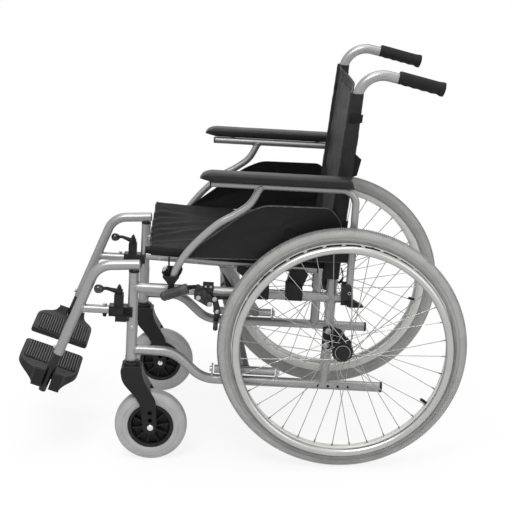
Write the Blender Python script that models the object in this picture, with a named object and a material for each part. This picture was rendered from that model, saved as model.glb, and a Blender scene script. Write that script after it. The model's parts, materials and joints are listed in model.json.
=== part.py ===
"""Folding self-propelled wheelchair, modelled as an assembly of its real pieces.

World axes: the chair faces -Y, its left side is +X, +Z is up and the floor is Z = 0.
The welded side frames are square in axes that lean back by FRAME_TILT about the rear
axle, so a frame piece is built from (x, u, w): x as in the world, u rearward and w
upward along the leaning axes, both from the axle. Wheels and casters stand plumb and are
built from (x, y, z), y from the axle and z from the floor. Left pieces are modelled and
the right ones are their mirror images.
"""

import math

import bmesh
import bpy
from mathutils import Matrix, Vector

# Overall
WHEEL_RADIUS = 0.305
AXLE_Y = 0.2516
FRAME_TILT = math.radians(3.5)
SIDE_X = 0.236
GAP = 0.0003
RUNNING_GAP = 0.0006

# Roundness
TUBE_SIDES = 10
SMALL_SIDES = 6
WHEEL_SIDES = 28
CASTER_SIDES = 20
BEND_STEP = math.radians(22)
CORNER_STEP = math.radians(46)

# Side frame tubes
TUBE_R = 0.0125
WELD_STEP = 0.0002
UPPER_TUBE_R = TUBE_R - WELD_STEP
LOWER_TUBE_R = TUBE_R - 2 * WELD_STEP
POST_U = -0.515
POST_TOP = 0.1515
POST_BOTTOM = -0.0764
POST_SWELL_R = TUBE_R + 0.002
UPPER_TUBE_W = 0.1075
UPPER_TUBE_END = 0.022
LOWER_TUBE_FRONT_W = -0.049
LOWER_TUBE_W = -0.1157
LOWER_TUBE_END = 0.108
LOWER_BEND_FRONT = -0.411
LOWER_BEND_REAR = -0.337
LOWER_BEND_R = 0.08
REAR_POST_FOOT = (-0.034, LOWER_TUBE_W)
CANE_FOOT = (-0.031, 0.160)
CANE_CORNER = (-0.001, 0.680)
CANE_BEND_R = 0.05
HANDLE_END = (0.1954, 0.6381)
TUBE_END_BORE_R = TUBE_R - 0.0025
TUBE_END_DEPTH = 0.012
POST_BORE_R = TUBE_R - 0.0025
POST_BORE_DEPTH = 0.045

# Push grip
GRIP_START_U = 0.089
GRIP_LENGTH = 0.113
GRIP_FRONT_R = TUBE_R + 0.0033
GRIP_REAR_R = TUBE_R + 0.0048

# Cross brace
FOOT_X = SIDE_X
FOOT_TUBE_R = 0.0105
FOOT_CLEARANCE = 0.0039
FOOT_W = LOWER_TUBE_W + TUBE_R + FOOT_TUBE_R + FOOT_CLEARANCE
FOOT_TUBE_FRONT = -0.308
FOOT_TUBE_REAR = -0.157
LUG_THICKNESS = 0.004
FOOT_BOLT_R = 0.0045
FOOT_BOLT_REACH = 0.014
RAIL_INSET = 0.024
RAIL_X = SIDE_X - RAIL_INSET
RAIL_R = 0.011
RAIL_FRONT = (-0.489, 0.188)
RAIL_MIDDLE = (-0.258, 0.179)
RAIL_REAR = (-0.069, 0.175)
ARM_A_FOOT_U = -0.2297
ARM_A_RAIL_U = -0.333
ARM_B_FOOT_U = -0.1997
ARM_B_RAIL_U = -0.301
ARM_WIDTH = 0.019
ARM_DEPTH = 0.028
ARM_CHAMFER = 0.005
PIVOT_BOLT_R = 0.005
PIVOT_HEAD_R = 0.0095
PIVOT_HEAD = 0.006
SPACER_R = 0.010
PIVOT_BOSS_R = 0.0125
PIVOT_BOSS_HALF = 0.0130

# Rear wheel
HUB_HALF = 0.031
WHEEL_CLEARANCE = 0.014
WHEEL_X = SIDE_X + TUBE_R + WHEEL_CLEARANCE + HUB_HALF
TYRE_WIDTH = 0.034
TYRE_HEIGHT = 0.0342
TYRE_BEAD_R = WHEEL_RADIUS - TYRE_HEIGHT
RIM_WIDTH = 0.025
RIM_SEAT = 0.0005
RIM_DEPTH = 0.0168
RIM_R = TYRE_BEAD_R - RIM_SEAT
RIM_INNER_R = RIM_R - RIM_DEPTH
HUB_BARREL_R = 0.0150
FLANGE_R = 0.0270
FLANGE_OFFSET = 0.0200
FLANGE_THICKNESS = 0.0060
HUB_INNER_HALF = FLANGE_OFFSET + FLANGE_THICKNESS / 2
SPOKES = 36
SPOKE_R = 0.0012
SPOKE_HOLE_R = 0.0235
SPOKE_STAGGER = 0.0017
SPOKE_SIDES = 3
SPOKE_SWEEP = math.radians(60)
AXLE_R = 0.006
HANDRIM_OFFSET = 0.0315
HANDRIM_X = WHEEL_X + HANDRIM_OFFSET
HANDRIM_R = RIM_R - 0.0113
HANDRIM_TUBE_R = 0.0095
HANDRIM_SIDES = 6
HANDRIM_SPACERS = 6
SPACER_TAB_R = 0.005
SPACER_RING_R = HANDRIM_R + 0.0035

# Axle button
BUTTON_TRAVEL = 0.004
BUTTON_HEAD_R = 0.0165
BUTTON_HEAD = 0.0045
BUTTON_STEM_R = 0.0025
AXLE_END_X = WHEEL_X + HUB_HALF - 0.001

# Axle bracket
BRACKET_THICKNESS = 0.0080
BUSHING_R = 0.0115
BUSHING_INNER_X = SIDE_X - 0.010
BUSHING_OUTER_X = WHEEL_X - HUB_INNER_HALF - 0.0025

# Caster
POST_FOOT_Z = WHEEL_RADIUS - POST_U * math.sin(FRAME_TILT) + POST_BOTTOM * math.cos(FRAME_TILT)
STEM_W = -0.0567
STEM_Y = POST_U * math.cos(FRAME_TILT) + STEM_W * math.sin(FRAME_TILT)
CASTER_TRAIL = 0.044
CASTER_Y = STEM_Y + CASTER_TRAIL
CASTER_R = 0.0905
CASTER_WIDTH = 0.045
CASTER_BEAD_R = 0.0570
CASTER_RIM_R = 0.0566
HUB_RIBS = 10
HUB_RIB = 0.0028
HUB_RIB_INSET = 0.0065
HUB_BOSS_R = 0.0125
HUB_RECESS_R = 0.0480
STEM_R = 0.0065
STEM_TOP_Z = POST_FOOT_Z + 0.0498
STEM_BORE_R = 0.0080
FORK_RING_R = 0.0225
FORK_RING_TOP_Z = POST_FOOT_Z - 0.0015
FORK_TOP_Z = FORK_RING_TOP_Z - 0.0112
FORK_REACH = FORK_TOP_Z - CASTER_R
BLADE_THICKNESS = 0.0055
FORK_ARCH_R = 0.0960
CASTER_BOLT_R = 0.005
FORK_HOLE_R = 0.0045
FORK_HOLE_ZS = (CASTER_R + 0.0185, CASTER_R + 0.0385)

# Leg support
HANGER_R = 0.0125
HANGER_REAR = (-0.5032, 0.1695)
HANGER_CORNER = (-0.6054, 0.1628)
HANGER_BEND_R = 0.055
LEG_ANGLE = math.radians(21.2)
LEG_LENGTH = 0.249
LEG_BORE_DEPTH = 0.050
PIN_R = 0.006
PIN_BOTTOM = 0.118
BRACKET_TUBE_W = 0.0516
BRACKET_TUBE_R = 0.0105
CLAMP_FRONT = -0.573
CLAMP_BOTTOM = 0.039
CLAMP_TOP = 0.064
CLAMP_HALF_WIDTH = TUBE_R + 0.003
LATCH_U = -0.5495
LATCH_PIN_R = 0.004
LATCH_FLOOR = 0.0940
LEVER_THICKNESS = 0.011
KNOB_U = -0.5965
KNOB_W = 0.1048
KNOB_X = SIDE_X + 0.007
KNOB_R = 0.011
BUMPER_U = -0.5785
FOOT_TUBE_OUTER_R = 0.0088
FOOT_TUBE_DROP = 0.1135
PLATE_TILT = math.radians(17)
PLATE_FROM_LEG_END = 0.058
PLATE_INNER_X = 0.044
PLATE_TAPER_X = SIDE_X - 0.056
PLATE_OUTER_X = SIDE_X + 0.0165
PLATE_FRONT = 0.086
PLATE_REAR = -0.069
PLATE_THICKNESS = 0.0145
PLATE_SKIN = 0.0055
PLATE_WALL = 0.0045
TREAD_RIBS = 18
TREAD_RIB = 0.0034
TREAD_RISE = 0.0009
TREAD_BORDER = 0.0095
JAW_REACH = 0.0355
JAW_DEPTH = 0.042
JAW_INNER_X = SIDE_X - 0.0225
SLOT_REAR = -0.0098
SLOT_FRONT = 0.0128
FLIP_X = SIDE_X - 0.0145
FLIP_DROP = 0.004
FLIP_PIN_R = 0.0026
KNUCKLE_R = 0.0052

# Arm support
ARMREST_TUBE_R = 0.009
ARMREST_CLEARANCE = 0.007
ARMREST_X = SIDE_X + TUBE_R + ARMREST_CLEARANCE + ARMREST_TUBE_R
ARMREST_TOP_W = 0.389
ARMREST_FRONT_U = -0.338
ARMREST_REAR_U = 0.009
ARMREST_BEND_R = 0.035
HINGE_W = 0.137
HINGE_PIN_R = 0.004
LEG_BELOW_HINGE = 0.009
STRUT_POINTS = (
    (-0.2204, 0.3862),
    (-0.2419, 0.3443),
    (-0.2759, 0.3160),
    (-0.3144, 0.2913),
    (-0.3561, 0.2519),
    (-0.3903, 0.2109),
    (-0.4125, 0.1719),
    (-0.4180, 0.1500),
)
PAD_FRONT = -0.365
PAD_REAR = 0.001
PAD_INNER_X = ARMREST_X - 0.010
PAD_OUTER_X = ARMREST_X + 0.042
PAD_THICKNESS = 0.0242
GUARD_INNER_X = ARMREST_X - 0.012
GUARD_THICKNESS = 0.0025
CHEEK_INNER_X = SIDE_X + TUBE_R + 0.0005
SOCKET_OUTER_X = ARMREST_X + 0.014
RELEASE_PIVOT = (0.0100, 0.1060)
RELEASE_PIN_R = 0.0025
RELEASE_INNER_X = ARMREST_X - 0.010
RELEASE_OUTER_X = ARMREST_X + 0.006

# Brake
BRAKE_X = SIDE_X + TUBE_R + 0.003
SHOE_BAR_R = 0.007
SHOE_GAP = 0.0015
SHOE_SLOPE = math.radians(11.05)
SHOE_REACH = WHEEL_RADIUS + SHOE_GAP + SHOE_BAR_R
SHOE_BAR = (-SHOE_REACH * math.cos(SHOE_SLOPE), SHOE_REACH * math.sin(SHOE_SLOPE))
BRAKE_U = SHOE_BAR[0] - 0.0163
SHOE_PIVOT = (BRAKE_U, 0.092)
LEVER_PIVOT = (BRAKE_U - 0.026, 0.125)
BRAKE_PIN_R = 0.003
BRAKE_HEAD_R = 0.0055
BRAKE_GRIP_R = 0.0105
BRAKE_GRIP_X = BRAKE_X + 0.040
BRAKE_GRIP_REAR = (BRAKE_U - 0.063, 0.142)
BRAKE_GRIP_FRONT = (BRAKE_U - 0.1155, 0.109)

# Slings
SEAT_FRONT = -0.490
SEAT_REAR = -0.052
SEAT_HALF = RAIL_X + RAIL_R + 0.0005
SEAT_THICKNESS = 0.010
SEAT_SAG = 0.010
SLEEVE_R = TUBE_R + 0.003
SLEEVE_BOTTOM = 0.162
SLEEVE_TOP = 0.618
BACK_THICKNESS = 0.006
BACK_SAG = 0.016

X_AXIS = Vector((1, 0, 0))
U_AXIS = Vector((0, 1, 0))
W_AXIS = Vector((0, 0, 1))
LEG_DOWN = Vector((0, -math.sin(LEG_ANGLE), -math.cos(LEG_ANGLE)))
TILTED = Matrix.Translation((0, AXLE_Y, WHEEL_RADIUS)) @ Matrix.Rotation(-FRAME_TILT, 4, "X")


def clear_scene():
    for thing in list(bpy.data.objects):
        bpy.data.objects.remove(thing)


def paint(name, colour, roughness, metallic=0.0):
    """A Principled material with one colour."""
    made = bpy.data.materials.new(name)
    made.use_nodes = True
    shader = made.node_tree.nodes["Principled BSDF"]
    shader.inputs["Base Color"].default_value = (*colour, 1)
    shader.inputs["Roughness"].default_value = roughness
    shader.inputs["Metallic"].default_value = metallic
    made.diffuse_color = (*colour, 1)
    return made


def plumb(x, y, z):
    """A point of the plumb axes, y from the axle and z from the floor, in the leaning ones."""
    return Matrix.Rotation(FRAME_TILT, 4, "X") @ Vector((x, y, z - WHEEL_RADIUS))


def side_point(point, x=SIDE_X):
    """The point (u, w) of a side view, as a vector at x."""
    return Vector((x, point[0], point[1]))


def bore(radius, gap=GAP, sides=TUBE_SIDES):
    """Corner radius of a faceted hole that keeps the gap from a pin of this radius."""
    return (radius + gap) / math.cos(math.pi / sides)


def finished(bm):
    """The mesh of a bmesh, with its faces pointing out."""
    bmesh.ops.recalc_face_normals(bm, faces=bm.faces)
    mesh = bpy.data.meshes.new("solid")
    bm.to_mesh(mesh)
    bm.free()
    return mesh


def bridge(bm, first, second):
    """Quads between two rings of as many vertices."""
    count = len(first)
    for index in range(count):
        after = (index + 1) % count
        bm.faces.new((first[index], first[after], second[after], second[index]))


def rounded_path(corners, step=BEND_STEP):
    """Points along straight runs whose corners are arcs. Each corner is (point, fillet radius)."""
    path = [corners[0][0].copy()]
    for index in range(1, len(corners) - 1):
        corner, radius = corners[index]
        back = (corners[index - 1][0] - corner).normalized()
        onward = (corners[index + 1][0] - corner).normalized()
        half = back.angle(onward) / 2
        if radius == 0:
            path.append(corner.copy())
            continue
        centre = corner + (back + onward).normalized() * (radius / math.sin(half))
        start = (corner + back * (radius / math.tan(half)) - centre).normalized()
        end = (corner + onward * (radius / math.tan(half)) - centre).normalized()
        steps = max(1, math.ceil((math.pi - 2 * half) / step))
        path += [centre + start.slerp(end, number / steps) * radius for number in range(steps + 1)]
    path.append(corners[-1][0].copy())
    return path


def smooth_path(points, steps=2):
    """Points of a Catmull-Rom curve through the given ones."""
    path = []
    for index in range(len(points) - 1):
        before = points[max(index - 1, 0)]
        start = points[index]
        end = points[index + 1]
        after = points[min(index + 2, len(points) - 1)]
        for number in range(steps):
            t = number / steps
            path.append(
                0.5
                * (
                    2 * start
                    + (end - before) * t
                    + (2 * before - 5 * start + 4 * end - after) * t * t
                    + (3 * start - before - 3 * end + after) * t * t * t
                )
            )
    path.append(points[-1].copy())
    return path


def tube(path, radius, sides=TUBE_SIDES, across=X_AXIS):
    """A round bar along a path. One radius, or one for each point of the path."""
    radii = [radius] * len(path) if isinstance(radius, float) else radius
    bm = bmesh.new()
    rings = []
    for index, point in enumerate(path):
        before = path[max(index - 1, 0)]
        after = path[min(index + 1, len(path) - 1)]
        tangent = (after - before).normalized()
        side = (across - tangent * across.dot(tangent)).normalized()
        normal = tangent.cross(side)
        ring = []
        for number in range(sides):
            angle = 2 * math.pi * number / sides
            offset = math.cos(angle) * side + math.sin(angle) * normal
            ring.append(bm.verts.new(point + radii[index] * offset))
        rings.append(ring)
    for first, second in zip(rings, rings[1:]):
        bridge(bm, first, second)
    bm.faces.new(rings[0])
    bm.faces.new(rings[-1])
    return finished(bm)


def turned(profile, centre, axis, sides=TUBE_SIDES, closed=False):
    """A solid of revolution. The profile's points are (distance along the axis, radius)."""
    axis = axis.normalized()
    across = U_AXIS if abs(axis.dot(X_AXIS)) > 0.9 else X_AXIS
    side = (across - axis * across.dot(axis)).normalized()
    normal = axis.cross(side)
    bm = bmesh.new()
    rings = []
    for along, radius in profile:
        ring = []
        for number in range(sides):
            angle = 2 * math.pi * number / sides
            offset = math.cos(angle) * side + math.sin(angle) * normal
            ring.append(bm.verts.new(centre + along * axis + radius * offset))
        rings.append(ring)
    for first, second in zip(rings, rings[1:]):
        bridge(bm, first, second)
    if closed:
        bridge(bm, rings[-1], rings[0])
    else:
        bm.faces.new(rings[0])
        bm.faces.new(rings[-1])
    return finished(bm)


def rod(start, end, radius, sides=TUBE_SIDES):
    """A straight round bar between two points."""
    length = (end - start).length
    return turned([(0, radius), (length, radius)], start, end - start, sides)


def prism(outline, origin, axis_a, axis_b, depth):
    """The outline (a, b), in the plane of the two axes, extruded by the depth vector."""
    bm = bmesh.new()
    near = [bm.verts.new(origin + a * axis_a + b * axis_b) for a, b in outline]
    far = [bm.verts.new(origin + a * axis_a + b * axis_b + depth) for a, b in outline]
    bridge(bm, near, far)
    bm.faces.new(near)
    bm.faces.new(far)
    return finished(bm)


def slab(outline, inner_x, outer_x):
    """A side-view outline (u, w) between two x planes."""
    return prism(outline, Vector((inner_x, 0, 0)), U_AXIS, W_AXIS, (outer_x - inner_x) * X_AXIS)


def rounded(outline, radius, step=CORNER_STEP):
    """A closed outline with its corners rounded. One radius, or one for each corner."""
    radii = [radius] * len(outline) if isinstance(radius, float) else radius
    points = [Vector((a, b, 0)) for a, b in outline]
    made = []
    for index, corner in enumerate(points):
        before = points[index - 1]
        after = points[(index + 1) % len(points)]
        arc = rounded_path([(before, 0), (corner, radii[index]), (after, 0)], step)[1:-1]
        made += [(point.x, point.y) for point in arc]
    return made


def block(low, high):
    """A box between two corners."""
    outline = [(low[1], low[2]), (high[1], low[2]), (high[1], high[2]), (low[1], high[2])]
    return slab(outline, low[0], high[0])


def worked(base, tools, operation):
    """The mesh of a Boolean of the base with each tool in turn, and its helpers removed."""
    scene = bpy.context.scene.collection
    work = bpy.data.objects.new("work", base)
    scene.objects.link(work)
    helpers = []
    for mesh in tools:
        helper = bpy.data.objects.new("helper", mesh)
        scene.objects.link(helper)
        helpers.append(helper)
        modifier = work.modifiers.new("step", "BOOLEAN")
        modifier.operation = operation
        modifier.solver = "EXACT"
        modifier.object = helper
    bpy.context.view_layer.update()
    graph = bpy.context.evaluated_depsgraph_get()
    result = bpy.data.meshes.new_from_object(work.evaluated_get(graph))
    for thing in [work, *helpers]:
        bpy.data.objects.remove(thing)
    return result


def joined(base, *tools):
    return worked(base, tools, "UNION")


def cut(base, *tools):
    return worked(base, tools, "DIFFERENCE")


def common(base, tool):
    return worked(base, [tool], "INTERSECT")


def gathered(meshes):
    """One mesh that holds several closed ones."""
    bm = bmesh.new()
    for mesh in meshes:
        bm.from_mesh(mesh)
    made = bpy.data.meshes.new("solids")
    bm.to_mesh(made)
    bm.free()
    return made


def mirrored(mesh):
    """The mesh's mirror image in the plane x = 0."""
    made = mesh.copy()
    made.transform(Matrix.Scale(-1, 4, X_AXIS))
    made.flip_normals()
    return made


class Body:
    """A rigid body: an empty on its joint, whose axes lean with the frame or stand plumb."""

    def __init__(self, name, origin, parent=None, is_plumb=False):
        self.origin = Vector(origin)
        self.parent = parent
        self.empty = bpy.data.objects.new(name, None)
        self.empty.empty_display_size = 0.02
        bpy.context.scene.collection.objects.link(self.empty)
        if is_plumb:
            self.place = Matrix.Translation(self.origin + Vector((0, AXLE_Y, 0)))
        else:
            self.place = TILTED @ Matrix.Translation(self.origin)
        if parent:
            self.empty.parent = parent.empty
            self.empty.matrix_basis = parent.place.inverted() @ self.place
        else:
            self.empty.matrix_basis = self.place

    def add(self, name, mesh, material):
        """A named solid on this body, given in the body's build axes."""
        mesh.transform(Matrix.Translation(-self.origin))
        mesh.materials.clear()
        mesh.materials.append(material)
        mesh.shade_smooth()
        mesh.set_sharp_from_angle(angle=math.radians(35))
        mesh.name = name
        thing = bpy.data.objects.new(name, mesh)
        bpy.context.scene.collection.objects.link(thing)
        thing.parent = self.empty
        return thing


class Pair:
    """The same body on the left and on the right."""

    def __init__(self, name, origin, parent, is_plumb=False):
        x, along, up = origin
        self.left = Body("left_" + name + "_body", (x, along, up), parent.left, is_plumb)
        self.right = Body("right_" + name + "_body", (-x, along, up), parent.right, is_plumb)

    def add(self, name, mesh, material):
        """The left solid, and its mirror image on the right."""
        other = mirrored(mesh)
        self.left.add("left_" + name, mesh, material)
        self.right.add("right_" + name, other, material)


class Frames:
    """The two welded side frames, which carry all other pairs."""

    def __init__(self):
        self.left = Body("left_frame_body", (FOOT_X, 0, FOOT_W))
        self.right = Body("right_frame_body", (-FOOT_X, 0, FOOT_W))

    add = Pair.add


def on_leg(distance):
    """A point on the hanger leg's centre line, this far down from the top corner."""
    return side_point(HANGER_CORNER) + LEG_DOWN * distance


def rail_w(u):
    """Height of the seat rail's centre line."""
    front, rear = (RAIL_FRONT, RAIL_MIDDLE) if u < RAIL_MIDDLE[0] else (RAIL_MIDDLE, RAIL_REAR)
    share = (u - front[0]) / (rear[0] - front[0])
    return front[1] + share * (rear[1] - front[1])


def rail_path(x):
    return [side_point(point, x) for point in (RAIL_FRONT, RAIL_MIDDLE, RAIL_REAR)]


def cane_point(w):
    """A point on the back cane's centre line at this height."""
    foot = side_point(CANE_FOOT)
    corner = side_point(CANE_CORNER)
    return foot.lerp(corner, (w - foot.z) / (corner.z - foot.z))


def foot_bolt(u, outward):
    """The stub bolt of a brace foot, with its head outside the lug."""
    centre = Vector((FOOT_X, u, FOOT_W))
    profile = [
        (-FOOT_BOLT_REACH, FOOT_BOLT_R),
        (LUG_THICKNESS / 2, FOOT_BOLT_R),
        (LUG_THICKNESS / 2, 0.007),
        (LUG_THICKNESS / 2 + 0.005, 0.007),
    ]
    return turned(profile, centre, outward * U_AXIS, SMALL_SIDES)


def foot_lug(u):
    """A lug that stands on the lower tube and holds a stub bolt."""
    outline = rounded(
        [
            (FOOT_X - 0.008, LOWER_TUBE_W),
            (FOOT_X + 0.008, LOWER_TUBE_W),
            (FOOT_X + 0.008, FOOT_W + 0.009),
            (FOOT_X - 0.008, FOOT_W + 0.009),
        ],
        [0.001, 0.001, 0.006, 0.006],
    )
    return prism(outline, Vector((0, u - LUG_THICKNESS / 2, 0)), X_AXIS, W_AXIS, LUG_THICKNESS * U_AXIS)


def side_frame():
    post = turned(
        [
            (POST_BOTTOM, POST_SWELL_R),
            (POST_BOTTOM + 0.012, POST_SWELL_R),
            (POST_BOTTOM + 0.020, TUBE_R + 0.0011),
            (0.0, TUBE_R + 0.0004),
            (0.030, TUBE_R),
            (POST_TOP, TUBE_R),
        ],
        Vector((SIDE_X, POST_U, 0)),
        W_AXIS,
    )
    upper = rod(
        Vector((SIDE_X, POST_U + 0.006, UPPER_TUBE_W)),
        Vector((SIDE_X, UPPER_TUBE_END, UPPER_TUBE_W)),
        UPPER_TUBE_R,
    )
    lower_corners = [
        (Vector((SIDE_X, POST_U + 0.006, LOWER_TUBE_FRONT_W)), 0),
        (Vector((SIDE_X, LOWER_BEND_FRONT, LOWER_TUBE_FRONT_W)), LOWER_BEND_R),
        (Vector((SIDE_X, LOWER_BEND_REAR, LOWER_TUBE_W)), LOWER_BEND_R),
        (Vector((SIDE_X, LOWER_TUBE_END, LOWER_TUBE_W)), 0),
    ]
    lower = tube(rounded_path(lower_corners), LOWER_TUBE_R)
    cane_corners = [
        (side_point(REAR_POST_FOOT), 0),
        (side_point(CANE_FOOT), 0),
        (side_point(CANE_CORNER), CANE_BEND_R),
        (side_point(HANDLE_END), 0),
    ]
    cane = tube(rounded_path(cane_corners), TUBE_R)
    front_u = FOOT_TUBE_FRONT - 0.0025 - LUG_THICKNESS / 2
    rear_u = FOOT_TUBE_REAR + 0.0025 + LUG_THICKNESS / 2
    welded = joined(
        post,
        upper,
        lower,
        cane,
        foot_lug(front_u),
        foot_lug(rear_u),
        foot_bolt(front_u, -1),
        foot_bolt(rear_u, 1),
    )
    stem_foot = plumb(SIDE_X, STEM_Y, FORK_TOP_Z)
    cutters = [
        rod(
            Vector((SIDE_X, POST_U, POST_TOP - POST_BORE_DEPTH)),
            Vector((SIDE_X, POST_U, POST_TOP + 0.01)),
            POST_BORE_R,
        ),
        rod(
            stem_foot,
            plumb(SIDE_X, STEM_Y, STEM_TOP_Z + 0.004),
            STEM_BORE_R,
        ),
        rod(
            Vector((SIDE_X, LOWER_TUBE_END - TUBE_END_DEPTH, LOWER_TUBE_W)),
            Vector((SIDE_X, LOWER_TUBE_END + 0.01, LOWER_TUBE_W)),
            TUBE_END_BORE_R,
        ),
    ]
    return cut(welded, *cutters)


def post_cap():
    bottom = POST_TOP + GAP
    profile = [
        (bottom, TUBE_R),
        (bottom + 0.003, TUBE_R),
        (bottom + 0.0042, TUBE_R - 0.0018),
        (bottom + 0.0042, bore(PIN_R)),
        (bottom - 0.010, bore(PIN_R)),
        (bottom - 0.010, POST_BORE_R - 0.0006),
        (bottom, POST_BORE_R - 0.0006),
    ]
    return turned(profile, Vector((SIDE_X, POST_U, 0)), W_AXIS, closed=True)


def push_grip():
    corner = side_point(CANE_CORNER)
    end = side_point(HANDLE_END)
    along = (end - corner).normalized()
    start = corner + along * ((GRIP_START_U - corner.y) / along.y)
    depth = (end - start).length + 2 * GAP
    inner = TUBE_R + 2 * GAP
    profile = [
        (0, inner),
        (0, GRIP_FRONT_R),
        (GRIP_LENGTH * 0.55, GRIP_FRONT_R - 0.0006),
        (GRIP_LENGTH - 0.014, GRIP_FRONT_R),
        (GRIP_LENGTH - 0.006, GRIP_REAR_R),
        (GRIP_LENGTH - 0.001, GRIP_REAR_R),
        (GRIP_LENGTH, GRIP_REAR_R - 0.002),
    ]
    outer = turned([(0, GRIP_FRONT_R), *profile[2:]], start, along)
    return cut(outer, turned([(-0.01, inner), (depth, inner)], start, along))


def axle_bracket():
    outer_x = SIDE_X + TUBE_R + GAP + BRACKET_THICKNESS
    outline = [
        (-0.047, 0.040),
        (-0.022, 0.043),
        (0.003, 0.034),
        (0.0155, 0.008),
        (0.0155, -0.007),
        (0.007, -0.0155),
        (-0.0114, -0.0150),
        (-0.047, -0.0150),
    ]
    plate = slab(rounded(outline, 0.004), SIDE_X + TUBE_R + GAP, outer_x)
    axle = turned(
        [
            (BUSHING_INNER_X, BUSHING_R),
            (BUSHING_OUTER_X, BUSHING_R),
            (BUSHING_OUTER_X, AXLE_R),
            (AXLE_END_X, AXLE_R),
        ],
        Vector((0, 0, 0)),
        X_AXIS,
    )
    bolts = [
        turned(
            [(outer_x - 0.002, 0.0055), (outer_x + 0.003, 0.0055), (outer_x + 0.0045, 0.0035)],
            Vector((0, u, w)),
            X_AXIS,
            SMALL_SIDES,
        )
        for u, w in ((-0.033, 0.031), (-0.035, -0.004))
    ]
    well = turned(
        [
            (AXLE_END_X - 0.018, bore(BUTTON_STEM_R, sides=SMALL_SIDES)),
            (AXLE_END_X + 0.01, bore(BUTTON_STEM_R, sides=SMALL_SIDES)),
        ],
        Vector((0, 0, 0)),
        X_AXIS,
        SMALL_SIDES,
    )
    return cut(joined(plate, axle, *bolts), well)


def saddle(clamp, cradle, groove_u):
    """A saddle that straddles the upper tube and holds the seat rail in an open cradle."""
    inner = SIDE_X - TUBE_R - 0.003
    base = slab(rounded(clamp, 0.003), inner, SIDE_X + TUBE_R + 0.003)
    top = slab(rounded(cradle, 0.003), RAIL_X - RAIL_R - 0.0045, RAIL_X + RAIL_R + 0.0045)
    tube_hollow = rod(
        Vector((SIDE_X, groove_u - 0.1, UPPER_TUBE_W)),
        Vector((SIDE_X, groove_u + 0.1, UPPER_TUBE_W)),
        UPPER_TUBE_R + 2 * GAP,
    )
    below = block(
        (SIDE_X - TUBE_R - 2 * GAP, groove_u - 0.1, UPPER_TUBE_W - 0.03),
        (SIDE_X + TUBE_R + 2 * GAP, groove_u + 0.1, UPPER_TUBE_W),
    )
    groove_r = bore(RAIL_R, 2 * GAP)
    shift = Vector((0.0003, 0, 0))
    groove = tube([point + shift for point in rail_path(RAIL_X)], groove_r)
    way_up = slab(
        [
            (groove_u - 0.1, rail_w(groove_u - 0.1)),
            (groove_u + 0.1, rail_w(groove_u + 0.1)),
            (groove_u + 0.1, rail_w(groove_u) + 0.04),
            (groove_u - 0.1, rail_w(groove_u) + 0.04),
        ],
        RAIL_X + shift.x - groove_r,
        RAIL_X + shift.x + groove_r,
    )
    return cut(joined(base, top), tube_hollow, below, groove, way_up)


def rear_saddle():
    clamp = [(-0.1440, 0.1029), (-0.1020, 0.1029), (-0.1030, 0.1360), (-0.1330, 0.1480), (-0.1453, 0.1440)]
    cradle = [(-0.1440, 0.1270), (-0.1040, 0.1270), (-0.0900, 0.1634), (-0.0944, 0.1747), (-0.1332, 0.1747)]
    return saddle(clamp, cradle, -0.115)


def front_saddle():
    clamp = [(-0.2150, 0.1020), (-0.1845, 0.1020), (-0.1845, 0.1330), (-0.2200, 0.1440), (-0.2250, 0.1250)]
    cradle = [(-0.2180, 0.1240), (-0.1900, 0.1280), (-0.2350, 0.1740), (-0.2640, 0.1740), (-0.2660, 0.1640)]
    return saddle(clamp, cradle, -0.245)


def brace_arm(sense, foot_u, rail_u):
    """One arm of the scissor: foot tube at x = sense * FOOT_X, seat rail on the other side."""
    foot = Vector((sense * FOOT_X, foot_u, FOOT_W))
    rail = Vector((-sense * RAIL_X, rail_u, rail_w(rail_u)))
    run = Vector((rail.x - foot.x, 0, rail.z - foot.z)).normalized()
    thick = Vector((-run.z, 0, run.x)) * sense
    start = foot + (rail - foot).normalized() * 0.0075
    half_depth = ARM_DEPTH / 2
    half_width = ARM_WIDTH / 2
    section = [
        (-half_depth, -half_width + ARM_CHAMFER),
        (-half_depth + ARM_CHAMFER, -half_width),
        (half_depth - ARM_CHAMFER, -half_width),
        (half_depth, -half_width + ARM_CHAMFER),
        (half_depth, half_width - ARM_CHAMFER),
        (half_depth - ARM_CHAMFER, half_width),
        (-half_depth + ARM_CHAMFER, half_width),
        (-half_depth, half_width - ARM_CHAMFER),
    ]
    end = rail - (rail - foot).normalized() * 0.006
    arm = prism(section, start, thick, U_AXIS, end - start)
    foot_tube = rod(
        Vector((foot.x, FOOT_TUBE_FRONT, FOOT_W)), Vector((foot.x, FOOT_TUBE_REAR, FOOT_W)), FOOT_TUBE_R
    )
    rail_tube = tube(rail_path(-sense * RAIL_X), RAIL_R)
    pivot = pivot_point()
    reach = Vector((0, 0.08, 0))
    bolt_hole = rod(pivot - reach, pivot + reach, bore(PIVOT_BOLT_R, RUNNING_GAP), TUBE_SIDES)
    foot_hole = bore(FOOT_BOLT_R, RUNNING_GAP, SMALL_SIDES)
    front_hole = rod(
        Vector((foot.x, FOOT_TUBE_FRONT - 0.01, FOOT_W)),
        Vector((foot.x, FOOT_TUBE_FRONT + FOOT_BOLT_REACH, FOOT_W)),
        foot_hole,
        SMALL_SIDES,
    )
    rear_hole = rod(
        Vector((foot.x, FOOT_TUBE_REAR - FOOT_BOLT_REACH, FOOT_W)),
        Vector((foot.x, FOOT_TUBE_REAR + 0.01, FOOT_W)),
        foot_hole,
        SMALL_SIDES,
    )
    middle = Vector((0, arm_u_at_pivot(foot_u, rail_u), pivot.z))
    boss_reach = PIVOT_BOSS_HALF * U_AXIS
    boss = rod(middle - boss_reach, middle + boss_reach, PIVOT_BOSS_R)
    return cut(joined(arm, foot_tube, rail_tube, boss), bolt_hole, front_hole, rear_hole)


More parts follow.
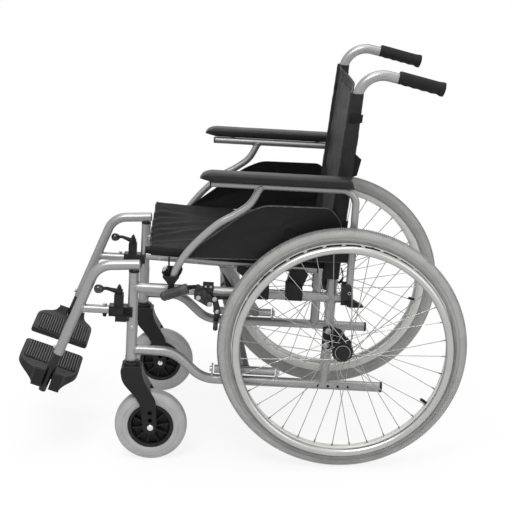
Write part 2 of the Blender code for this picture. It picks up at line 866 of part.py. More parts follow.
def arm_u_at_pivot(foot_u, rail_u):
    """Where an arm's centre line crosses the chair's middle."""
    return foot_u + (rail_u - foot_u) * FOOT_X / (FOOT_X + RAIL_X)


def pivot_point():
    """The scissor's pivot, in the chair's middle, halfway between the two arms."""
    rise = (rail_w(ARM_A_RAIL_U) - FOOT_W) / (FOOT_X + RAIL_X)
    middle = (arm_u_at_pivot(ARM_A_FOOT_U, ARM_A_RAIL_U) + arm_u_at_pivot(ARM_B_FOOT_U, ARM_B_RAIL_U)) / 2
    return Vector((0, middle, FOOT_W + rise * FOOT_X))


def brace_pivot_bolt():
    front = arm_u_at_pivot(ARM_A_FOOT_U, ARM_A_RAIL_U)
    rear = arm_u_at_pivot(ARM_B_FOOT_U, ARM_B_RAIL_U)
    half = PIVOT_BOSS_HALF + RUNNING_GAP
    pivot = pivot_point()
    profile = [
        (front - half - PIVOT_HEAD, PIVOT_HEAD_R),
        (front - half, PIVOT_HEAD_R),
        (front - half, PIVOT_BOLT_R),
        (front + half, PIVOT_BOLT_R),
        (front + half, SPACER_R),
        (rear - half, SPACER_R),
        (rear - half, PIVOT_BOLT_R),
        (rear + half, PIVOT_BOLT_R),
        (rear + half, PIVOT_HEAD_R),
        (rear + half + PIVOT_HEAD, PIVOT_HEAD_R),
    ]
    return turned(profile, Vector((0, 0, pivot.z)), U_AXIS)


def rear_tyre():
    half = TYRE_WIDTH / 2
    height = WHEEL_RADIUS - TYRE_BEAD_R
    profile = [
        (-half * 0.62, TYRE_BEAD_R),
        (half * 0.62, TYRE_BEAD_R),
        (half, TYRE_BEAD_R + height * 0.52),
        (half * 0.66, WHEEL_RADIUS - 0.0034),
        (0, WHEEL_RADIUS),
        (-half * 0.66, WHEEL_RADIUS - 0.0034),
        (-half, TYRE_BEAD_R + height * 0.52),
    ]
    return turned(profile, wheel_centre(), X_AXIS, WHEEL_SIDES, closed=True)


def wheel_centre():
    return Vector((WHEEL_X, 0, WHEEL_RADIUS))


def spoke(side, number):
    """A spoke from a flange hole to the rim, tangent to the hub; every other one runs back."""
    hole_angle = 2 * math.pi * (number + side / 4) / (SPOKES / 2)
    leading = 1 if number % 2 else -1
    rim_angle = hole_angle + leading * SPOKE_SWEEP
    hole = Vector(
        (
            side * FLANGE_OFFSET + leading * SPOKE_STAGGER,
            SPOKE_HOLE_R * math.cos(hole_angle),
            SPOKE_HOLE_R * math.sin(hole_angle),
        )
    )
    rim_r = RIM_INNER_R + 0.003
    end = Vector((side * 0.003, rim_r * math.cos(rim_angle), rim_r * math.sin(rim_angle)))
    return rod(wheel_centre() + hole, wheel_centre() + end, SPOKE_R, SPOKE_SIDES)


def spoked_wheel():
    half = RIM_WIDTH / 2
    rim_profile = [
        (-half, RIM_R),
        (-half, RIM_R - 0.0085),
        (-half * 0.62, RIM_INNER_R),
        (half * 0.62, RIM_INNER_R),
        (half, RIM_R - 0.0085),
        (half, RIM_R),
    ]
    rim = turned(rim_profile, wheel_centre(), X_AXIS, WHEEL_SIDES, closed=True)
    inner = FLANGE_OFFSET - FLANGE_THICKNESS / 2
    outer = FLANGE_OFFSET + FLANGE_THICKNESS / 2
    hub_profile = [
        (-HUB_INNER_HALF, bore(AXLE_R, RUNNING_GAP)),
        (-HUB_INNER_HALF, FLANGE_R),
        (-inner, FLANGE_R),
        (-inner, HUB_BARREL_R),
        (inner, HUB_BARREL_R),
        (inner, FLANGE_R),
        (outer, FLANGE_R),
        (outer, HUB_BARREL_R),
        (HUB_HALF - 0.004, HUB_BARREL_R),
        (HUB_HALF - 0.004, bore(AXLE_R, RUNNING_GAP)),
    ]
    hub = turned(hub_profile, wheel_centre(), X_AXIS, TUBE_SIDES, closed=True)
    spokes = [spoke(side, number) for side in (-1, 1) for number in range(SPOKES // 2)]
    return worked(gathered([rim, hub]), [gathered(spokes)], "UNION")


def handrim():
    centre = wheel_centre() + X_AXIS * (HANDRIM_X - WHEEL_X)
    profile = []
    for number in range(HANDRIM_SIDES):
        angle = 2 * math.pi * number / HANDRIM_SIDES
        along = HANDRIM_TUBE_R * math.cos(angle)
        profile.append((along, HANDRIM_R + HANDRIM_TUBE_R * math.sin(angle)))
    ring = turned(profile, centre, X_AXIS, WHEEL_SIDES, closed=True)
    rim_side_x = WHEEL_X + RIM_WIDTH / 2 + 2 * GAP
    tabs = []
    for number in range(HANDRIM_SPACERS):
        angle = 2 * math.pi * (number + 0.25) / HANDRIM_SPACERS
        y = SPACER_RING_R * math.cos(angle)
        z = WHEEL_RADIUS + SPACER_RING_R * math.sin(angle)
        tabs.append(rod(Vector((rim_side_x, y, z)), Vector((HANDRIM_X - 0.003, y, z)), SPACER_TAB_R, 4))
    return worked(ring, [gathered(tabs)], "UNION")


def axle_button():
    head_start = AXLE_END_X + BUTTON_TRAVEL + GAP
    profile = [
        (AXLE_END_X - 0.010, BUTTON_STEM_R),
        (head_start, BUTTON_STEM_R),
        (head_start, BUTTON_HEAD_R),
        (head_start + BUTTON_HEAD * 0.6, BUTTON_HEAD_R),
        (head_start + BUTTON_HEAD, BUTTON_HEAD_R * 0.8),
    ]
    return turned(profile, Vector((0, 0, 0)), X_AXIS, SMALL_SIDES * 2)


def caster_centre():
    return Vector((SIDE_X, CASTER_Y, CASTER_R))


def fork_z(share):
    """Height of a point of the fork, as a share of the way from the caster's centre to the top."""
    return CASTER_R + share * FORK_REACH


def caster_fork():
    side = [
        (STEM_Y - 0.0210, FORK_TOP_Z),
        (STEM_Y - 0.0252, fork_z(0.861)),
        (STEM_Y - 0.0179, fork_z(0.734)),
        (STEM_Y + 0.0002, fork_z(0.583)),
        (STEM_Y + 0.0124, fork_z(0.475)),
        (STEM_Y + 0.0214, fork_z(0.324)),
        (CASTER_Y - 0.0191, CASTER_R),
        (CASTER_Y - 0.0115, CASTER_R - 0.0140),
        (CASTER_Y, CASTER_R - 0.0180),
        (CASTER_Y + 0.0105, CASTER_R - 0.0140),
        (CASTER_Y + 0.0157, CASTER_R),
        (CASTER_Y + 0.0155, fork_z(0.365)),
        (CASTER_Y + 0.0112, fork_z(0.495)),
        (CASTER_Y + 0.0006, fork_z(0.624)),
        (STEM_Y + 0.0326, fork_z(0.773)),
        (STEM_Y + 0.0267, fork_z(0.902)),
        (STEM_Y + 0.0225, FORK_TOP_Z),
    ]
    half = CASTER_WIDTH / 2 + 0.0025 + BLADE_THICKNESS
    front = [
        (-0.0215, FORK_TOP_Z + 0.01),
        (-0.0255, fork_z(0.927)),
        (-half, fork_z(0.748)),
        (-half, CASTER_R - 0.030),
        (half, CASTER_R - 0.030),
        (half, fork_z(0.748)),
        (0.0255, fork_z(0.927)),
        (0.0215, FORK_TOP_Z + 0.01),
    ]
    profile = slab(side, SIDE_X - half - 0.01, SIDE_X + half + 0.01)
    faces = prism(front, Vector((SIDE_X, STEM_Y - 0.08, 0)), X_AXIS, W_AXIS, 0.20 * U_AXIS)
    crown = common(profile, faces)
    centre = caster_centre()
    arch_half = CASTER_WIDTH / 2 + 0.0025
    arch = turned([(-arch_half, FORK_ARCH_R), (arch_half, FORK_ARCH_R)], centre, X_AXIS, 28)
    holes = []
    for z in FORK_HOLE_ZS:
        middle = Vector((SIDE_X, CASTER_Y, z))
        holes.append(rod(middle - 0.04 * X_AXIS, middle + 0.04 * X_AXIS, FORK_HOLE_R, SMALL_SIDES))
    fork = cut(crown, arch, *holes)
    ring = turned(
        [
            (FORK_TOP_Z - 0.003, FORK_RING_R - 0.0025),
            (FORK_TOP_Z + 0.002, FORK_RING_R),
            (FORK_RING_TOP_Z - 0.002, FORK_RING_R),
            (FORK_RING_TOP_Z, FORK_RING_R - 0.003),
            (FORK_RING_TOP_Z, STEM_R),
            (STEM_TOP_Z, STEM_R),
        ],
        Vector((SIDE_X, STEM_Y, 0)),
        W_AXIS,
    )
    bolt = turned(
        [
            (-half - 0.0025, 0.007),
            (-half + 0.001, 0.007),
            (-half + 0.001, CASTER_BOLT_R),
            (half - 0.001, CASTER_BOLT_R),
            (half - 0.001, 0.007),
            (half + 0.0025, 0.007),
        ],
        centre,
        X_AXIS,
    )
    return joined(fork, ring, bolt)


def caster_hub():
    half = CASTER_WIDTH / 2
    bore_r = bore(CASTER_BOLT_R, RUNNING_GAP, CASTER_SIDES)
    profile = [
        (-half - 0.0018, bore_r),
        (-half - 0.0018, HUB_BOSS_R),
        (-0.005, HUB_BOSS_R + 0.0025),
        (-0.004, HUB_RECESS_R - 0.0025),
        (-half + 0.004, HUB_RECESS_R),
        (-half + 0.004, CASTER_RIM_R),
        (half - 0.004, CASTER_RIM_R),
        (half - 0.004, HUB_RECESS_R),
        (0.004, HUB_RECESS_R - 0.0025),
        (0.005, HUB_BOSS_R + 0.0025),
        (half + 0.0018, HUB_BOSS_R),
        (half + 0.0018, bore_r),
    ]
    hub = turned(profile, caster_centre(), X_AXIS, CASTER_SIDES, closed=True)
    return joined(hub, *[hub_rib(number, half - HUB_RIB_INSET) for number in range(HUB_RIBS)])


def hub_rib(number, half):
    """One of the ribs that stand on both faces of the hub's web, between its boss and its rim."""
    angle = 2 * math.pi * number / HUB_RIBS
    radial = Vector((0, math.cos(angle), math.sin(angle)))
    across = X_AXIS.cross(radial)
    start = HUB_BOSS_R - 0.0015
    end = HUB_RECESS_R + 0.0015
    outline = [(-half, start), (half, start), (half, end), (-half, end)]
    return prism(outline, caster_centre() - across * (HUB_RIB / 2), X_AXIS, radial, across * HUB_RIB)


def caster_tyre():
    half = CASTER_WIDTH / 2
    profile = [
        (-half * 0.80, CASTER_BEAD_R),
        (half * 0.80, CASTER_BEAD_R),
        (half, CASTER_BEAD_R + 0.016),
        (half * 0.66, CASTER_R - 0.0036),
        (0, CASTER_R),
        (-half * 0.66, CASTER_R - 0.0036),
        (-half, CASTER_BEAD_R + 0.016),
    ]
    return turned(profile, caster_centre(), X_AXIS, CASTER_SIDES, closed=True)


def hanger():
    leg_end = on_leg(LEG_LENGTH)
    corners = [
        (side_point(HANGER_REAR), 0),
        (side_point(HANGER_CORNER), HANGER_BEND_R),
        (leg_end, 0),
    ]
    bent = tube(rounded_path(corners), HANGER_R)
    pin = turned(
        [(PIN_BOTTOM, PIN_R - 0.002), (PIN_BOTTOM + 0.003, PIN_R), (HANGER_REAR[1] - 0.004, PIN_R)],
        Vector((SIDE_X, POST_U, 0)),
        W_AXIS,
    )
    down = (HANGER_CORNER[1] - BRACKET_TUBE_W) / math.cos(LEG_ANGLE)
    bracket = rod(on_leg(down), Vector((SIDE_X, CLAMP_FRONT + 0.012, BRACKET_TUBE_W)), BRACKET_TUBE_R)
    bumper = turned(
        [
            (BRACKET_TUBE_W - 0.0185, 0.002),
            (BRACKET_TUBE_W - 0.0105, 0.0042),
            (BRACKET_TUBE_W + 0.0120, 0.0042),
            (BRACKET_TUBE_W + 0.0155, 0.0025),
        ],
        Vector((SIDE_X, BUMPER_U, 0)),
        W_AXIS,
        SMALL_SIDES,
    )
    leg_bore = rod(leg_end - LEG_DOWN * LEG_BORE_DEPTH, leg_end + LEG_DOWN * 0.02, bore(FOOT_TUBE_OUTER_R))
    return cut(joined(bent, pin, bracket, bumper), leg_bore)


def latch_housing():
    clamp = block(
        (SIDE_X - CLAMP_HALF_WIDTH, CLAMP_FRONT, CLAMP_BOTTOM),
        (SIDE_X + CLAMP_HALF_WIDTH, POST_U + 0.0005, CLAMP_TOP),
    )
    pawl = block((SIDE_X - 0.0135, -0.557, 0.0250), (SIDE_X + 0.0135, -0.5285, CLAMP_BOTTOM + 0.003))
    tower = slab(
        rounded([(-0.561, 0.058), (-0.5385, 0.058), (-0.5385, LATCH_FLOOR), (-0.561, LATCH_FLOOR)], 0.0015),
        SIDE_X - 0.0125,
        SIDE_X + 0.0125,
    )
    lever_top = LATCH_FLOOR + LEVER_THICKNESS + 2 * GAP
    spindle = turned(
        [
            (LATCH_FLOOR - 0.004, LATCH_PIN_R),
            (lever_top + GAP, LATCH_PIN_R),
            (lever_top + GAP, 0.0058),
            (lever_top + 0.004, 0.0058),
            (lever_top + 0.0115, 0.0018),
        ],
        Vector((SIDE_X, LATCH_U, 0)),
        W_AXIS,
    )
    post_hollow = rod(
        Vector((SIDE_X, POST_U, 0.0)), Vector((SIDE_X, POST_U, 0.08)), bore(TUBE_R, RUNNING_GAP), TUBE_SIDES
    )
    tube_hollow = rod(
        Vector((SIDE_X, CLAMP_FRONT - 0.01, BRACKET_TUBE_W)),
        Vector((SIDE_X, CLAMP_FRONT + 0.0125, BRACKET_TUBE_W)),
        bore(BRACKET_TUBE_R),
    )
    return cut(joined(clamp, pawl, tower, spindle), post_hollow, tube_hollow)


def latch_lever():
    floor = LATCH_FLOOR + GAP
    top = floor + LEVER_THICKNESS
    hub = turned([(floor, 0.0088), (top, 0.0088)], Vector((SIDE_X, LATCH_U, 0)), W_AXIS)
    middle = (floor + top) / 2
    arm = tube(
        [
            Vector((SIDE_X, LATCH_U, middle)),
            Vector((SIDE_X + 0.003, LATCH_U - 0.016, middle + 0.001)),
            Vector((KNOB_X, KNOB_U + 0.004, KNOB_W)),
        ],
        [0.0050, 0.0040, 0.0044],
        SMALL_SIDES,
    )
    knob_centre = Vector((KNOB_X, KNOB_U, KNOB_W))
    knob = turned(
        [
            (-KNOB_R, KNOB_R * 0.25),
            (-KNOB_R * 0.75, KNOB_R * 0.75),
            (-KNOB_R * 0.2, KNOB_R),
            (KNOB_R * 0.45, KNOB_R * 0.9),
            (KNOB_R, KNOB_R * 0.35),
        ],
        knob_centre,
        U_AXIS,
        SMALL_SIDES + 2,
    )
    hole = turned(
        [(floor - 0.01, bore(LATCH_PIN_R)), (top + 0.01, bore(LATCH_PIN_R))],
        Vector((SIDE_X, LATCH_U, 0)),
        W_AXIS,
    )
    return cut(joined(hub, arm, knob), hole)


def plate_axes():
    """Where the footplate's top meets the leg's centre line, and its forward and upward axes."""
    origin = on_leg(LEG_LENGTH + PLATE_FROM_LEG_END)
    forward = Vector((0, -math.cos(PLATE_TILT), math.sin(PLATE_TILT)))
    upward = Vector((0, math.sin(PLATE_TILT), math.cos(PLATE_TILT)))
    return origin, forward, upward


def flip_pin_centre():
    origin, _, upward = plate_axes()
    return Vector((FLIP_X, origin.y, origin.z)) - upward * FLIP_DROP


def footrest_tube():
    leg_end = on_leg(LEG_LENGTH)
    inner = rod(
        leg_end - LEG_DOWN * (LEG_BORE_DEPTH - 0.002), leg_end + LEG_DOWN * FOOT_TUBE_DROP, FOOT_TUBE_OUTER_R
    )
    _, forward, upward = plate_axes()
    centre = flip_pin_centre()
    knuckle_rear = centre + forward * (SLOT_REAR + RUNNING_GAP)
    knuckle_front = centre + forward * (SLOT_FRONT - RUNNING_GAP)
    knuckle = rod(knuckle_rear, knuckle_front, KNUCKLE_R)
    web = prism(
        [(0, -KNUCKLE_R * 0.8), (SIDE_X - FLIP_X, -KNUCKLE_R * 0.8), (SIDE_X - FLIP_X, 0.0040), (0, 0.0040)],
        centre + forward * -0.0060,
        X_AXIS,
        upward,
        forward * 0.0140,
    )
    pin = rod(centre - forward * 0.024, centre + forward * 0.026, FLIP_PIN_R, SMALL_SIDES)
    return joined(inner, knuckle, web, pin)


def footplate():
    origin, forward, upward = plate_axes()
    base = Vector((0, origin.y, origin.z))
    outline = [
        (PLATE_INNER_X, PLATE_REAR),
        (PLATE_TAPER_X, PLATE_REAR),
        (JAW_INNER_X - 0.0015, -0.058),
        (JAW_INNER_X + 0.0165, -JAW_REACH - 0.002),
        (PLATE_OUTER_X, -JAW_REACH),
        (PLATE_OUTER_X, JAW_REACH),
        (JAW_INNER_X + 0.0165, JAW_REACH + 0.002),
        (JAW_INNER_X - 0.0015, 0.068),
        (PLATE_TAPER_X, PLATE_FRONT),
        (PLATE_INNER_X, PLATE_FRONT),
    ]
    radii = [0.016, 0.020, 0.012, 0.006, 0.002, 0.002, 0.006, 0.012, 0.020, 0.016]
    plate = prism(
        rounded(outline, radii), base - upward * PLATE_THICKNESS, X_AXIS, forward, upward * PLATE_THICKNESS
    )
    jaw_outline = rounded(
        [
            (JAW_INNER_X, -PLATE_THICKNESS + 0.002),
            (JAW_INNER_X + 0.012, -JAW_DEPTH),
            (PLATE_OUTER_X, -JAW_DEPTH),
            (PLATE_OUTER_X, 0.0025),
            (JAW_INNER_X + 0.008, 0.0025),
            (JAW_INNER_X, -0.001),
        ],
        [0.001, 0.003, 0.0015, 0.0015, 0.002, 0.0005],
    )
    jaws = prism(jaw_outline, base - forward * JAW_REACH, X_AXIS, upward, forward * 2 * JAW_REACH)
    inner = PLATE_INNER_X + PLATE_WALL
    underside = prism(
        rounded(
            [
                (inner, PLATE_REAR + PLATE_WALL),
                (PLATE_TAPER_X, PLATE_REAR + PLATE_WALL),
                (JAW_INNER_X - 0.006, -0.048),
                (JAW_INNER_X - 0.006, 0.056),
                (PLATE_TAPER_X, PLATE_FRONT - PLATE_WALL),
                (inner, PLATE_FRONT - PLATE_WALL),
            ],
            0.008,
        ),
        base - upward * (PLATE_THICKNESS + 0.01),
        X_AXIS,
        forward,
        upward * (PLATE_THICKNESS + 0.01 - PLATE_SKIN),
    )
    slot = prism(
        [
            (FLIP_X - KNUCKLE_R - 0.003, SLOT_REAR),
            (PLATE_OUTER_X + 0.02, SLOT_REAR),
            (PLATE_OUTER_X + 0.02, SLOT_FRONT),
            (FLIP_X - KNUCKLE_R - 0.003, SLOT_FRONT),
        ],
        base - upward * (JAW_DEPTH + 0.01),
        X_AXIS,
        forward,
        upward * (JAW_DEPTH + 0.03),
    )
    centre = flip_pin_centre()
    pin_hole = rod(
        centre - forward * 0.025, centre + forward * 0.027, bore(FLIP_PIN_R, GAP, SMALL_SIDES), SMALL_SIDES
    )
    return cut(joined(plate, jaws, *tread_ribs(base, forward, upward)), underside, slot, pin_hole)


def tread_ribs(base, forward, upward):
    """The raised ribs of the plate's top, which run along the footplate inside its smooth border."""
    first = PLATE_REAR + TREAD_BORDER
    pitch = (PLATE_FRONT - PLATE_REAR - 2 * TREAD_BORDER) / (TREAD_RIBS - 1)
    ribs = []
    for number in range(TREAD_RIBS):
        middle = first + number * pitch
        outline = [
            (middle - TREAD_RIB / 2, -TREAD_RISE),
            (middle + TREAD_RIB / 2, -TREAD_RISE),
            (middle + TREAD_RIB / 4, TREAD_RISE),
            (middle - TREAD_RIB / 4, TREAD_RISE),
        ]
        start = base + (PLATE_INNER_X + TREAD_BORDER) * X_AXIS
        length = PLATE_TAPER_X - PLATE_INNER_X - 2 * TREAD_BORDER
        ribs.append(prism(outline, start, forward, upward, length * X_AXIS))
    return ribs


def armrest_frame():
    x = ARMREST_X
    hoop = rounded_path(
        [
            (Vector((x, ARMREST_FRONT_U, ARMREST_TOP_W)), 0),
            (Vector((x, ARMREST_REAR_U, ARMREST_TOP_W)), ARMREST_BEND_R),
            (Vector((x, ARMREST_REAR_U, HINGE_W - LEG_BELOW_HINGE)), 0),
        ]
    )
    strut = smooth_path([side_point(point, x) for point in STRUT_POINTS], 1)
    welded = joined(tube(hoop, ARMREST_TUBE_R), tube(strut, ARMREST_TUBE_R))
    pin_hole = rod(
        Vector((x - 0.02, ARMREST_REAR_U, HINGE_W)),
        Vector((x + 0.02, ARMREST_REAR_U, HINGE_W)),
        bore(HINGE_PIN_R, RUNNING_GAP, SMALL_SIDES),
        SMALL_SIDES,
    )
    return cut(welded, pin_hole)


def armrest_pad():
    bottom = ARMREST_TOP_W + ARMREST_TUBE_R + GAP
    top = bottom + PAD_THICKNESS
    outline = rounded(
        [(PAD_INNER_X, bottom), (PAD_OUTER_X, bottom), (PAD_OUTER_X, top), (PAD_INNER_X, top)],
        [0.005, 0.005, 0.009, 0.009],
    )
    plan = rounded(
        [
            (PAD_INNER_X, PAD_FRONT),
            (PAD_OUTER_X, PAD_FRONT),
            (PAD_OUTER_X, PAD_REAR),
            (PAD_INNER_X, PAD_REAR),
        ],
        0.014,
    )
    length = PAD_REAR - PAD_FRONT
    bar = prism(outline, Vector((0, PAD_FRONT, 0)), X_AXIS, W_AXIS, length * U_AXIS)
    return common(bar, prism(plan, Vector((0, 0, bottom - 0.01)), X_AXIS, U_AXIS, 0.05 * W_AXIS))


def side_guard():
    outline = [
        (-0.205, 0.339),
        (-0.254, 0.316),
        (-0.405, 0.197),
        (0.020, 0.209),
        (0.020, 0.245),
        (-0.015, 0.260),
        (-0.023, 0.297),
        (-0.063, 0.342),
    ]
    radii = [0.020, 0.060, 0.004, 0.006, 0.008, 0.014, 0.030, 0.020]
    return slab(rounded(outline, radii), GUARD_INNER_X, GUARD_INNER_X + GUARD_THICKNESS)


def armrest_hinge():
    leg_half = ARMREST_TUBE_R + RUNNING_GAP
    inner_face = ARMREST_X - leg_half
    outer_face = ARMREST_X + leg_half
    floor_top = HINGE_W - LEG_BELOW_HINGE - 0.005
    cheek = rounded(
        [(-0.010, 0.118), (0.0175, 0.118), (0.0175, 0.146), (0.010, 0.158), (-0.010, 0.158)],
        [0.0015, 0.002, 0.005, 0.003, 0.003],
    )
    inner_cheek = slab(cheek, CHEEK_INNER_X, inner_face)
    outer_cheek = slab(cheek, outer_face, outer_face + 0.0024)
    mount = block((CHEEK_INNER_X, -0.008, UPPER_TUBE_W - 0.009), (CHEEK_INNER_X + 0.0045, 0.014, 0.121))
    floor = block((CHEEK_INNER_X + 0.001, -0.009, 0.1185), (outer_face + 0.001, 0.0120, floor_top))
    front_wall = block((CHEEK_INNER_X + 0.001, -0.0095, 0.1185), (outer_face + 0.001, -0.0035, 0.148))
    pin = rod(
        Vector((inner_face - 0.002, ARMREST_REAR_U, HINGE_W)),
        Vector((outer_face + 0.0035, ARMREST_REAR_U, HINGE_W)),
        HINGE_PIN_R,
        SMALL_SIDES,
    )
    release_pin = rod(
        Vector((CHEEK_INNER_X + 0.002, RELEASE_PIVOT[0], RELEASE_PIVOT[1])),
        Vector((RELEASE_OUTER_X + 0.0015, RELEASE_PIVOT[0], RELEASE_PIVOT[1])),
        RELEASE_PIN_R,
        SMALL_SIDES,
    )
    return joined(floor, inner_cheek, outer_cheek, mount, front_wall, pin, release_pin)


def armrest_release():
    outline = rounded(
        [
            (0.0045, 0.1005),
            (0.0180, 0.0985),
            (0.0459, 0.1000),
            (0.0459, 0.1035),
            (0.0215, 0.1165),
            (0.0060, 0.1135),
        ],
        [0.003, 0.003, 0.0012, 0.0012, 0.003, 0.003],
    )
    wedge = slab(outline, RELEASE_INNER_X, RELEASE_OUTER_X)
    hole = rod(
        Vector((RELEASE_INNER_X - 0.01, *RELEASE_PIVOT)),
        Vector((RELEASE_OUTER_X + 0.01, *RELEASE_PIVOT)),
        bore(RELEASE_PIN_R, GAP, SMALL_SIDES),
        SMALL_SIDES,
    )
    return cut(wedge, hole)


def front_socket():
    outline = rounded(
        [
            (-0.4442, 0.1787),
            (-0.4428, 0.1460),
            (-0.4229, 0.1294),
            (-0.4109, 0.1314),
            (-0.3949, 0.1538),
            (-0.3963, 0.1865),
            (-0.4325, 0.1869),
        ],
        0.002,
    )
    shell = slab(outline, CHEEK_INNER_X, SOCKET_OUTER_X)
    mount = block((CHEEK_INNER_X, -0.4285, UPPER_TUBE_W - 0.008), (CHEEK_INNER_X + 0.0048, -0.4060, 0.150))
    catch = rod(
        Vector((ARMREST_X, -0.4365, 0.182)), Vector((ARMREST_X, -0.4365, 0.1997)), 0.0015, SMALL_SIDES
    )
    inner = ARMREST_X - ARMREST_TUBE_R - 0.001
    outer = ARMREST_X + ARMREST_TUBE_R + 0.001
    well = slab(
        [(-0.4290, 0.1380), (-0.4065, 0.1380), (-0.3975, 0.1720), (-0.3930, 0.1950), (-0.4290, 0.1950)],
        inner,
        outer,
    )
    return cut(joined(shell, mount, catch), well)


def brake_mount():
    inner = SIDE_X - TUBE_R - 0.003
    clamp = slab(
        rounded(
            [
                (BRAKE_U - 0.021, 0.096),
                (BRAKE_U + 0.004, 0.096),
                (BRAKE_U + 0.004, 0.132),
                (BRAKE_U - 0.021, 0.132),
            ],
            0.002,
        ),
        inner,
        BRAKE_X,
    )
    plate = slab(
        rounded(
            [
                (BRAKE_U - 0.041, 0.138),
                (BRAKE_U - 0.029, 0.138),
                (BRAKE_U + 0.009, 0.1055),
                (BRAKE_U + 0.009, 0.084),
                (BRAKE_U - 0.008, 0.084),
                (BRAKE_U - 0.042, 0.105),
            ],
            0.003,
        ),
        BRAKE_X - 0.001,
        BRAKE_X + 0.003,
    )
    pins = []
    for (u, w), length in ((LEVER_PIVOT, 0.0085), (SHOE_PIVOT, 0.0130)):
        pins.append(
            turned(
                [
                    (BRAKE_X + 0.001, BRAKE_PIN_R),
                    (BRAKE_X + length, BRAKE_PIN_R),
                    (BRAKE_X + length, BRAKE_HEAD_R),
                    (BRAKE_X + length + 0.003, BRAKE_HEAD_R),
                ],
                Vector((0, u, w)),
                X_AXIS,
                SMALL_SIDES,
            )
        )
    hollow = rod(
        Vector((SIDE_X, BRAKE_U - 0.04, UPPER_TUBE_W)),
        Vector((SIDE_X, BRAKE_U + 0.02, UPPER_TUBE_W)),
        UPPER_TUBE_R + 2 * GAP,
    )
    below = block(
        (SIDE_X - TUBE_R - 2 * GAP, BRAKE_U - 0.04, UPPER_TUBE_W - 0.03),
        (SIDE_X + TUBE_R + 2 * GAP, BRAKE_U + 0.02, UPPER_TUBE_W),
    )
    return joined(cut(clamp, hollow, below), plate, *pins)


def brake_lever():
    inner = BRAKE_X + 0.0034
    outer = inner + 0.0042
    plate = slab(
        rounded(
            [
                (BRAKE_U - 0.032, 0.118),
                (BRAKE_U - 0.020, 0.119),
                (BRAKE_U - 0.020, 0.131),
                (BRAKE_U - 0.032, 0.156),
                (BRAKE_U - 0.046, 0.156),
                (BRAKE_U - 0.046, 0.144),
            ],
            [0.004, 0.004, 0.004, 0.003, 0.003, 0.003],
        ),
        inner,
        outer,
    )
    grip_rear = side_point(BRAKE_GRIP_REAR, BRAKE_GRIP_X)
    grip_front = side_point(BRAKE_GRIP_FRONT, BRAKE_GRIP_X)
    along = (grip_front - grip_rear).normalized()
    stalk = tube(
        [
            Vector((outer - 0.002, BRAKE_U - 0.0390, 0.1495)),
            Vector((outer + 0.010, BRAKE_U - 0.0415, 0.1500)),
            Vector((BRAKE_GRIP_X - 0.004, BRAKE_U - 0.0500, 0.1475)),
            grip_rear + along * 0.006,
        ],
        0.0042,
        SMALL_SIDES,
        W_AXIS,
    )
    length = (grip_front - grip_rear).length
    grip = turned(
        [
            (0, BRAKE_GRIP_R * 0.8),
            (0.003, BRAKE_GRIP_R),
            (length - 0.004, BRAKE_GRIP_R),
            (length, BRAKE_GRIP_R * 0.7),
        ],
        grip_rear,
        along,
    )
    hole = rod(
        Vector((inner - 0.01, *LEVER_PIVOT)),
        Vector((outer + 0.01, *LEVER_PIVOT)),
        bore(BRAKE_PIN_R, GAP, SMALL_SIDES),
        SMALL_SIDES,
    )
    return cut(joined(plate, stalk, grip), hole)


def brake_shoe():
    inner = BRAKE_X + 0.0082
    outer = inner + 0.0042
    bar_u, bar_w = SHOE_BAR
    arm = slab(
        rounded(
            [
                (SHOE_PIVOT[0] - 0.006, SHOE_PIVOT[1] - 0.002),
                (SHOE_PIVOT[0] - 0.004, SHOE_PIVOT[1] + 0.007),
                (SHOE_PIVOT[0] + 0.006, SHOE_PIVOT[1] + 0.006),
                (SHOE_PIVOT[0] + 0.009, SHOE_PIVOT[1] - 0.003),
                (bar_u + 0.0062, bar_w),
                (bar_u, bar_w - 0.0065),
                (bar_u - 0.0062, bar_w),
            ],
            0.002,
        ),
        inner,
        outer,
    )
    bar = rod(
        Vector((inner, bar_u, bar_w)), Vector((WHEEL_X + TYRE_WIDTH / 2 - 0.001, bar_u, bar_w)), SHOE_BAR_R
    )
    hole = rod(
        Vector((inner - 0.01, *SHOE_PIVOT)),
        Vector((outer + 0.01, *SHOE_PIVOT)),
        bore(BRAKE_PIN_R, GAP, SMALL_SIDES),
        SMALL_SIDES,
    )
    return cut(joined(arm, bar), hole)


def seat_sling():
    """A sheet over both rails that sags between them."""
    stations = [SEAT_FRONT, RAIL_MIDDLE[0], SEAT_REAR]
    inner = RAIL_X - RAIL_R
    columns = [-SEAT_HALF, *(inner * share / 3 for share in range(-3, 4)), SEAT_HALF]
    bm = bmesh.new()
    rings = []
    for u in stations:
        bottom = rail_w(u) + RAIL_R * math.cos(math.pi / TUBE_SIDES) + 2 * GAP
        low = []
        high = []
        for x in columns:
            dip = SEAT_SAG * max(0.0, 1 - (x / inner) ** 2)
            low.append(bm.verts.new((x, u, bottom - dip)))
            high.append(bm.verts.new((x, u, bottom - dip + SEAT_THICKNESS)))
        rings.append(low + high[::-1])
    for first, second in zip(rings, rings[1:]):
        bridge(bm, first, second)
    bm.faces.new(rings[0])
    bm.faces.new(rings[-1])
    return finished(bm)


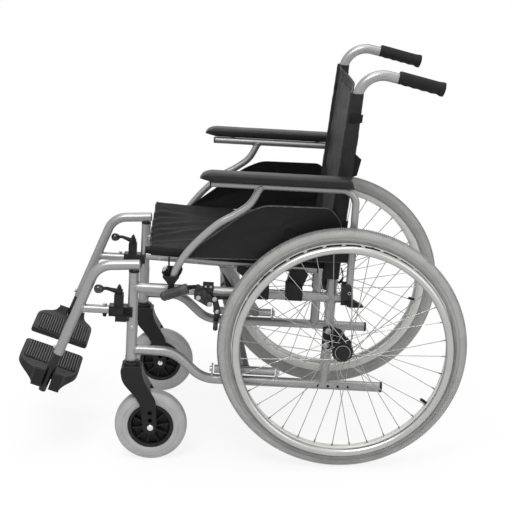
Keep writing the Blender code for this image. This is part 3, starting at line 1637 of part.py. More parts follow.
def back_sling():
    """A panel between two sleeves that slip over the canes."""
    low = cane_point(SLEEVE_BOTTOM)
    high = cane_point(SLEEVE_TOP)
    along = (high - low).normalized()
    length = (high - low).length
    forward = Vector((0, -along.z, along.y))
    columns = 7
    half = SIDE_X - 0.5 * TUBE_R
    outline = []
    for number in range(columns):
        share = 2 * number / (columns - 1) - 1
        outline.append((share * half, -BACK_SAG * (1 - share * share) - BACK_THICKNESS / 2))
    for number in reversed(range(columns)):
        share = 2 * number / (columns - 1) - 1
        outline.append((share * half, -BACK_SAG * (1 - share * share) + BACK_THICKNESS / 2))
    middle = Vector((0, low.y, low.z))
    panel = prism(outline, middle + along * 0.003, X_AXIS, forward, along * (length - 0.006))
    sleeves = []
    hollows = []
    for sense in (-1, 1):
        centre = Vector((sense * SIDE_X, low.y, low.z))
        sleeves.append(turned([(0, SLEEVE_R), (length, SLEEVE_R)], centre, along))
        hollows.append(turned([(-0.02, TUBE_R + 2 * GAP), (length + 0.02, TUBE_R + 2 * GAP)], centre, along))
    return cut(joined(panel, *sleeves), *hollows)


def build():
    clear_scene()
    silver = paint("silver_grey_lacquer", (0.50, 0.50, 0.51), 0.35, 0.7)
    steel = paint("bright_steel", (0.62, 0.62, 0.62), 0.25, 1.0)
    black = paint("black_plastic", (0.018, 0.018, 0.019), 0.45)
    rubber = paint("grey_rubber", (0.36, 0.36, 0.37), 0.75)
    soft_grip = paint("black_soft_grip", (0.022, 0.022, 0.023), 0.7)
    nylon = paint("black_nylon", (0.015, 0.015, 0.017), 0.85)
    foam = paint("black_pad_foam", (0.020, 0.020, 0.021), 0.6)

    frames = Frames()
    frames.add("side_frame", side_frame(), silver)
    frames.add("post_cap", post_cap(), black)
    frames.add("push_grip", push_grip(), soft_grip)
    frames.add("axle_bracket", axle_bracket(), black)
    frames.add("front_saddle", front_saddle(), black)
    frames.add("rear_saddle", rear_saddle(), black)
    frames.add("brake_mount", brake_mount(), black)
    frames.add("armrest_hinge", armrest_hinge(), black)
    frames.add("front_socket", front_socket(), black)
    frames.left.add("back_sling", back_sling(), nylon)

    pivot = pivot_point()
    brace_a = Body("brace_a_body", (FOOT_X, ARM_A_FOOT_U, FOOT_W), frames.left)
    brace_a.add("cross_arm_a", brace_arm(1, ARM_A_FOOT_U, ARM_A_RAIL_U), silver)
    brace_a.add("brace_pivot_bolt", brace_pivot_bolt(), steel)
    brace_b = Body("brace_b_body", pivot, brace_a)
    brace_b.add("cross_arm_b", brace_arm(-1, ARM_B_FOOT_U, ARM_B_RAIL_U), silver)
    seat = Body("seat_body", (RAIL_X, RAIL_MIDDLE[0], RAIL_MIDDLE[1]), brace_b)
    seat.add("seat_sling", seat_sling(), nylon)

    wheels = Pair("wheel", wheel_centre(), frames, is_plumb=True)
    wheels.add("tyre", rear_tyre(), rubber)
    wheels.add("spoked_wheel", spoked_wheel(), steel)
    wheels.add("handrim", handrim(), steel)
    buttons = Pair("axle_button", (AXLE_END_X, 0, 0), frames)
    buttons.add("axle_button", axle_button(), black)

    casters = Pair("caster", (SIDE_X, STEM_Y, FORK_TOP_Z), frames, is_plumb=True)
    casters.add("caster_fork", caster_fork(), black)
    caster_wheels = Pair("caster_wheel", caster_centre(), casters, is_plumb=True)
    caster_wheels.add("caster_hub", caster_hub(), black)
    caster_wheels.add("caster_tyre", caster_tyre(), rubber)

    legrests = Pair("legrest", (SIDE_X, POST_U, POST_TOP), frames)
    legrests.add("hanger", hanger(), silver)
    legrests.add("latch_housing", latch_housing(), black)
    legrests.add("footrest_tube", footrest_tube(), black)
    latches = Pair("latch", (SIDE_X, LATCH_U, LATCH_FLOOR), legrests)
    latches.add("latch_lever", latch_lever(), black)
    footplates = Pair("footplate", flip_pin_centre(), legrests)
    footplates.add("footplate", footplate(), black)

    armrests = Pair("armrest", (ARMREST_X, ARMREST_REAR_U, HINGE_W), frames)
    armrests.add("armrest_frame", armrest_frame(), silver)
    armrests.add("armrest_pad", armrest_pad(), foam)
    armrests.add("side_guard", side_guard(), black)
    releases = Pair("release", (ARMREST_X, *RELEASE_PIVOT), frames)
    releases.add("armrest_release", armrest_release(), black)

    levers = Pair("brake_lever", (BRAKE_X, *LEVER_PIVOT), frames)
    levers.add("brake_lever", brake_lever(), black)
    shoes = Pair("brake_shoe", (BRAKE_X, *SHOE_PIVOT), frames)
    shoes.add("brake_shoe", brake_shoe(), black)


if __name__ == "__main__":
    build()
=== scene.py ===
"""Looks of a folding self-propelled wheelchair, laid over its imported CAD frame.

World axes are the CAD's: the chair faces -Y, the sitter's left is +X and the floor is Z = 0.
The side frames lean back about the rear axle, so most pieces are built leant, from (x, u, w):
x as in the world, u rearward and w upward along the leaning axes, both from the axle. Wheels
and casters are built plumb, from (x, y, z), y from the axle and z from the floor. Pieces of
the left side are modelled, and the right ones are their mirror images. Outlines, sections
and paths that mm reads are in millimetres, and every other length is in metres.
"""

from __future__ import annotations

import json
import logging
import math
from dataclasses import dataclass
from enum import Enum
from typing import Callable, Iterable, Optional, Sequence

import bmesh
import bpy
from mathutils import Matrix, Vector, noise

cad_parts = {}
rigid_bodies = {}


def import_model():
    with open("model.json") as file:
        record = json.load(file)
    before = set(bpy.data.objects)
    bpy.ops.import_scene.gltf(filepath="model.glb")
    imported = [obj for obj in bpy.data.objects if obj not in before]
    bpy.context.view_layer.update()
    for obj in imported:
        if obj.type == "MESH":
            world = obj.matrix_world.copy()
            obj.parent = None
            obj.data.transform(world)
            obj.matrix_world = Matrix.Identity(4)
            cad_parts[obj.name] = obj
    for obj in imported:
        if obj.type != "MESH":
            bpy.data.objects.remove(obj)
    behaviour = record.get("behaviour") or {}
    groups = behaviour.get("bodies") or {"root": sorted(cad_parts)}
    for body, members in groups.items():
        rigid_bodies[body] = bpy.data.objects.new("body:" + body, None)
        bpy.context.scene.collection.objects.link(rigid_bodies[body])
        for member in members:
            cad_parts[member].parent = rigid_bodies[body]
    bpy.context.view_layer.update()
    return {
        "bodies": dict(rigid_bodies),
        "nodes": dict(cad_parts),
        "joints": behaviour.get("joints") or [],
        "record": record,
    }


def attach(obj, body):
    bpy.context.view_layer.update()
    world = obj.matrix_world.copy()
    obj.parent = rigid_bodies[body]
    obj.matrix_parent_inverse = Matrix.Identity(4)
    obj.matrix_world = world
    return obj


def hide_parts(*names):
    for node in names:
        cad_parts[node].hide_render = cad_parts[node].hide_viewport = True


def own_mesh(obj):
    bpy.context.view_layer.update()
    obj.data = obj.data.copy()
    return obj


log = logging.getLogger("wheelchair")

X = Vector((1, 0, 0))
U = Vector((0, 1, 0))
W = Vector((0, 0, 1))

Point = tuple[float, float]
Colour = tuple[float, float, float]
Socket = bpy.types.NodeSocket


class Stance(Enum):
    """The axes that a form is built in."""

    LEANT = "leant"
    PLUMB = "plumb"


@dataclass(frozen=True)
class Plan:
    """Sizes that several sub-assemblies share, in metres, as in the CAD frame."""

    axle_y: float = 0.2516
    axle_z: float = 0.305
    tilt: float = math.radians(3.5)
    side_x: float = 0.236
    tube_r: float = 0.0125
    post_u: float = -0.515
    upper_w: float = 0.1120
    lower_w: float = -0.1157
    foot_w: float = -0.0888
    rail_x: float = 0.212
    rail_r: float = 0.011
    rail: tuple[Point, ...] = ((-0.489, 0.188), (-0.258, 0.179), (-0.069, 0.175))
    cane_foot: Point = (-0.031, 0.160)
    cane_corner: Point = (-0.001, 0.680)
    handle_end: Point = (0.1954, 0.6381)
    wheel_x: float = 0.2935
    armrest_x: float = 0.2645
    armrest_w: float = 0.389
    armrest_r: float = 0.009
    leg_corner: Point = (-0.6054, 0.1628)
    leg_angle: float = math.radians(21.2)
    leg_length: float = 0.249
    plate_tilt: float = math.radians(17)
    stem_y: float = -0.5175
    caster_y: float = -0.4735
    caster_r: float = 0.0905

    def matrix(self, stance: Stance) -> Matrix:
        """The world matrix of a stance's axes.

        Args:
            stance: The axes that a form was built in.

        Returns:
            The matrix that takes the form to the world.
        """
        if stance is Stance.PLUMB:
            return Matrix.Translation((0, self.axle_y, 0))
        return Matrix.Translation((0, self.axle_y, self.axle_z)) @ Matrix.Rotation(-self.tilt, 4, "X")

    def rail_w(self, u: float) -> float:
        """Height of the seat rails' centre line.

        Args:
            u: Place along the chair.

        Returns:
            The height w there.
        """
        front, rear = (self.rail[0], self.rail[1]) if u < self.rail[1][0] else (self.rail[1], self.rail[2])
        share = (u - front[0]) / (rear[0] - front[0])
        return front[1] + share * (rear[1] - front[1])

    def on_leg(self, distance: float) -> Vector:
        """A point on the hanger leg's centre line."""
        return Vector((self.side_x, *self.leg_corner)) + self.leg_down() * distance

    def leg_down(self) -> Vector:
        """The direction down the hanger leg."""
        return Vector((0, -math.sin(self.leg_angle), -math.cos(self.leg_angle)))

    def cane_point(self, w: float) -> Vector:
        """A point on the back cane's centre line.

        Args:
            w: Its height.

        Returns:
            The point, leant.
        """
        foot = Vector((self.side_x, *self.cane_foot))
        corner = Vector((self.side_x, *self.cane_corner))
        return foot.lerp(corner, (w - foot.z) / (corner.z - foot.z))


PLAN = Plan()


def side_point(point: Point, x: float = PLAN.side_x) -> Vector:
    """The side-view point (u, w) as a vector at x."""
    return Vector((x, point[0], point[1]))


def fillet_path(corners: Sequence[tuple[Vector, float]], step: float = math.radians(5)) -> list[Vector]:
    """Points along straight runs whose corners are arcs.

    Args:
        corners: Each corner with its fillet radius.
        step: Angle between the points of an arc.

    Returns:
        The path's points.
    """
    path = [corners[0][0].copy()]
    for index in range(1, len(corners) - 1):
        corner, radius = corners[index]
        if radius == 0:
            path.append(corner.copy())
            continue
        back = (corners[index - 1][0] - corner).normalized()
        onward = (corners[index + 1][0] - corner).normalized()
        half = back.angle(onward) / 2
        centre = corner + (back + onward).normalized() * (radius / math.sin(half))
        start = (corner + back * (radius / math.tan(half)) - centre).normalized()
        end = (corner + onward * (radius / math.tan(half)) - centre).normalized()
        steps = max(1, math.ceil((math.pi - 2 * half) / step))
        path += [centre + start.slerp(end, number / steps) * radius for number in range(steps + 1)]
    path.append(corners[-1][0].copy())
    return path


def curve_path(points: Sequence[Vector], steps: int = 8) -> list[Vector]:
    """Points of a smooth curve through the given ones.

    Args:
        points: What the curve passes through.
        steps: Pieces between two of them.

    Returns:
        The curve's points.
    """
    path = []
    for index in range(len(points) - 1):
        before = points[max(index - 1, 0)]
        start = points[index]
        end = points[index + 1]
        after = points[min(index + 2, len(points) - 1)]
        for number in range(steps):
            t = number / steps
            bend = (2 * before - 5 * start + 4 * end - after) * t * t
            swing = (3 * start - before - 3 * end + after) * t * t * t
            path.append(0.5 * (2 * start + (end - before) * t + bend + swing))
    path.append(points[-1].copy())
    return path


def round_outline(
    outline: Sequence[Point], radii: float | Sequence[float], step: float = math.radians(12)
) -> list[Point]:
    """A closed outline with its corners rounded.

    Args:
        outline: The corners.
        radii: One fillet radius, or one for each corner.
        step: Angle between the points of a corner.

    Returns:
        The rounded outline.
    """
    each = [radii] * len(outline) if isinstance(radii, float) else list(radii)
    points = [Vector((a, b, 0)) for a, b in outline]
    made: list[Point] = []
    for index, corner in enumerate(points):
        before = points[index - 1]
        after = points[(index + 1) % len(points)]
        arc = fillet_path([(before, 0), (corner, each[index]), (after, 0)], step)[1:-1]
        made += [(point.x, point.y) for point in arc]
    return made


def curve_outline(outline: Sequence[Point], steps: int = 4) -> list[Point]:
    """A closed smooth outline through the given points.

    Args:
        outline: The points.
        steps: Pieces between two of them.

    Returns:
        The smooth outline.
    """
    points = [Vector((a, b, 0)) for a, b in outline]
    ring = [points[-1], *points, points[0], points[1]]
    path = curve_path(ring, steps)
    return [(point.x, point.y) for point in path[steps : steps * (len(points) + 1)]]


def around(centre: Vector, side: Vector, normal: Vector, radius: float, sides: int) -> list[Vector]:
    """Points of a circle in the plane of two directions."""
    turn = 2 * math.pi / sides
    return [centre + radius * (math.cos(turn * n) * side + math.sin(turn * n) * normal) for n in range(sides)]


def circle(centre: Vector, axis: Vector, radius: float, sides: int) -> list[Vector]:
    """Points of a circle.

    Args:
        centre: Its middle.
        axis: What it goes round.
        radius: Its radius.
        sides: How many points.

    Returns:
        The points.
    """
    axis = axis.normalized()
    across = U if abs(axis.dot(X)) > 0.9 else X
    side = (across - axis * across.dot(axis)).normalized()
    return around(centre, side, axis.cross(side), radius, sides)


def mm(*numbers: float, each: int = 2) -> list[tuple[float, ...]]:
    """Points in metres from their coordinates in millimetres, written one after another.

    Args:
        numbers: The coordinates.
        each: How many of them make a point.

    Returns:
        The points.
    """
    metres = [round(number / 1000, 7) for number in numbers]
    return [tuple(metres[start : start + each]) for start in range(0, len(metres), each)]


def both_ways(half: Sequence[Point]) -> list[Point]:
    """An outline from its positive half, whose last point comes once where it is on the middle line."""
    back = half if half[-1][0] else half[:-1]
    return [(-a, b) for a, b in half] + [(a, b) for a, b in reversed(back)]


class Form:
    """A mesh under construction, in the axes of its stance."""

    def __init__(self, stance: Stance = Stance.LEANT) -> None:
        """Start an empty form in a stance's axes."""
        self.bm = bmesh.new()
        self.stance = stance

    def skin(self, rings: Sequence[Sequence[Vector]], loop: bool = False, caps: bool = True) -> Form:
        """Quads between rings of as many points each.

        Args:
            rings: The rings in order.
            loop: Whether the last ring joins the first.
            caps: Whether the open ends are filled.

        Returns:
            This form.
        """
        made = [[self.bm.verts.new(point) for point in ring] for ring in rings]
        count = len(made[0])
        pairs = list(zip(made, made[1:]))
        if loop:
            pairs.append((made[-1], made[0]))
        for first, second in pairs:
            for index in range(count):
                after = (index + 1) % count
                self.bm.faces.new((first[index], first[after], second[after], second[index]))
        if caps and not loop:
            self.bm.faces.new(made[0])
            self.bm.faces.new(made[-1])
        return self

    def tube(
        self,
        path: Sequence[Vector],
        radius: float | Sequence[float],
        sides: int = 24,
        loop: bool = False,
        across: Vector = X,
    ) -> Form:
        """A round bar along a path.

        Args:
            path: Points of the centre line.
            radius: One radius, or one for each point.
            sides: Points round the bar.
            loop: Whether the path is closed.
            across: A direction that the path never runs along.

        Returns:
            This form.
        """
        radii = [radius] * len(path) if isinstance(radius, float) else radius
        last = len(path) - 1
        rings = []
        for index, point in enumerate(path):
            before = path[index - 1] if loop else path[max(index - 1, 0)]
            after = path[(index + 1) % len(path)] if loop else path[min(index + 1, last)]
            tangent = (after - before).normalized()
            side = (across - tangent * across.dot(tangent)).normalized()
            rings.append(around(point, side, tangent.cross(side), radii[index], sides))
        return self.skin(rings, loop)

    def join(self, other: Form) -> Form:
        """Add another form's mesh to this one."""
        self.bm.from_mesh(raw_mesh(other))
        return self

    def lathe(
        self, profile: Sequence[Point], centre: Vector, axis: Vector, sides: int = 40, closed: bool = False
    ) -> Form:
        """A solid of revolution.

        Args:
            profile: Points (distance along the axis, radius).
            centre: Where the distances start.
            axis: The axis.
            sides: Points round it.
            closed: Whether the profile is a closed section.

        Returns:
            This form.
        """
        axis = axis.normalized()
        rings = [circle(centre + along * axis, axis, radius, sides) for along, radius in profile]
        return self.skin(rings, loop=closed)

    def rod(self, start: Vector, end: Vector, radius: float, sides: int = 24, ease: float = 0.0005) -> Form:
        """A straight round bar with eased ends.

        Args:
            start: The middle of one end.
            end: The middle of the other.
            radius: Its radius.
            sides: Points round it.
            ease: Size of the chamfer at each end.

        Returns:
            This form.
        """
        length = (end - start).length
        profile = [(0.0, radius - ease), (ease, radius), (length - ease, radius), (length, radius - ease)]
        return self.lathe(profile, start, end - start, sides)

    def prism(self, outline: Sequence[Point], origin: Vector, a: Vector, b: Vector, depth: Vector) -> Form:
        """An outline in the plane of two axes, given a depth."""
        near = [origin + first * a + second * b for first, second in outline]
        return self.skin([near, [point + depth for point in near]])

    def slab(self, outline: Sequence[Point], inner_x: float, outer_x: float) -> Form:
        """A side-view outline (u, w) between two x planes."""
        return self.prism(outline, Vector((inner_x, 0, 0)), U, W, (outer_x - inner_x) * X)

    def block(self, low: Sequence[float], high: Sequence[float]) -> Form:
        """A box between two corners."""
        outline = [(low[1], low[2]), (high[1], low[2]), (high[1], high[2]), (low[1], high[2])]
        return self.slab(outline, low[0], high[0])

    def hex_bolt(self, centre: Vector, axis: Vector, radius: float, height: float) -> Form:
        """A hexagon head with a chamfered top, on a washer.

        Args:
            centre: Where the washer lies.
            axis: The way the head points.
            radius: Corner radius of the hexagon.
            height: Height of head and washer.

        Returns:
            This form.
        """
        washer = height * 0.22
        self.lathe([(0, radius * 1.15), (washer * 0.8, radius * 1.15), (washer, radius * 1.08)], centre, axis, 24)
        profile = [(washer, radius), (height * 0.88, radius), (height, radius * 0.86)]
        return self.lathe(profile, centre, axis, 6)

    def socket_bolt(self, centre: Vector, axis: Vector, radius: float, height: float) -> Form:
        """A round head with a six-sided socket.

        Args:
            centre: Where the head starts.
            axis: The way it points.
            radius: Its radius.
            height: Its height.

        Returns:
            This form.
        """
        rim = [(0, radius), (height * 0.72, radius), (height, radius * 0.86), (height, radius * 0.60)]
        self.lathe([*rim, (height * 0.94, radius * 0.56), (0.0, radius * 0.5)], centre, axis, 24, closed=True)
        self.lathe([(0, radius * 0.62), (height * 0.35, radius * 0.62)], centre, axis, 6)
        return self

    def rivet(self, centre: Vector, axis: Vector, radius: float, height: float) -> Form:
        """A domed rivet head."""
        arc = [(height * math.sin(t), radius * math.cos(t)) for t in (0.0, 0.4, 0.8, 1.2, 1.45)]
        return self.lathe([(-height * 0.3, radius), *arc], centre, axis, 16)

    def weld(
        self,
        loop: Sequence[Vector],
        along: Vector,
        tube_point: Vector,
        tube_axis: Vector,
        tube_r: float,
        bead: float = 0.0021,
    ) -> Form:
        """A rippled weld bead where a bar meets a tube.

        Args:
            loop: The bar's outline, well outside the tube.
            along: The way the bar runs into the tube.
            tube_point: A point on the tube's centre line.
            tube_axis: The tube's direction.
            tube_r: The tube's radius.
            bead: The bead's radius.

        Returns:
            This form.
        """
        tube_axis = tube_axis.normalized()
        along = along.normalized()
        flat = along - tube_axis * along.dot(tube_axis)
        a = flat.dot(flat)
        path = []
        for point in loop:
            offset = point - tube_point
            offset -= tube_axis * offset.dot(tube_axis)
            b = offset.dot(flat)
            c = offset.dot(offset) - tube_r * tube_r
            reach = (-b - math.sqrt(max(b * b - a * c, 0.0))) / a
            path.append(point + along * reach)
        dense = []
        for index, point in enumerate(path):
            onward = path[(index + 1) % len(path)]
            steps = max(1, round((onward - point).length / 0.0006))
            dense += [point.lerp(onward, number / steps) for number in range(steps)]
        travelled = 0.0
        radii = []
        for index, point in enumerate(dense):
            radii.append(bead * (0.86 + 0.14 * abs(math.sin(math.pi * travelled / 0.0024))))
            travelled += (dense[(index + 1) % len(dense)] - point).length
        return self.tube(dense, radii, 8, loop=True, across=(along + tube_axis * 0.37 + X * 0.11).normalized())

    def weld_round(
        self, start: Vector, along: Vector, bar_r: float, tube_point: Vector, tube_axis: Vector, tube_r: float
    ) -> Form:
        """A weld bead where a round bar, from a point outside a tube, meets that tube."""
        return self.weld(circle(start, along, bar_r, 40), along, tube_point, tube_axis, tube_r)

    def mesh(self, name: str, mirrored: bool = False, sharp: float = 42.0) -> bpy.types.Mesh:
        """The form as a mesh in the world's place.

        Args:
            name: The mesh's name.
            mirrored: Whether it is turned into the right side's mirror image.
            sharp: Angle in degrees above which an edge stays sharp.

        Returns:
            The mesh.
        """
        bm = self.bm.copy()
        bmesh.ops.recalc_face_normals(bm, faces=bm.faces)
        bm.transform(PLAN.matrix(self.stance))
        if mirrored:
            bm.transform(Matrix.Scale(-1, 4, X))
            bmesh.ops.reverse_faces(bm, faces=bm.faces)
        mesh = bpy.data.meshes.new(name)
        bm.to_mesh(mesh)
        bm.free()
        mesh.shade_smooth()
        mesh.set_sharp_from_angle(angle=math.radians(sharp))
        return mesh


def link(name: str, data: bpy.types.ID) -> bpy.types.Object:
    """A new object in the scene that holds a mesh, lamp or camera.

    Args:
        name: The object's name.
        data: What it holds.

    Returns:
        The object.
    """
    thing = bpy.data.objects.new(name, data)
    bpy.context.scene.collection.objects.link(thing)
    return thing


def carve(base: Form, tools: Iterable[Form], operation: str = "DIFFERENCE") -> Form:
    """The Boolean of a form with others in turn.

    Args:
        base: What is worked on.
        tools: The forms that cut or join it.
        operation: DIFFERENCE, UNION or INTERSECT.

    Returns:
        A new form in the base's stance.
    """
    work = link("work", raw_mesh(base))
    helpers = [link("helper", raw_mesh(tool)) for tool in tools]
    for helper in helpers:
        step = work.modifiers.new("step", "BOOLEAN")
        step.operation = operation
        step.solver = "EXACT"
        step.object = helper
    return reshaped(base.stance, work, *helpers)


def reshaped(stance: Stance, work: bpy.types.Object, *helpers: bpy.types.Object) -> Form:
    """What an object's modifiers make of it, as a form, after which it and its helpers are removed.

    Args:
        stance: The axes that the object is in.
        work: The object.
        helpers: Others that its modifiers use.

    Returns:
        The form.
    """
    bpy.context.view_layer.update()
    result = bpy.data.meshes.new_from_object(work.evaluated_get(bpy.context.evaluated_depsgraph_get()))
    for thing in (work, *helpers):
        bpy.data.objects.remove(thing)
    made = Form(stance)
    made.bm.from_mesh(result)
    return made


def raw_mesh(form: Form) -> bpy.types.Mesh:
    """A form's mesh in its own axes, with its faces pointing out.

    Args:
        form: The form.

    Returns:
        The mesh.
    """
    bmesh.ops.recalc_face_normals(form.bm, faces=form.bm.faces)
    mesh = bpy.data.meshes.new("raw")
    form.bm.to_mesh(mesh)
    return mesh


def moulded(form: Form, voxel: float, rounds: int, keep: float) -> Form:
    """A form with every edge softened, as moulded plastic has them.

    Args:
        form: The sharp form, which may be several solids that touch.
        voxel: Size of the remesh, which sets how tight the edges are.
        rounds: How often the surface is smoothed.
        keep: Share of the faces that is kept.

    Returns:
        A new form in the same stance.
    """
    work = link("work", raw_mesh(form))
    remesh = work.modifiers.new("remesh", "REMESH")
    remesh.mode = "VOXEL"
    remesh.voxel_size = voxel
    ease = work.modifiers.new("ease", "SMOOTH")
    ease.factor = 0.5
    ease.iterations = rounds
    work.modifiers.new("thin", "DECIMATE").ratio = keep
    return reshaped(form.stance, work)


class Slot(Enum):
    """The record's material slots."""

    SILVER = "frame_silver"
    BRIGHT = "bright_metal"
    BOLT = "bolt_steel"
    PLASTIC = "black_plastic"
    FOOTPLATE = "footplate_plastic"
    TYRE = "tyre_rubber"
    GRIP = "grip_rubber"
    FOAM = "pad_foam"
    NYLON = "black_nylon"


class Tree:
    """Adds nodes to one node tree."""

    def __init__(self, tree: bpy.types.NodeTree) -> None:
        """Take hold of a node tree."""
        self.tree = tree

    @classmethod
    def cleared(cls, owner: bpy.types.Material | bpy.types.World) -> Tree:
        """The emptied tree of a material or of the world.

        Args:
            owner: The material or world whose tree it is.

        Returns:
            The emptied tree.
        """
        owner.use_nodes = True
        owner.node_tree.nodes.clear()
        return cls(owner.node_tree)

    def feed(self, node: bpy.types.Node, inputs: dict) -> bpy.types.Node:
        """Set a node's inputs.

        Args:
            node: The node.
            inputs: For each input's name or number, a value or the socket that feeds it.

        Returns:
            The node.
        """
        for key, value in inputs.items():
            if isinstance(value, Socket):
                self.tree.links.new(value, node.inputs[key])
            else:
                node.inputs[key].default_value = value
        return node

    def add(self, kind: str, inputs: Optional[dict] = None, **settings: object) -> bpy.types.Node:
        """Add a node.

        Args:
            kind: Its type, without the prefix ShaderNode.
            inputs: What feed takes.
            settings: The node's own properties.

        Returns:
            The node.
        """
        node = self.tree.nodes.new("ShaderNode" + kind)
        for name, value in settings.items():
            setattr(node, name, value)
        return self.feed(node, inputs or {})

    def effect(self, maker: Callable[[], bpy.types.NodeTree], inputs: dict[str, object]) -> bpy.types.NodeOutputs:
        """Add a shared effect, whose group is made at its first use, and give its outputs."""
        group = bpy.data.node_groups.get(maker.__name__) or maker()
        return self.add("Group", inputs, node_tree=group).outputs

    def math(self, operation: str, first: object, second: object = 0.0, clamp: bool = False) -> Socket:
        """The result of a Math node, from two values or sockets."""
        return self.add("Math", {0: first, 1: second}, operation=operation, use_clamp=clamp).outputs[0]

    def ramp(self, value: Socket, low: float, high: float, out: Point = (0.0, 1.0)) -> Socket:
        """A value mapped smoothly from the range low to high onto another range."""
        settings = {"Value": value, "From Min": low, "From Max": high, "To Min": out[0], "To Max": out[1]}
        return self.add("MapRange", settings, interpolation_type="SMOOTHSTEP").outputs["Result"]

    def mix(self, share: object, first: object, second: object, blend: str = "MIX") -> Socket:
        """Mix two colours.

        Args:
            share: How much of the second.
            first: A colour or its socket.
            second: Another.
            blend: The way they blend.

        Returns:
            The mixed colour's socket.
        """
        colours = [(*value, 1.0) if isinstance(value, tuple) else value for value in (first, second)]
        inputs = {0: share, 6: colours[0], 7: colours[1]}
        return self.add("Mix", inputs, data_type="RGBA", blend_type=blend).outputs[2]

    def bump(self, strength: object, distance: float, height: object, normal: object = None) -> Socket:
        """The normal of a height, which may lie over another normal."""
        inputs = {"Strength": strength, "Distance": distance, "Height": height}
        return self.add("Bump", {**inputs, "Normal": normal} if normal else inputs).outputs[0]

    def grey(self, level: Socket) -> Socket:
        """The grey of a level."""
        return self.add("CombineColor", {0: level, 1: level, 2: level}).outputs[0]

    def noise(self, vector: Socket, scale: float, detail: float = 3.0) -> Socket:
        """The value of a noise texture."""
        return self.add("TexNoise", {"Vector": vector, "Scale": scale, "Detail": detail}).outputs[0]


class Effect(Tree):
    """A shader node group under construction, which several finishes share."""

    def __init__(self, name: str, inputs: dict[str, Optional[float]], outputs: dict[str, str]) -> None:
        """Start a group.

        Args:
            name: The group's name.
            inputs: Each input's name, with a number as its default, or None for a vector.
            outputs: Each output's name with its socket type, without the prefix NodeSocket.
        """
        super().__init__(bpy.data.node_groups.new(name, "ShaderNodeTree"))
        interface = self.tree.interface
        for key, value in inputs.items():
            kind = "NodeSocketVector" if value is None else "NodeSocketFloat"
            socket = interface.new_socket(name=key, in_out="INPUT", socket_type=kind)
            if value is not None:
                socket.default_value = value
        for key, kind in outputs.items():
            interface.new_socket(name=key, in_out="OUTPUT", socket_type="NodeSocket" + kind)
        self.given = self.tree.nodes.new("NodeGroupInput").outputs

    def give(self, results: dict[str, Socket]) -> bpy.types.NodeTree:
        """Join the results to the group's outputs, and give the group."""
        self.feed(self.tree.nodes.new("NodeGroupOutput"), results)
        return self.tree

    def give_mask(
        self, strength: Socket, scale: float, detail: float, low: float, high: float
    ) -> bpy.types.NodeTree:
        """Give a strength as a mask, in patches and as strong as the Amount says.

        Args:
            strength: Where the effect is.
            scale: Scale of the patches.
            detail: Their detail.
            low: Noise below which there is none.
            high: Noise above which it is full.

        Returns:
            The group.
        """
        patch = self.ramp(self.noise(self.given["Vector"], scale, detail), low, high)
        uneven = self.math("MULTIPLY", strength, patch)
        return self.give({"Mask": self.math("MULTIPLY", uneven, self.given["Amount"], clamp=True)})

    def scaled(self, factor: str) -> Socket:
        """The group's vector times one of its other inputs."""
        inputs = {0: self.given["Vector"], "Scale": self.given[factor]}
        return self.add("VectorMath", inputs, operation="SCALE").outputs[0]


def fine_grain() -> bpy.types.NodeTree:
    """The fine, even grain of moulded and sprayed surfaces, as a value and a normal.

    Returns:
        The effect's node group.
    """
    inputs = {"Vector": None, "Scale": 900.0, "Strength": 0.2}
    group = Effect("fine_grain", inputs, {"Value": "Float", "Normal": "Vector"})
    place = group.scaled("Scale")
    fine = group.math("MULTIPLY", group.noise(place, 1.0, 2.0), 0.7)
    coarse = group.math("MULTIPLY", group.noise(place, 0.17, 2.0), 0.3)
    value = group.math("ADD", fine, coarse)
    return group.give({"Value": value, "Normal": group.bump(group.given["Strength"], 0.0003, value)})


def fine_scratches() -> bpy.types.NodeTree:
    """Sparse hairline scratches in several directions, as a mask.

    Returns:
        The effect's node group.
    """
    group = Effect("fine_scratches", {"Vector": None, "Amount": 0.5}, {"Mask": "Float"})
    total: object = 0.0
    for turn, stretch in ((0.35, 9.0), (1.30, 14.0), (2.40, 11.0)):
        inputs = {"Vector": group.given["Vector"], "Rotation": (turn, turn * 0.7, turn)}
        inputs["Scale"] = (stretch, 420.0, 420.0)
        line = group.noise(group.add("Mapping", inputs).outputs[0], 1.0, 0.0)
        total = group.math("MAXIMUM", total, group.ramp(line, 0.735, 0.775))
    return group.give_mask(total, 22.0, 3.0, 0.42, 0.62)


def edge_wear() -> bpy.types.NodeTree:
    """Handled, rubbed edges, as a mask.

    Returns:
        The effect's node group.
    """
    group = Effect("edge_wear", {"Vector": None, "Amount": 0.5}, {"Mask": "Float"})
    edge = group.ramp(group.add("NewGeometry").outputs["Pointiness"], 0.52, 0.60)
    return group.give_mask(edge, 140.0, 4.0, 0.38, 0.66)


def settled_dust() -> bpy.types.NodeTree:
    """Thin dust on what faces upward, uneven, as a mask.

    Returns:
        The effect's node group.
    """
    group = Effect("settled_dust", {"Vector": None, "Amount": 0.2}, {"Mask": "Float"})
    facing = group.add("SeparateXYZ", {0: group.add("NewGeometry").outputs["Normal"]}).outputs["Z"]
    return group.give_mask(group.ramp(facing, 0.25, 0.95, (0.15, 1.0)), 60.0, 5.0, 0.36, 0.74)


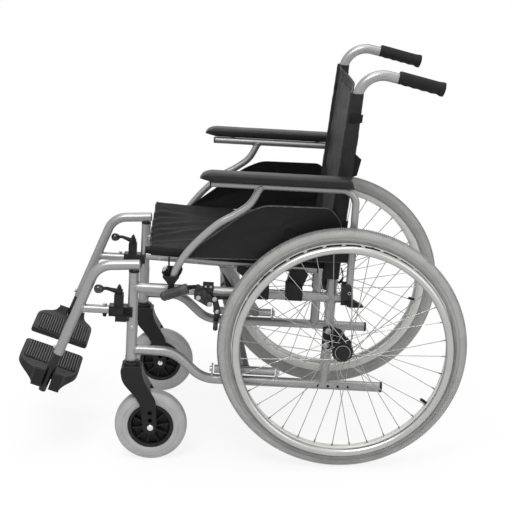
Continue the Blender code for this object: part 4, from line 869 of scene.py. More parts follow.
def plain_weave() -> bpy.types.NodeTree:
    """Over-and-under threads along a cloth's own coordinates, as a height and a thread mask.

    Returns:
        The effect's node group.
    """
    group = Effect("plain_weave", {"Vector": None, "Threads": 900.0}, {"Height": "Float", "Thread": "Float"})
    parts = group.add("SeparateXYZ", {0: group.scaled("Threads")}).outputs
    warp, weft = (
        group.math("ABSOLUTE", group.math("SINE", group.math("MULTIPLY", parts[axis], math.pi))) for axis in ("X", "Y")
    )
    columns, rows = (group.math("FLOOR", parts[axis]) for axis in ("X", "Y"))
    over = group.math("FLOORED_MODULO", group.math("ADD", columns, rows), 2.0)
    height = group.add("Mix", {0: over, 2: warp, 3: weft}, data_type="FLOAT").outputs[0]
    return group.give({"Height": height, "Thread": over})


def turned_radius() -> bpy.types.NodeTree:
    """Distance from a wheel's axis, which lies along X, in metres.

    Returns:
        The effect's node group.
    """
    group = Effect("turned_radius", {"Vector": None, "Centre": None}, {"Radius": "Float"})
    offset = group.add("VectorMath", {0: group.given["Vector"], 1: group.given["Centre"]}, operation="SUBTRACT")
    flat = group.add("VectorMath", {0: offset.outputs[0], 1: (0.0, 1.0, 1.0)}, operation="MULTIPLY")
    radius = group.add("VectorMath", {0: flat.outputs[0]}, operation="LENGTH").outputs["Value"]
    return group.give({"Radius": radius})


@dataclass(frozen=True)
class Finish:
    """A surface finish, with the effects that lie over its plain colour.

    Attributes:
        name: The material's name.
        slot: The record's slot that it belongs to; not used.
        colour: Its linear colour.
        roughness: Its roughness.
        metallic: How metallic it is.
        coat: Weight of the clear coat.
        coat_roughness: The coat's roughness.
        grain: Scale of the fine grain, in grains per metre.
        grain_strength: How strong the grain's bump is.
        mottle: How far the colour varies over the surface.
        wear: How far rubbed edges show.
        wear_colour: Colour of the rubbed edges.
        dust: How much dust lies on it.
        scratches: How much hairline scratches show.
        sheen: Weight of a fabric's soft sheen.
        specular: The dielectric reflection's level.
        edge: Level of the reflection's tint, which darkens a metal's edges.
    """

    name: str
    slot: Slot
    colour: Colour
    roughness: float
    metallic: float = 0.0
    coat: float = 0.0
    coat_roughness: float = 0.1
    grain: float = 900.0
    grain_strength: float = 0.15
    mottle: float = 0.06
    wear: float = 0.0
    wear_colour: Colour = (0.35, 0.35, 0.35)
    dust: float = 0.05
    scratches: float = 0.0
    sheen: float = 0.0
    specular: float = 0.5
    edge: float = 1.0

    def material(self) -> bpy.types.Material:
        """The finish's material, made at its first use.

        Returns:
            The material.
        """
        made = bpy.data.materials.get(self.name)
        if made is None:
            made = bpy.data.materials.new(self.name)
            self.wire(Tree.cleared(made))
        return made

    def wire(self, tree: Tree) -> None:
        """Build the finish's nodes.

        Args:
            tree: The material's tree.
        """
        place = tree.add("TexCoord").outputs["Object"]
        grain = tree.effect(fine_grain, {"Vector": place, "Scale": self.grain, "Strength": self.grain_strength})
        tint = tree.ramp(tree.noise(place, 34.0, 4.0), 0.3, 0.7, (1.0 - self.mottle, 1.0 + self.mottle))
        colour = tree.mix(1.0, self.pattern(tree, place), tree.grey(tint), "MULTIPLY")
        rough = tree.ramp(grain["Value"], 0.3, 0.7, (self.roughness * 0.92, self.roughness * 1.08))
        if self.wear > 0:
            worn = tree.effect(edge_wear, {"Vector": place, "Amount": self.wear})["Mask"]
            colour = tree.mix(worn, colour, self.wear_colour)
        if self.scratches > 0:
            lines = tree.effect(fine_scratches, {"Vector": place, "Amount": self.scratches})["Mask"]
            rough = tree.math("ADD", rough, tree.math("MULTIPLY", lines, 0.22), clamp=True)
            bright = tuple(min(1.0, part * 1.5 + 0.03) for part in self.colour)
            colour = tree.mix(tree.math("MULTIPLY", lines, 0.35), colour, bright)
        dusty = tree.effect(settled_dust, {"Vector": place, "Amount": self.dust})["Mask"]
        inputs = {
            "Base Color": tree.mix(dusty, colour, DUST),
            "Roughness": tree.math("ADD", rough, tree.math("MULTIPLY", dusty, 0.5), clamp=True),
            "Normal": self.relief(tree, place, grain["Normal"]),
            "Metallic": self.metallic,
            "Coat Weight": self.coat,
            "Coat Roughness": self.coat_roughness,
            "Specular IOR Level": self.specular,
            "Specular Tint": (self.edge, self.edge, self.edge, 1.0),
            "Sheen Weight": self.sheen,
            "Sheen Roughness": 0.45,
        }
        tree.add("OutputMaterial", {"Surface": tree.add("BsdfPrincipled", inputs).outputs[0]})

    def pattern(self, tree: Tree, place: Socket) -> object:
        """The colour before grain, wear and dust: one plain colour here."""
        return self.colour

    def relief(self, tree: Tree, place: Socket, grain: Socket) -> Socket:
        """The surface's normal: the fine grain's here."""
        return grain


@dataclass(frozen=True)
class Lacquer(Finish):
    """Metallic lacquer with flakes in its base coat.

    Attributes:
        flake: Flakes per metre.
        flake_depth: How far the flakes' colour varies.
    """

    flake: float = 2600.0
    flake_depth: float = 0.16

    def pattern(self, tree: Tree, place: Socket) -> object:
        """The base colour with flakes.

        Args:
            tree: The material's tree.
            place: The coordinates.

        Returns:
            The colour's socket.
        """
        flakes = tree.add("TexVoronoi", {"Vector": place, "Scale": self.flake}).outputs["Color"]
        bright = tree.add("SeparateColor", {0: flakes}).outputs[0]
        level = tree.ramp(bright, 0.0, 1.0, (1.0 - self.flake_depth, 1.0 + self.flake_depth))
        return tree.mix(1.0, self.colour, tree.grey(level), "MULTIPLY")


@dataclass(frozen=True)
class Banded(Finish):
    """A turned surface whose colour changes with the distance from its axis.

    Attributes:
        centre: A point of the axis, which lies along X.
        inner: Radius where the second colour starts.
        outer: Radius where it is full.
        outer_colour: The second colour.
    """

    centre: tuple[float, float, float] = (0.0, 0.0, 0.0)
    inner: float = 0.0
    outer: float = 1.0
    outer_colour: Colour = (0.2, 0.2, 0.2)

    def pattern(self, tree: Tree, place: Socket) -> object:
        """The colour by radius.

        Args:
            tree: The material's tree.
            place: The coordinates.

        Returns:
            The colour's socket.
        """
        radius = tree.effect(turned_radius, {"Vector": place, "Centre": self.centre})["Radius"]
        uneven = tree.math("ADD", radius, tree.ramp(tree.noise(place, 90.0), 0.3, 0.7, (-0.0008, 0.0008)))
        return tree.mix(tree.ramp(uneven, self.inner, self.outer), self.colour, self.outer_colour)


@dataclass(frozen=True)
class Cloth(Finish):
    """Woven cloth, whose UV map holds its own coordinates in metres.

    Attributes:
        threads: Threads per metre.
        weave_depth: How strong the weave's bump is.
        crumple: How strong the soft creases' bump is.
    """

    threads: float = 900.0
    weave_depth: float = 0.35
    crumple: float = 0.3

    def weave(self, tree: Tree) -> bpy.types.NodeOutputs:
        """The weave's outputs, along the cloth's own coordinates."""
        return tree.effect(plain_weave, {"Vector": tree.add("TexCoord").outputs["UV"], "Threads": self.threads})

    def pattern(self, tree: Tree, place: Socket) -> object:
        """The cloth's colour, a little different on warp and weft."""
        light = tuple(part * 1.35 for part in self.colour)
        return tree.mix(self.weave(tree)["Thread"], self.colour, light)

    def relief(self, tree: Tree, place: Socket, grain: Socket) -> Socket:
        """The weave over soft creases."""
        crease = tree.bump(self.crumple, 0.006, tree.noise(place, 26.0, 3.0))
        return tree.bump(self.weave_depth, 0.0003, self.weave(tree)["Height"], crease)


@dataclass(frozen=True)
class Swirled(Finish):
    """Moulded rubber with a raised swirling pattern.

    Attributes:
        swirl: Swirls per metre.
        swirl_depth: How strong their bump is.
    """

    swirl: float = 95.0
    swirl_depth: float = 0.7

    def relief(self, tree: Tree, place: Socket, grain: Socket) -> Socket:
        """The swirls under the fine grain.

        Args:
            tree: The material's tree.
            place: The coordinates.
            grain: The fine grain's normal.

        Returns:
            The normal's socket.
        """
        inputs = {"Vector": place, "Scale": self.swirl, "Distortion": 9.0, "Detail": 1.0, "Detail Scale": 1.6}
        height = tree.ramp(tree.add("TexWave", inputs).outputs["Fac"], 0.25, 0.75)
        return tree.bump(self.swirl_depth, 0.0007, height, grain)


WHITE = (1.0, 1.0, 1.0, 1.0)
DUST: Colour = (0.30, 0.29, 0.27)
SILVER = Lacquer(
    "silver_lacquer", Slot.SILVER, (0.315, 0.315, 0.315), 0.32, metallic=0.58, edge=0.2, specular=0.3, grain=1500.0,
    grain_strength=0.05, mottle=0.02, scratches=0.35, dust=0.03,
)
HANDRIM = Lacquer(
    "anodised_handrim", Slot.BRIGHT, (0.46, 0.46, 0.455), 0.30, metallic=0.85, edge=0.25, grain=2000.0,
    grain_strength=0.06, mottle=0.03, scratches=0.8, dust=0.03, flake_depth=0.05,
)
RIM = Finish(
    "satin_rim", Slot.BRIGHT, (0.66, 0.655, 0.635), 0.42, metallic=0.10, edge=0.6, grain=1600.0, grain_strength=0.08,
    mottle=0.05, scratches=0.5, dust=0.06,
)
SPOKE = Finish(
    "stainless_spoke", Slot.BRIGHT, (0.36, 0.36, 0.355), 0.26, metallic=1.0, edge=0.3, mottle=0.12, scratches=0.3,
)
CHROME = Finish(
    "bright_chrome", Slot.BRIGHT, (0.72, 0.72, 0.73), 0.10, metallic=1.0, grain_strength=0.02, scratches=0.4,
    dust=0.02,
)
BOLT = Finish(
    "zinc_bolt", Slot.BOLT, (0.42, 0.42, 0.42), 0.30, metallic=1.0, grain=2500.0, grain_strength=0.12, mottle=0.08,
    scratches=0.5, dust=0.08,
)
PLASTIC = Finish(
    "moulded_black", Slot.PLASTIC, (0.0095, 0.0095, 0.0100), 0.44, grain=2200.0, grain_strength=0.25, mottle=0.10,
    wear=0.08, wear_colour=(0.06, 0.06, 0.06), dust=0.010, scratches=0.3, specular=0.22,
)
MATT = Finish(
    "matt_black_fork", Slot.PLASTIC, (0.0110, 0.0110, 0.0112), 0.46, grain=2600.0, grain_strength=0.35, mottle=0.10,
    wear=0.10, wear_colour=(0.06, 0.06, 0.06), dust=0.006, scratches=0.2, specular=0.20,
)
COATED = Finish(
    "black_coated_steel", Slot.PLASTIC, (0.0100, 0.0100, 0.0105), 0.38, coat=0.15, coat_roughness=0.2, grain=1800.0,
    grain_strength=0.18, wear=0.20, wear_colour=(0.14, 0.14, 0.14), dust=0.010, scratches=0.4, specular=0.22,
)
GLOSS = Finish(
    "gloss_black_knob", Slot.PLASTIC, (0.0070, 0.0070, 0.0075), 0.18, coat=0.4, coat_roughness=0.06,
    grain_strength=0.03, dust=0.01, scratches=0.5,
)
GUARD = Finish(
    "satin_guard", Slot.PLASTIC, (0.0080, 0.0081, 0.0088), 0.38, coat=0.04, coat_roughness=0.25, grain=1200.0,
    grain_strength=0.10, mottle=0.08, wear=0.06, wear_colour=(0.05, 0.05, 0.055), dust=0.008, scratches=0.6,
    specular=0.18,
)
BEAD = Finish("guard_bead", Slot.PLASTIC, (0.040, 0.040, 0.043), 0.40, wear=0.3, dust=0.02, specular=0.4)
FOOTPLATE = Finish(
    "worn_footplate", Slot.FOOTPLATE, (0.022, 0.022, 0.0225), 0.55, grain=1500.0, grain_strength=0.30, mottle=0.14,
    wear=0.50, wear_colour=(0.12, 0.12, 0.125), dust=0.03, scratches=0.9, specular=0.10,
)
# Near-black bed under the footplate's ribs: painted shade in the grooves between them.
GROOVE_SHADE = Finish("painted_groove_shade", Slot.FOOTPLATE, (0.0060, 0.0060, 0.0062), 0.6, dust=0.004, specular=0.04)
# The ribs are coloured lighter than the plate: a painted highlight on their tops.
TREAD_HIGHLIGHT = Finish(
    "tread_painted_highlight", Slot.FOOTPLATE, (0.088, 0.088, 0.090), 0.55, grain=1500.0, grain_strength=0.02, mottle=0.04,
    dust=0.0, specular=0.10,
)
WHEEL_CENTRE = (0.0, PLAN.axle_y, PLAN.axle_z)
CASTER_CENTRE = (0.0, PLAN.axle_y + PLAN.caster_y, PLAN.caster_r)
TYRE = Banded(
    "grey_tyre", Slot.TYRE, (0.325, 0.325, 0.320), 0.62, grain=1100.0, grain_strength=0.30, mottle=0.07, dust=0.12,
    centre=WHEEL_CENTRE, inner=0.2985, outer=0.3035, outer_colour=(0.20, 0.20, 0.205),
)
CASTER_TYRE = Banded(
    "grey_caster_tyre", Slot.TYRE, (0.365, 0.365, 0.370), 0.48, grain=1100.0, grain_strength=0.20, mottle=0.05,
    dust=0.10, centre=CASTER_CENTRE, inner=0.0870, outer=0.0900, outer_colour=(0.27, 0.27, 0.275), scratches=0.3,
)
GRIP = Swirled(
    "swirled_grip_rubber", Slot.GRIP, (0.0110, 0.0110, 0.0112), 0.58, grain=1500.0, grain_strength=0.3, mottle=0.1,
    dust=0.02, specular=0.15,
)
RIBBED = Finish(
    "brake_grip_rubber", Slot.GRIP, (0.036, 0.036, 0.038), 0.50, grain=1400.0, grain_strength=0.3, mottle=0.1,
    dust=0.03, wear=0.2, wear_colour=(0.10, 0.10, 0.10), specular=0.40,
)
FOAM = Finish(
    "skinned_foam", Slot.FOAM, (0.0090, 0.0090, 0.0092), 0.52, grain=700.0, grain_strength=0.55, mottle=0.12,
    dust=0.02, sheen=0.01, wear=0.10, wear_colour=(0.05, 0.05, 0.05), specular=0.26,
)
NYLON = Cloth("black_nylon_cloth", Slot.NYLON, (0.0150, 0.0150, 0.0155), 0.56, mottle=0.12, dust=0.004, specular=0.02)
SLEEVE = Cloth("black_sleeve", Slot.NYLON, (0.0220, 0.0220, 0.0225), 0.60, mottle=0.14, dust=0.006, specular=0.10)
PANEL = Cloth(
    "grey_back_panel", Slot.NYLON, (0.042, 0.042, 0.043), 0.66, sheen=0.02, mottle=0.10, dust=0.006, threads=650.0,
    specular=0.12, crumple=0.15,
)
WEBBING = Cloth(
    "black_webbing", Slot.NYLON, (0.0085, 0.0085, 0.0090), 0.52, threads=420.0, weave_depth=0.6, crumple=0.1,
    dust=0.006, specular=0.10,
)
THREAD = Finish("stitching_thread", Slot.NYLON, (0.024, 0.024, 0.026), 0.65, dust=0.02, specular=0.2)


def sided(name: str, side: str) -> str:
    """A name with its side before it, unless it is a name in the middle."""
    return f"{side}_{name}" if side else name


def rounding(thing: bpy.types.Object, width: float, angle: float) -> None:
    """Round the edges of an object that are sharper than an angle.

    Args:
        thing: The object.
        width: How wide the rounding is.
        angle: The angle in degrees.
    """
    modifier = thing.modifiers.new("rounding", "BEVEL")
    modifier.width = width
    modifier.segments = 2
    modifier.limit_method = "ANGLE"
    modifier.angle_limit = math.radians(angle)
    modifier.harden_normals = True


def cover(thing: bpy.types.Object, *finishes: Finish) -> None:
    """Give an object its finishes, and report it.

    Args:
        thing: The object.
        finishes: Its finishes, in the order of its faces' material numbers.
    """
    for finish in finishes:
        thing.data.materials.append(finish.material())
    log.info("%s: %d faces, %s", thing.name, len(thing.data.polygons), finishes[0].name)


@dataclass(frozen=True)
class Piece:
    """One visible piece: a form with its finish and the CAD node that it takes the place of.

    The names of the piece, its body and that node are written without their side.

    Attributes:
        name: Its name.
        form: Its mesh under construction.
        finish: Its finish.
        body: The body it rides.
        replaces: The CAD node, if there is one.
        sharp: Angle in degrees above which an edge stays sharp.
        bevel: Width of the rounding on its sharp edges, or 0.
    """

    name: str
    form: Form
    finish: Finish
    body: str
    replaces: str = ""
    sharp: float = 42.0
    bevel: float = 0.0

    def place(self, side: str = "") -> bpy.types.Object:
        """Make the piece on one side of the chair.

        Args:
            side: left or right, or "" for a piece in the middle.

        Returns:
            Its object.
        """
        name = sided(self.name, side)
        thing = link(name, self.form.mesh(name, side == "right", self.sharp))
        if self.bevel:
            rounding(thing, self.bevel, 40)
        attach(thing, sided(self.body, side))
        cover(thing, self.finish)
        if self.replaces:
            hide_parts(sided(self.replaces, side))
        return thing


class Assembly:
    """A sub-assembly, which lists its pieces and dresses the CAD nodes that it keeps."""

    sides: tuple[str, ...] = ("left", "right")
    kept: tuple[tuple[str, Finish, float], ...] = ()

    def pieces(self) -> list[Piece]:
        """The pieces that are modelled anew, on the left side."""
        return []

    def build(self) -> None:
        """Make every piece on each side."""
        for piece in self.pieces():
            for side in self.sides:
                piece.place(side)

    def dress(self, nodes: dict[str, bpy.types.Object]) -> None:
        """Give the kept CAD nodes their rounding and finish.

        Args:
            nodes: The CAD nodes by name.
        """
        for name, finish, width in self.kept:
            for side in self.sides:
                node = nodes[sided(name, side)]
                node.modifiers.new("weld", "WELD").merge_threshold = 0.0001
                rounding(node, width, 35)
                node.data.shade_smooth()
                node.data.materials.clear()
                cover(node, finish)


@dataclass(frozen=True)
class SideFrame(Assembly):
    """The welded tubes of a side frame, with their plugs, caps, grip and fastenings.

    Attributes:
        lower_end: Where the lower tube ends, rearward.
        lower_r: The lower tube's radius.
        upper_r: The upper tube's radius.
        front_w: The lower tube's height at the post.
        lugs: Where the lugs for the brace's foot tube are, along the lower tube.
        handle_bend: Bend radius of the push handle.
        handle_drop: How far the bend's corner lies below the cane's.
        grip_u: Where the push grip starts.
        grip_length: Its length.
        hole_pitch: Distance between the lower tube's adjuster holes.
    """

    lower_end: float = 0.108
    lower_r: float = 0.0121
    upper_r: float = 0.0123
    front_w: float = -0.049
    lugs: Point = (-0.3125, -0.1525)
    handle_bend: float = 0.060
    handle_drop: float = 0.005
    grip_u: float = 0.089
    grip_length: float = 0.1130
    hole_pitch: float = 0.0245
    kept = (
        ("axle_bracket", COATED, 0.0006),
        ("front_saddle", PLASTIC, 0.0007),
        ("rear_saddle", PLASTIC, 0.0007),
        ("armrest_hinge", COATED, 0.0005),
    )

    def lower_path(self) -> list[Vector]:
        """The lower tube's centre line, from the post to its rear end.

        Returns:
            The path's points.
        """
        corners = (
            (PLAN.post_u, self.front_w, 0), (-0.411, self.front_w, 0.08), (-0.337, PLAN.lower_w, 0.08),
            (self.lower_end, PLAN.lower_w, 0),
        )
        return fillet_path([(side_point((u, w)), radius) for u, w, radius in corners])

    def cane_path(self) -> list[Vector]:
        """The rear post, back cane and push handle in one line.

        Returns:
            The path's points.
        """
        corners = (
            (-0.034, PLAN.lower_w, 0), (*PLAN.cane_foot, 0),
            (PLAN.cane_corner[0], PLAN.cane_corner[1] - self.handle_drop, self.handle_bend),
            (PLAN.handle_end[0] - 0.004, PLAN.handle_end[1], 0),
        )
        return fillet_path([(side_point((u, w)), radius) for u, w, radius in corners])

    def tubes(self) -> Form:
        """The silver tubes with their welds, and the cores of the lugs.

        Returns:
            The form.
        """
        form = Form()
        post = mm(-76.4, 14, -75.8, 14.5, -65, 14.5, -63.2, 13.6, 26, 13.6, 30, 12.5, 150.5, 12.5, 150.5, 10, 105, 10)
        post_foot = side_point((PLAN.post_u, 0.0))
        cane_foot = side_point(PLAN.cane_foot)
        cane_axis = cane_foot - side_point((-0.034, PLAN.lower_w))
        form.lathe(post, post_foot, W, 40)
        form.tube([side_point((PLAN.post_u, PLAN.upper_w)), side_point((0.022, PLAN.upper_w))], self.upper_r, 32)
        form.tube(self.lower_path(), self.lower_r, 32)
        form.tube(self.cane_path(), PLAN.tube_r, 32)
        welds = (
            ((-0.47, PLAN.upper_w), -U, self.upper_r, post_foot, W, PLAN.tube_r),
            ((-0.46, self.front_w), -U, self.lower_r, post_foot, W, 0.0136),
            ((-0.09, PLAN.upper_w), U, self.upper_r, cane_foot, cane_axis, PLAN.tube_r),
            ((0.02, PLAN.upper_w), -U, self.upper_r, cane_foot, cane_axis, PLAN.tube_r),
            ((-0.0335, -0.07), -W, PLAN.tube_r, side_point((0.0, PLAN.lower_w)), U, self.lower_r),
        )
        for start, *rest in welds:
            form.weld_round(side_point(start), *rest)
        for u in self.lugs:
            core = mm(-2, -108, 2, -108, 2, -76.5, 1.2, -75.5, -1.2, -75.5, -2, -76.5)
            form.slab([(u + a, b) for a, b in core], 0.2300, 0.2420)
        return form

    def lug_cheeks(self) -> Form:
        """Round-topped lugs welded to the lower tube, with their beads.

        Returns:
            The form.
        """
        form = Form()
        x, radius = PLAN.side_x, 0.008
        turns = (0.0, 0.5, 1.0, 1.57, 2.14, 2.64, 3.14)
        outline = [(x + radius * math.cos(t), PLAN.foot_w + radius * math.sin(t) + 0.002) for t in turns]
        outline += [(x - 0.0085, -0.1085), (x + 0.0085, -0.1085)]
        for u in self.lugs:
            form.prism(outline, Vector((0, u - 0.002, 0)), X, W, U * 0.004)
            for offset in (-0.0026, 0.0026):
                reaches = (-0.0088, -0.005, 0.0, 0.005, 0.0088)
                bead = [Vector((x + a, u + offset, -0.1047 - 0.09 * abs(a))) for a in reaches]
                form.tube(curve_path(bead, 6), 0.0016, 8, across=U)
        return form

    def fastenings(self) -> Form:
        """Bolt heads on the frame, the foot tube's stub bolts and rivets.

        Returns:
            The form.
        """
        form = Form()
        form.socket_bolt(Vector((PLAN.side_x, -0.3145, PLAN.foot_w)), -U, 0.0070, 0.0050)
        form.socket_bolt(Vector((PLAN.side_x, -0.1505, PLAN.foot_w)), U, 0.0070, 0.0050)
        outer = PLAN.side_x + 0.0136
        form.rivet(Vector((outer, PLAN.post_u, 0.012)), X, 0.0042, 0.0016)
        for u, w in mm(-441.2, 165.5, -437, 171.5):
            form.hex_bolt(Vector((0.2543, u, w)), X, 0.0040, 0.0032)
        for u, w in mm(-33, 31, -35, -4):
            form.hex_bolt(Vector((0.2568, u, w)), X, 0.0068, 0.0046)
        form.socket_bolt(Vector((0.2758, 0.009, 0.137)), X, 0.0046, 0.0028)
        return form

    def holes(self) -> Form:
        """The adjuster holes of the lower tube's rear part, as matt black plugs on its outer surface: painted shade
        inside the holes.

        Returns:
            The form.
        """
        form = Form()
        reach, hole_r, half_turn = 0.01275, 0.0034, 0.27
        for number in range(4):
            u = -0.048 + number * self.hole_pitch
            arc = []
            for t in [2 * math.pi * step / 24 for step in range(24)]:
                turn = half_turn * math.sin(t)
                x, w = PLAN.side_x + reach * math.cos(turn), PLAN.lower_w + reach * math.sin(turn)
                arc.append(Vector((x, u + hole_r * math.cos(t), w)))
            form.skin([arc, [point - X * 0.003 for point in arc]])
        return form

    def plugs(self) -> Form:
        """The black ring in the lower tube's end."""
        rim = mm(-12, 10, -2, 10, -2, 13, 3, 13, 3.8, 11.8, 3.8, 7.8, 2.2, 7.2, -6, 7, -6, 0.4)
        return Form().lathe(rim, side_point((self.lower_end, PLAN.lower_w)), U, 32)

    def post_cap(self) -> Form:
        """The oval-lipped cap in the post's top.

        Returns:
            The form.
        """
        profile = mm(
            139, 9.2, 150.6, 9.6, 150.6, 12.9, 152.6, 13.3, 154.5, 12.8, 155.4, 11.2, 155.2, 8.4, 154.6, 6.4,
            140, 6.4,
        )
        return Form().lathe(profile, side_point((PLAN.post_u, 0.0)), W, 36, closed=True)

    def grip(self) -> Form:
        """The push grip: finger bumps below, a flared rear end with a lip.

        Returns:
            The form.
        """
        run_u = PLAN.handle_end[0] - PLAN.cane_corner[0]
        run_w = PLAN.handle_end[1] - PLAN.cane_corner[1]
        share = (self.grip_u - PLAN.cane_corner[0]) / run_u
        start = Vector((PLAN.side_x, self.grip_u, PLAN.cane_corner[1] + share * run_w))
        along = Vector((0, run_u, run_w)).normalized()
        normal = X.cross(along)
        profile = mm(0, 14, 1.2, 15.2, 4, 15.8)
        profile += [(0.004 + step * 0.0031, 0.0158) for step in range(1, 30)]
        profile += mm(98.5, 16, 102, 16.6, 105, 17.3, 110, 17.3, 112.4, 16.4, 113, 14.5)
        rings = []
        for at, radius in profile:
            ring = []
            for number in range(40):
                angle = 2 * math.pi * number / 40
                below = max(0.0, -math.sin(angle))
                bump = 0.0
                if 0.008 < at < 0.094:
                    bump = 0.0013 * below * (0.5 - 0.5 * math.cos(2 * math.pi * (at - 0.008) / 0.0215))
                spread = radius - 0.0009 * (below if 0.004 < at < 0.10 else 0.0) + bump
                ring.append(start + along * at + spread * (math.cos(angle) * X + math.sin(angle) * normal))
            rings.append(ring)
        end = start + along * self.grip_length
        return Form().skin(rings).lathe(mm(-2, 12.5, 0.6, 12, 1.2, 10, 0.4, 8.6), end, along, 32)

    def socket(self) -> Form:
        """The armrest's front socket: a back plate with a V-shaped pocket, and its neck to the tube.

        Returns:
            The form.
        """
        back = mm(
            -447.4, 157, -445.5, 169.5, -434.5, 176, -399, 176, -396.5, 168, -401, 156, -419, 132.5, -426, 132.5,
        )
        form = Form().slab(round_outline(back, 0.0022), 0.2515, 0.2543)
        wedge = round_outline(mm(-446.2, 156.2, -402, 157, -418.8, 131.8, -426.2, 131.8), 0.0020)
        inner = mm(-442.5, 160, -405.5, 160, -419.6, 135, -425.4, 135)
        form.join(carve(Form().slab(wedge, 0.2515, 0.2785), [Form().slab(inner, 0.2540, 0.2757)]))
        form.slab(round_outline(mm(-433, 104, -412, 104, -416, 136, -429, 136), 0.003), 0.2484, 0.2530)
        form.rod(Vector((0.2605, -0.4300, 0.1560)), Vector((0.2605, -0.4305, 0.2010)), 0.0021, 16)
        return form

    def pieces(self) -> list[Piece]:
        """The frame's pieces.

        Returns:
            The pieces.
        """
        body = "frame"
        return [
            Piece("frame_tubes", self.tubes(), SILVER, body, "side_frame", 50),
            Piece("foot_lugs", self.lug_cheeks(), SILVER, body, "", 50),
            Piece("frame_bolts", self.fastenings(), BOLT, body),
            # Matt black plugs: painted shade inside the adjuster holes.
            Piece("adjuster_holes", self.holes(), MATT, body),
            Piece("tube_plugs", self.plugs(), PLASTIC, body),
            Piece("post_plug", self.post_cap(), PLASTIC, body, "post_cap"),
            Piece("grip_sleeve", self.grip(), GRIP, body, "push_grip", 60),
            Piece("strut_socket", self.socket(), PLASTIC, body, "front_socket", 35, 0.0005),
        ]


@dataclass(frozen=True)
class CrossBrace(Assembly):
    """The two crossing arms with their foot tubes and seat rails.

    Attributes:
        pivot_w: Height of the pivot bolt.
    """

    pivot_w: float = 0.0538
    sides = ("",)

    def arm(self, foot_u: float, rail_u: float, foot_side: float) -> Form:
        """One arm: chamfered tube, foot tube, seat rail, boss and welds.

        Args:
            foot_u: Where its foot is, along the chair.
            rail_u: Where its rail end is.
            foot_side: +1 if its foot is on the left, else -1.

        Returns:
            The arm.
        """
        form = Form()
        foot = Vector((foot_side * PLAN.side_x, foot_u, PLAN.foot_w))
        rail = Vector((-foot_side * PLAN.rail_x, rail_u, PLAN.rail_w(rail_u)))
        along = (rail - foot).normalized()
        run = Vector((along.x, 0, along.z)).normalized()
        deep = Vector((-run.z, 0, run.x))
        section = round_outline(mm(-9.5, -14, 9.5, -14, 9.5, 14, -9.5, 14), 0.0052)
        start = foot + along * 0.0075
        end = rail - along * 0.006
        form.prism(section, start, U, deep, end - start)
        middle_u = foot_u + (rail_u - foot_u) * PLAN.side_x / (PLAN.side_x + PLAN.rail_x)
        middle = Vector((0.0, middle_u, self.pivot_w))
        form.rod(middle - U * 0.0130, middle + U * 0.0130, 0.0125, 36)
        foot_tube = mm(-308, 10, -307.5, 10.5, -157.5, 10.5, -157, 10, -157, 5.8, -163, 5.6, -302, 5.6, -308, 5.8)
        form.lathe(foot_tube, Vector((foot.x, 0, foot.z)), U, 28, closed=True)
        bend = (0, 0.4, 0)
        form.tube(fillet_path([(Vector((rail.x, *point)), r) for point, r in zip(PLAN.rail, bend)]), PLAN.rail_r, 28)
        narrow = [(a, max(-0.0097, min(0.0097, b))) for a, b in self.dense(section)]
        for root, way, tube_r in ((foot, -along, 0.0105), (rail, along, PLAN.rail_r)):
            loop = [root - way * 0.04 + a * U + b * deep for a, b in narrow]
            form.weld(loop, way, root, U, tube_r, 0.0016)
        return form

    def dense(self, outline: Sequence[Point]) -> list[Point]:
        """An outline with more points on its sides.

        Args:
            outline: The outline's corners.

        Returns:
            The outline.
        """
        made = []
        for index, (a, b) in enumerate(outline):
            c, d = outline[(index + 1) % len(outline)]
            steps = max(1, round(math.hypot(c - a, d - b) / 0.002))
            made += [(a + (c - a) * n / steps, b + (d - b) * n / steps) for n in range(steps)]
        return made

    def boss(self) -> Form:
        """The pivot bolt with head, washers, spacer and nut.

        Returns:
            The form.
        """
        form = Form()
        front = Vector((0.0, -0.2841, self.pivot_w))
        rear = Vector((0.0, -0.2531, self.pivot_w))
        form.hex_bolt(front - U * 0.0136, -U, 0.0095, 0.0060)
        form.hex_bolt(rear + U * 0.0136, U, 0.0095, 0.0060)
        form.rod(front + U * 0.0134, rear - U * 0.0134, 0.0100)
        return form.rod(front - U * 0.014, rear + U * 0.014, 0.0050)

    def rail_rivets(self, side: float) -> Form:
        """Rivets that hold the seat's hem, under one rail.

        Args:
            side: +1 on the left or -1 on the right.

        Returns:
            The form.
        """
        form = Form()
        for u in (-0.455, -0.365, -0.275, -0.2405, -0.150, -0.095):
            spot = Vector((side * (PLAN.rail_x + 0.0096), u, PLAN.rail_w(u) - 0.0056))
            form.rivet(spot, Vector((side, 0, -0.58)), 0.0034, 0.0014)
        return form

    def rail_plugs(self, side: float) -> Form:
        """Black plugs in the ends of one rail.

        Args:
            side: +1 on the left or -1 on the right.

        Returns:
            The form.
        """
        form = Form()
        for (u, w), (inner_u, inner_w) in ((PLAN.rail[0], PLAN.rail[1]), (PLAN.rail[2], PLAN.rail[1])):
            outward = Vector((0, u - inner_u, w - inner_w)).normalized()
            profile = mm(-4, 10, 0.2, 10.4, 2.2, 10.3, 3.4, 9, 3.6, 6, 3, 0.5)
            form.lathe(profile, Vector((side * PLAN.rail_x, u, w)), outward, 28)
        return form

    def pieces(self) -> list[Piece]:
        """The brace's pieces.

        Returns:
            The pieces.
        """
        return [
            Piece("brace_arm_a", self.arm(-0.2297, -0.333, 1.0), SILVER, "brace_a", "cross_arm_a", 50),
            Piece("brace_arm_b", self.arm(-0.1997, -0.301, -1.0), SILVER, "brace_b", "cross_arm_b", 50),
            Piece("brace_bolt", self.boss(), BOLT, "brace_a", "brace_pivot_bolt"),
            Piece("rail_plugs_a", self.rail_plugs(-1.0), PLASTIC, "brace_a"),
            Piece("rail_plugs_b", self.rail_plugs(1.0), PLASTIC, "brace_b"),
            Piece("brace_b_rivets", self.rail_rivets(1.0), BOLT, "brace_b"),
            Piece("brace_a_rivets", self.rail_rivets(-1.0), BOLT, "brace_a"),
        ]


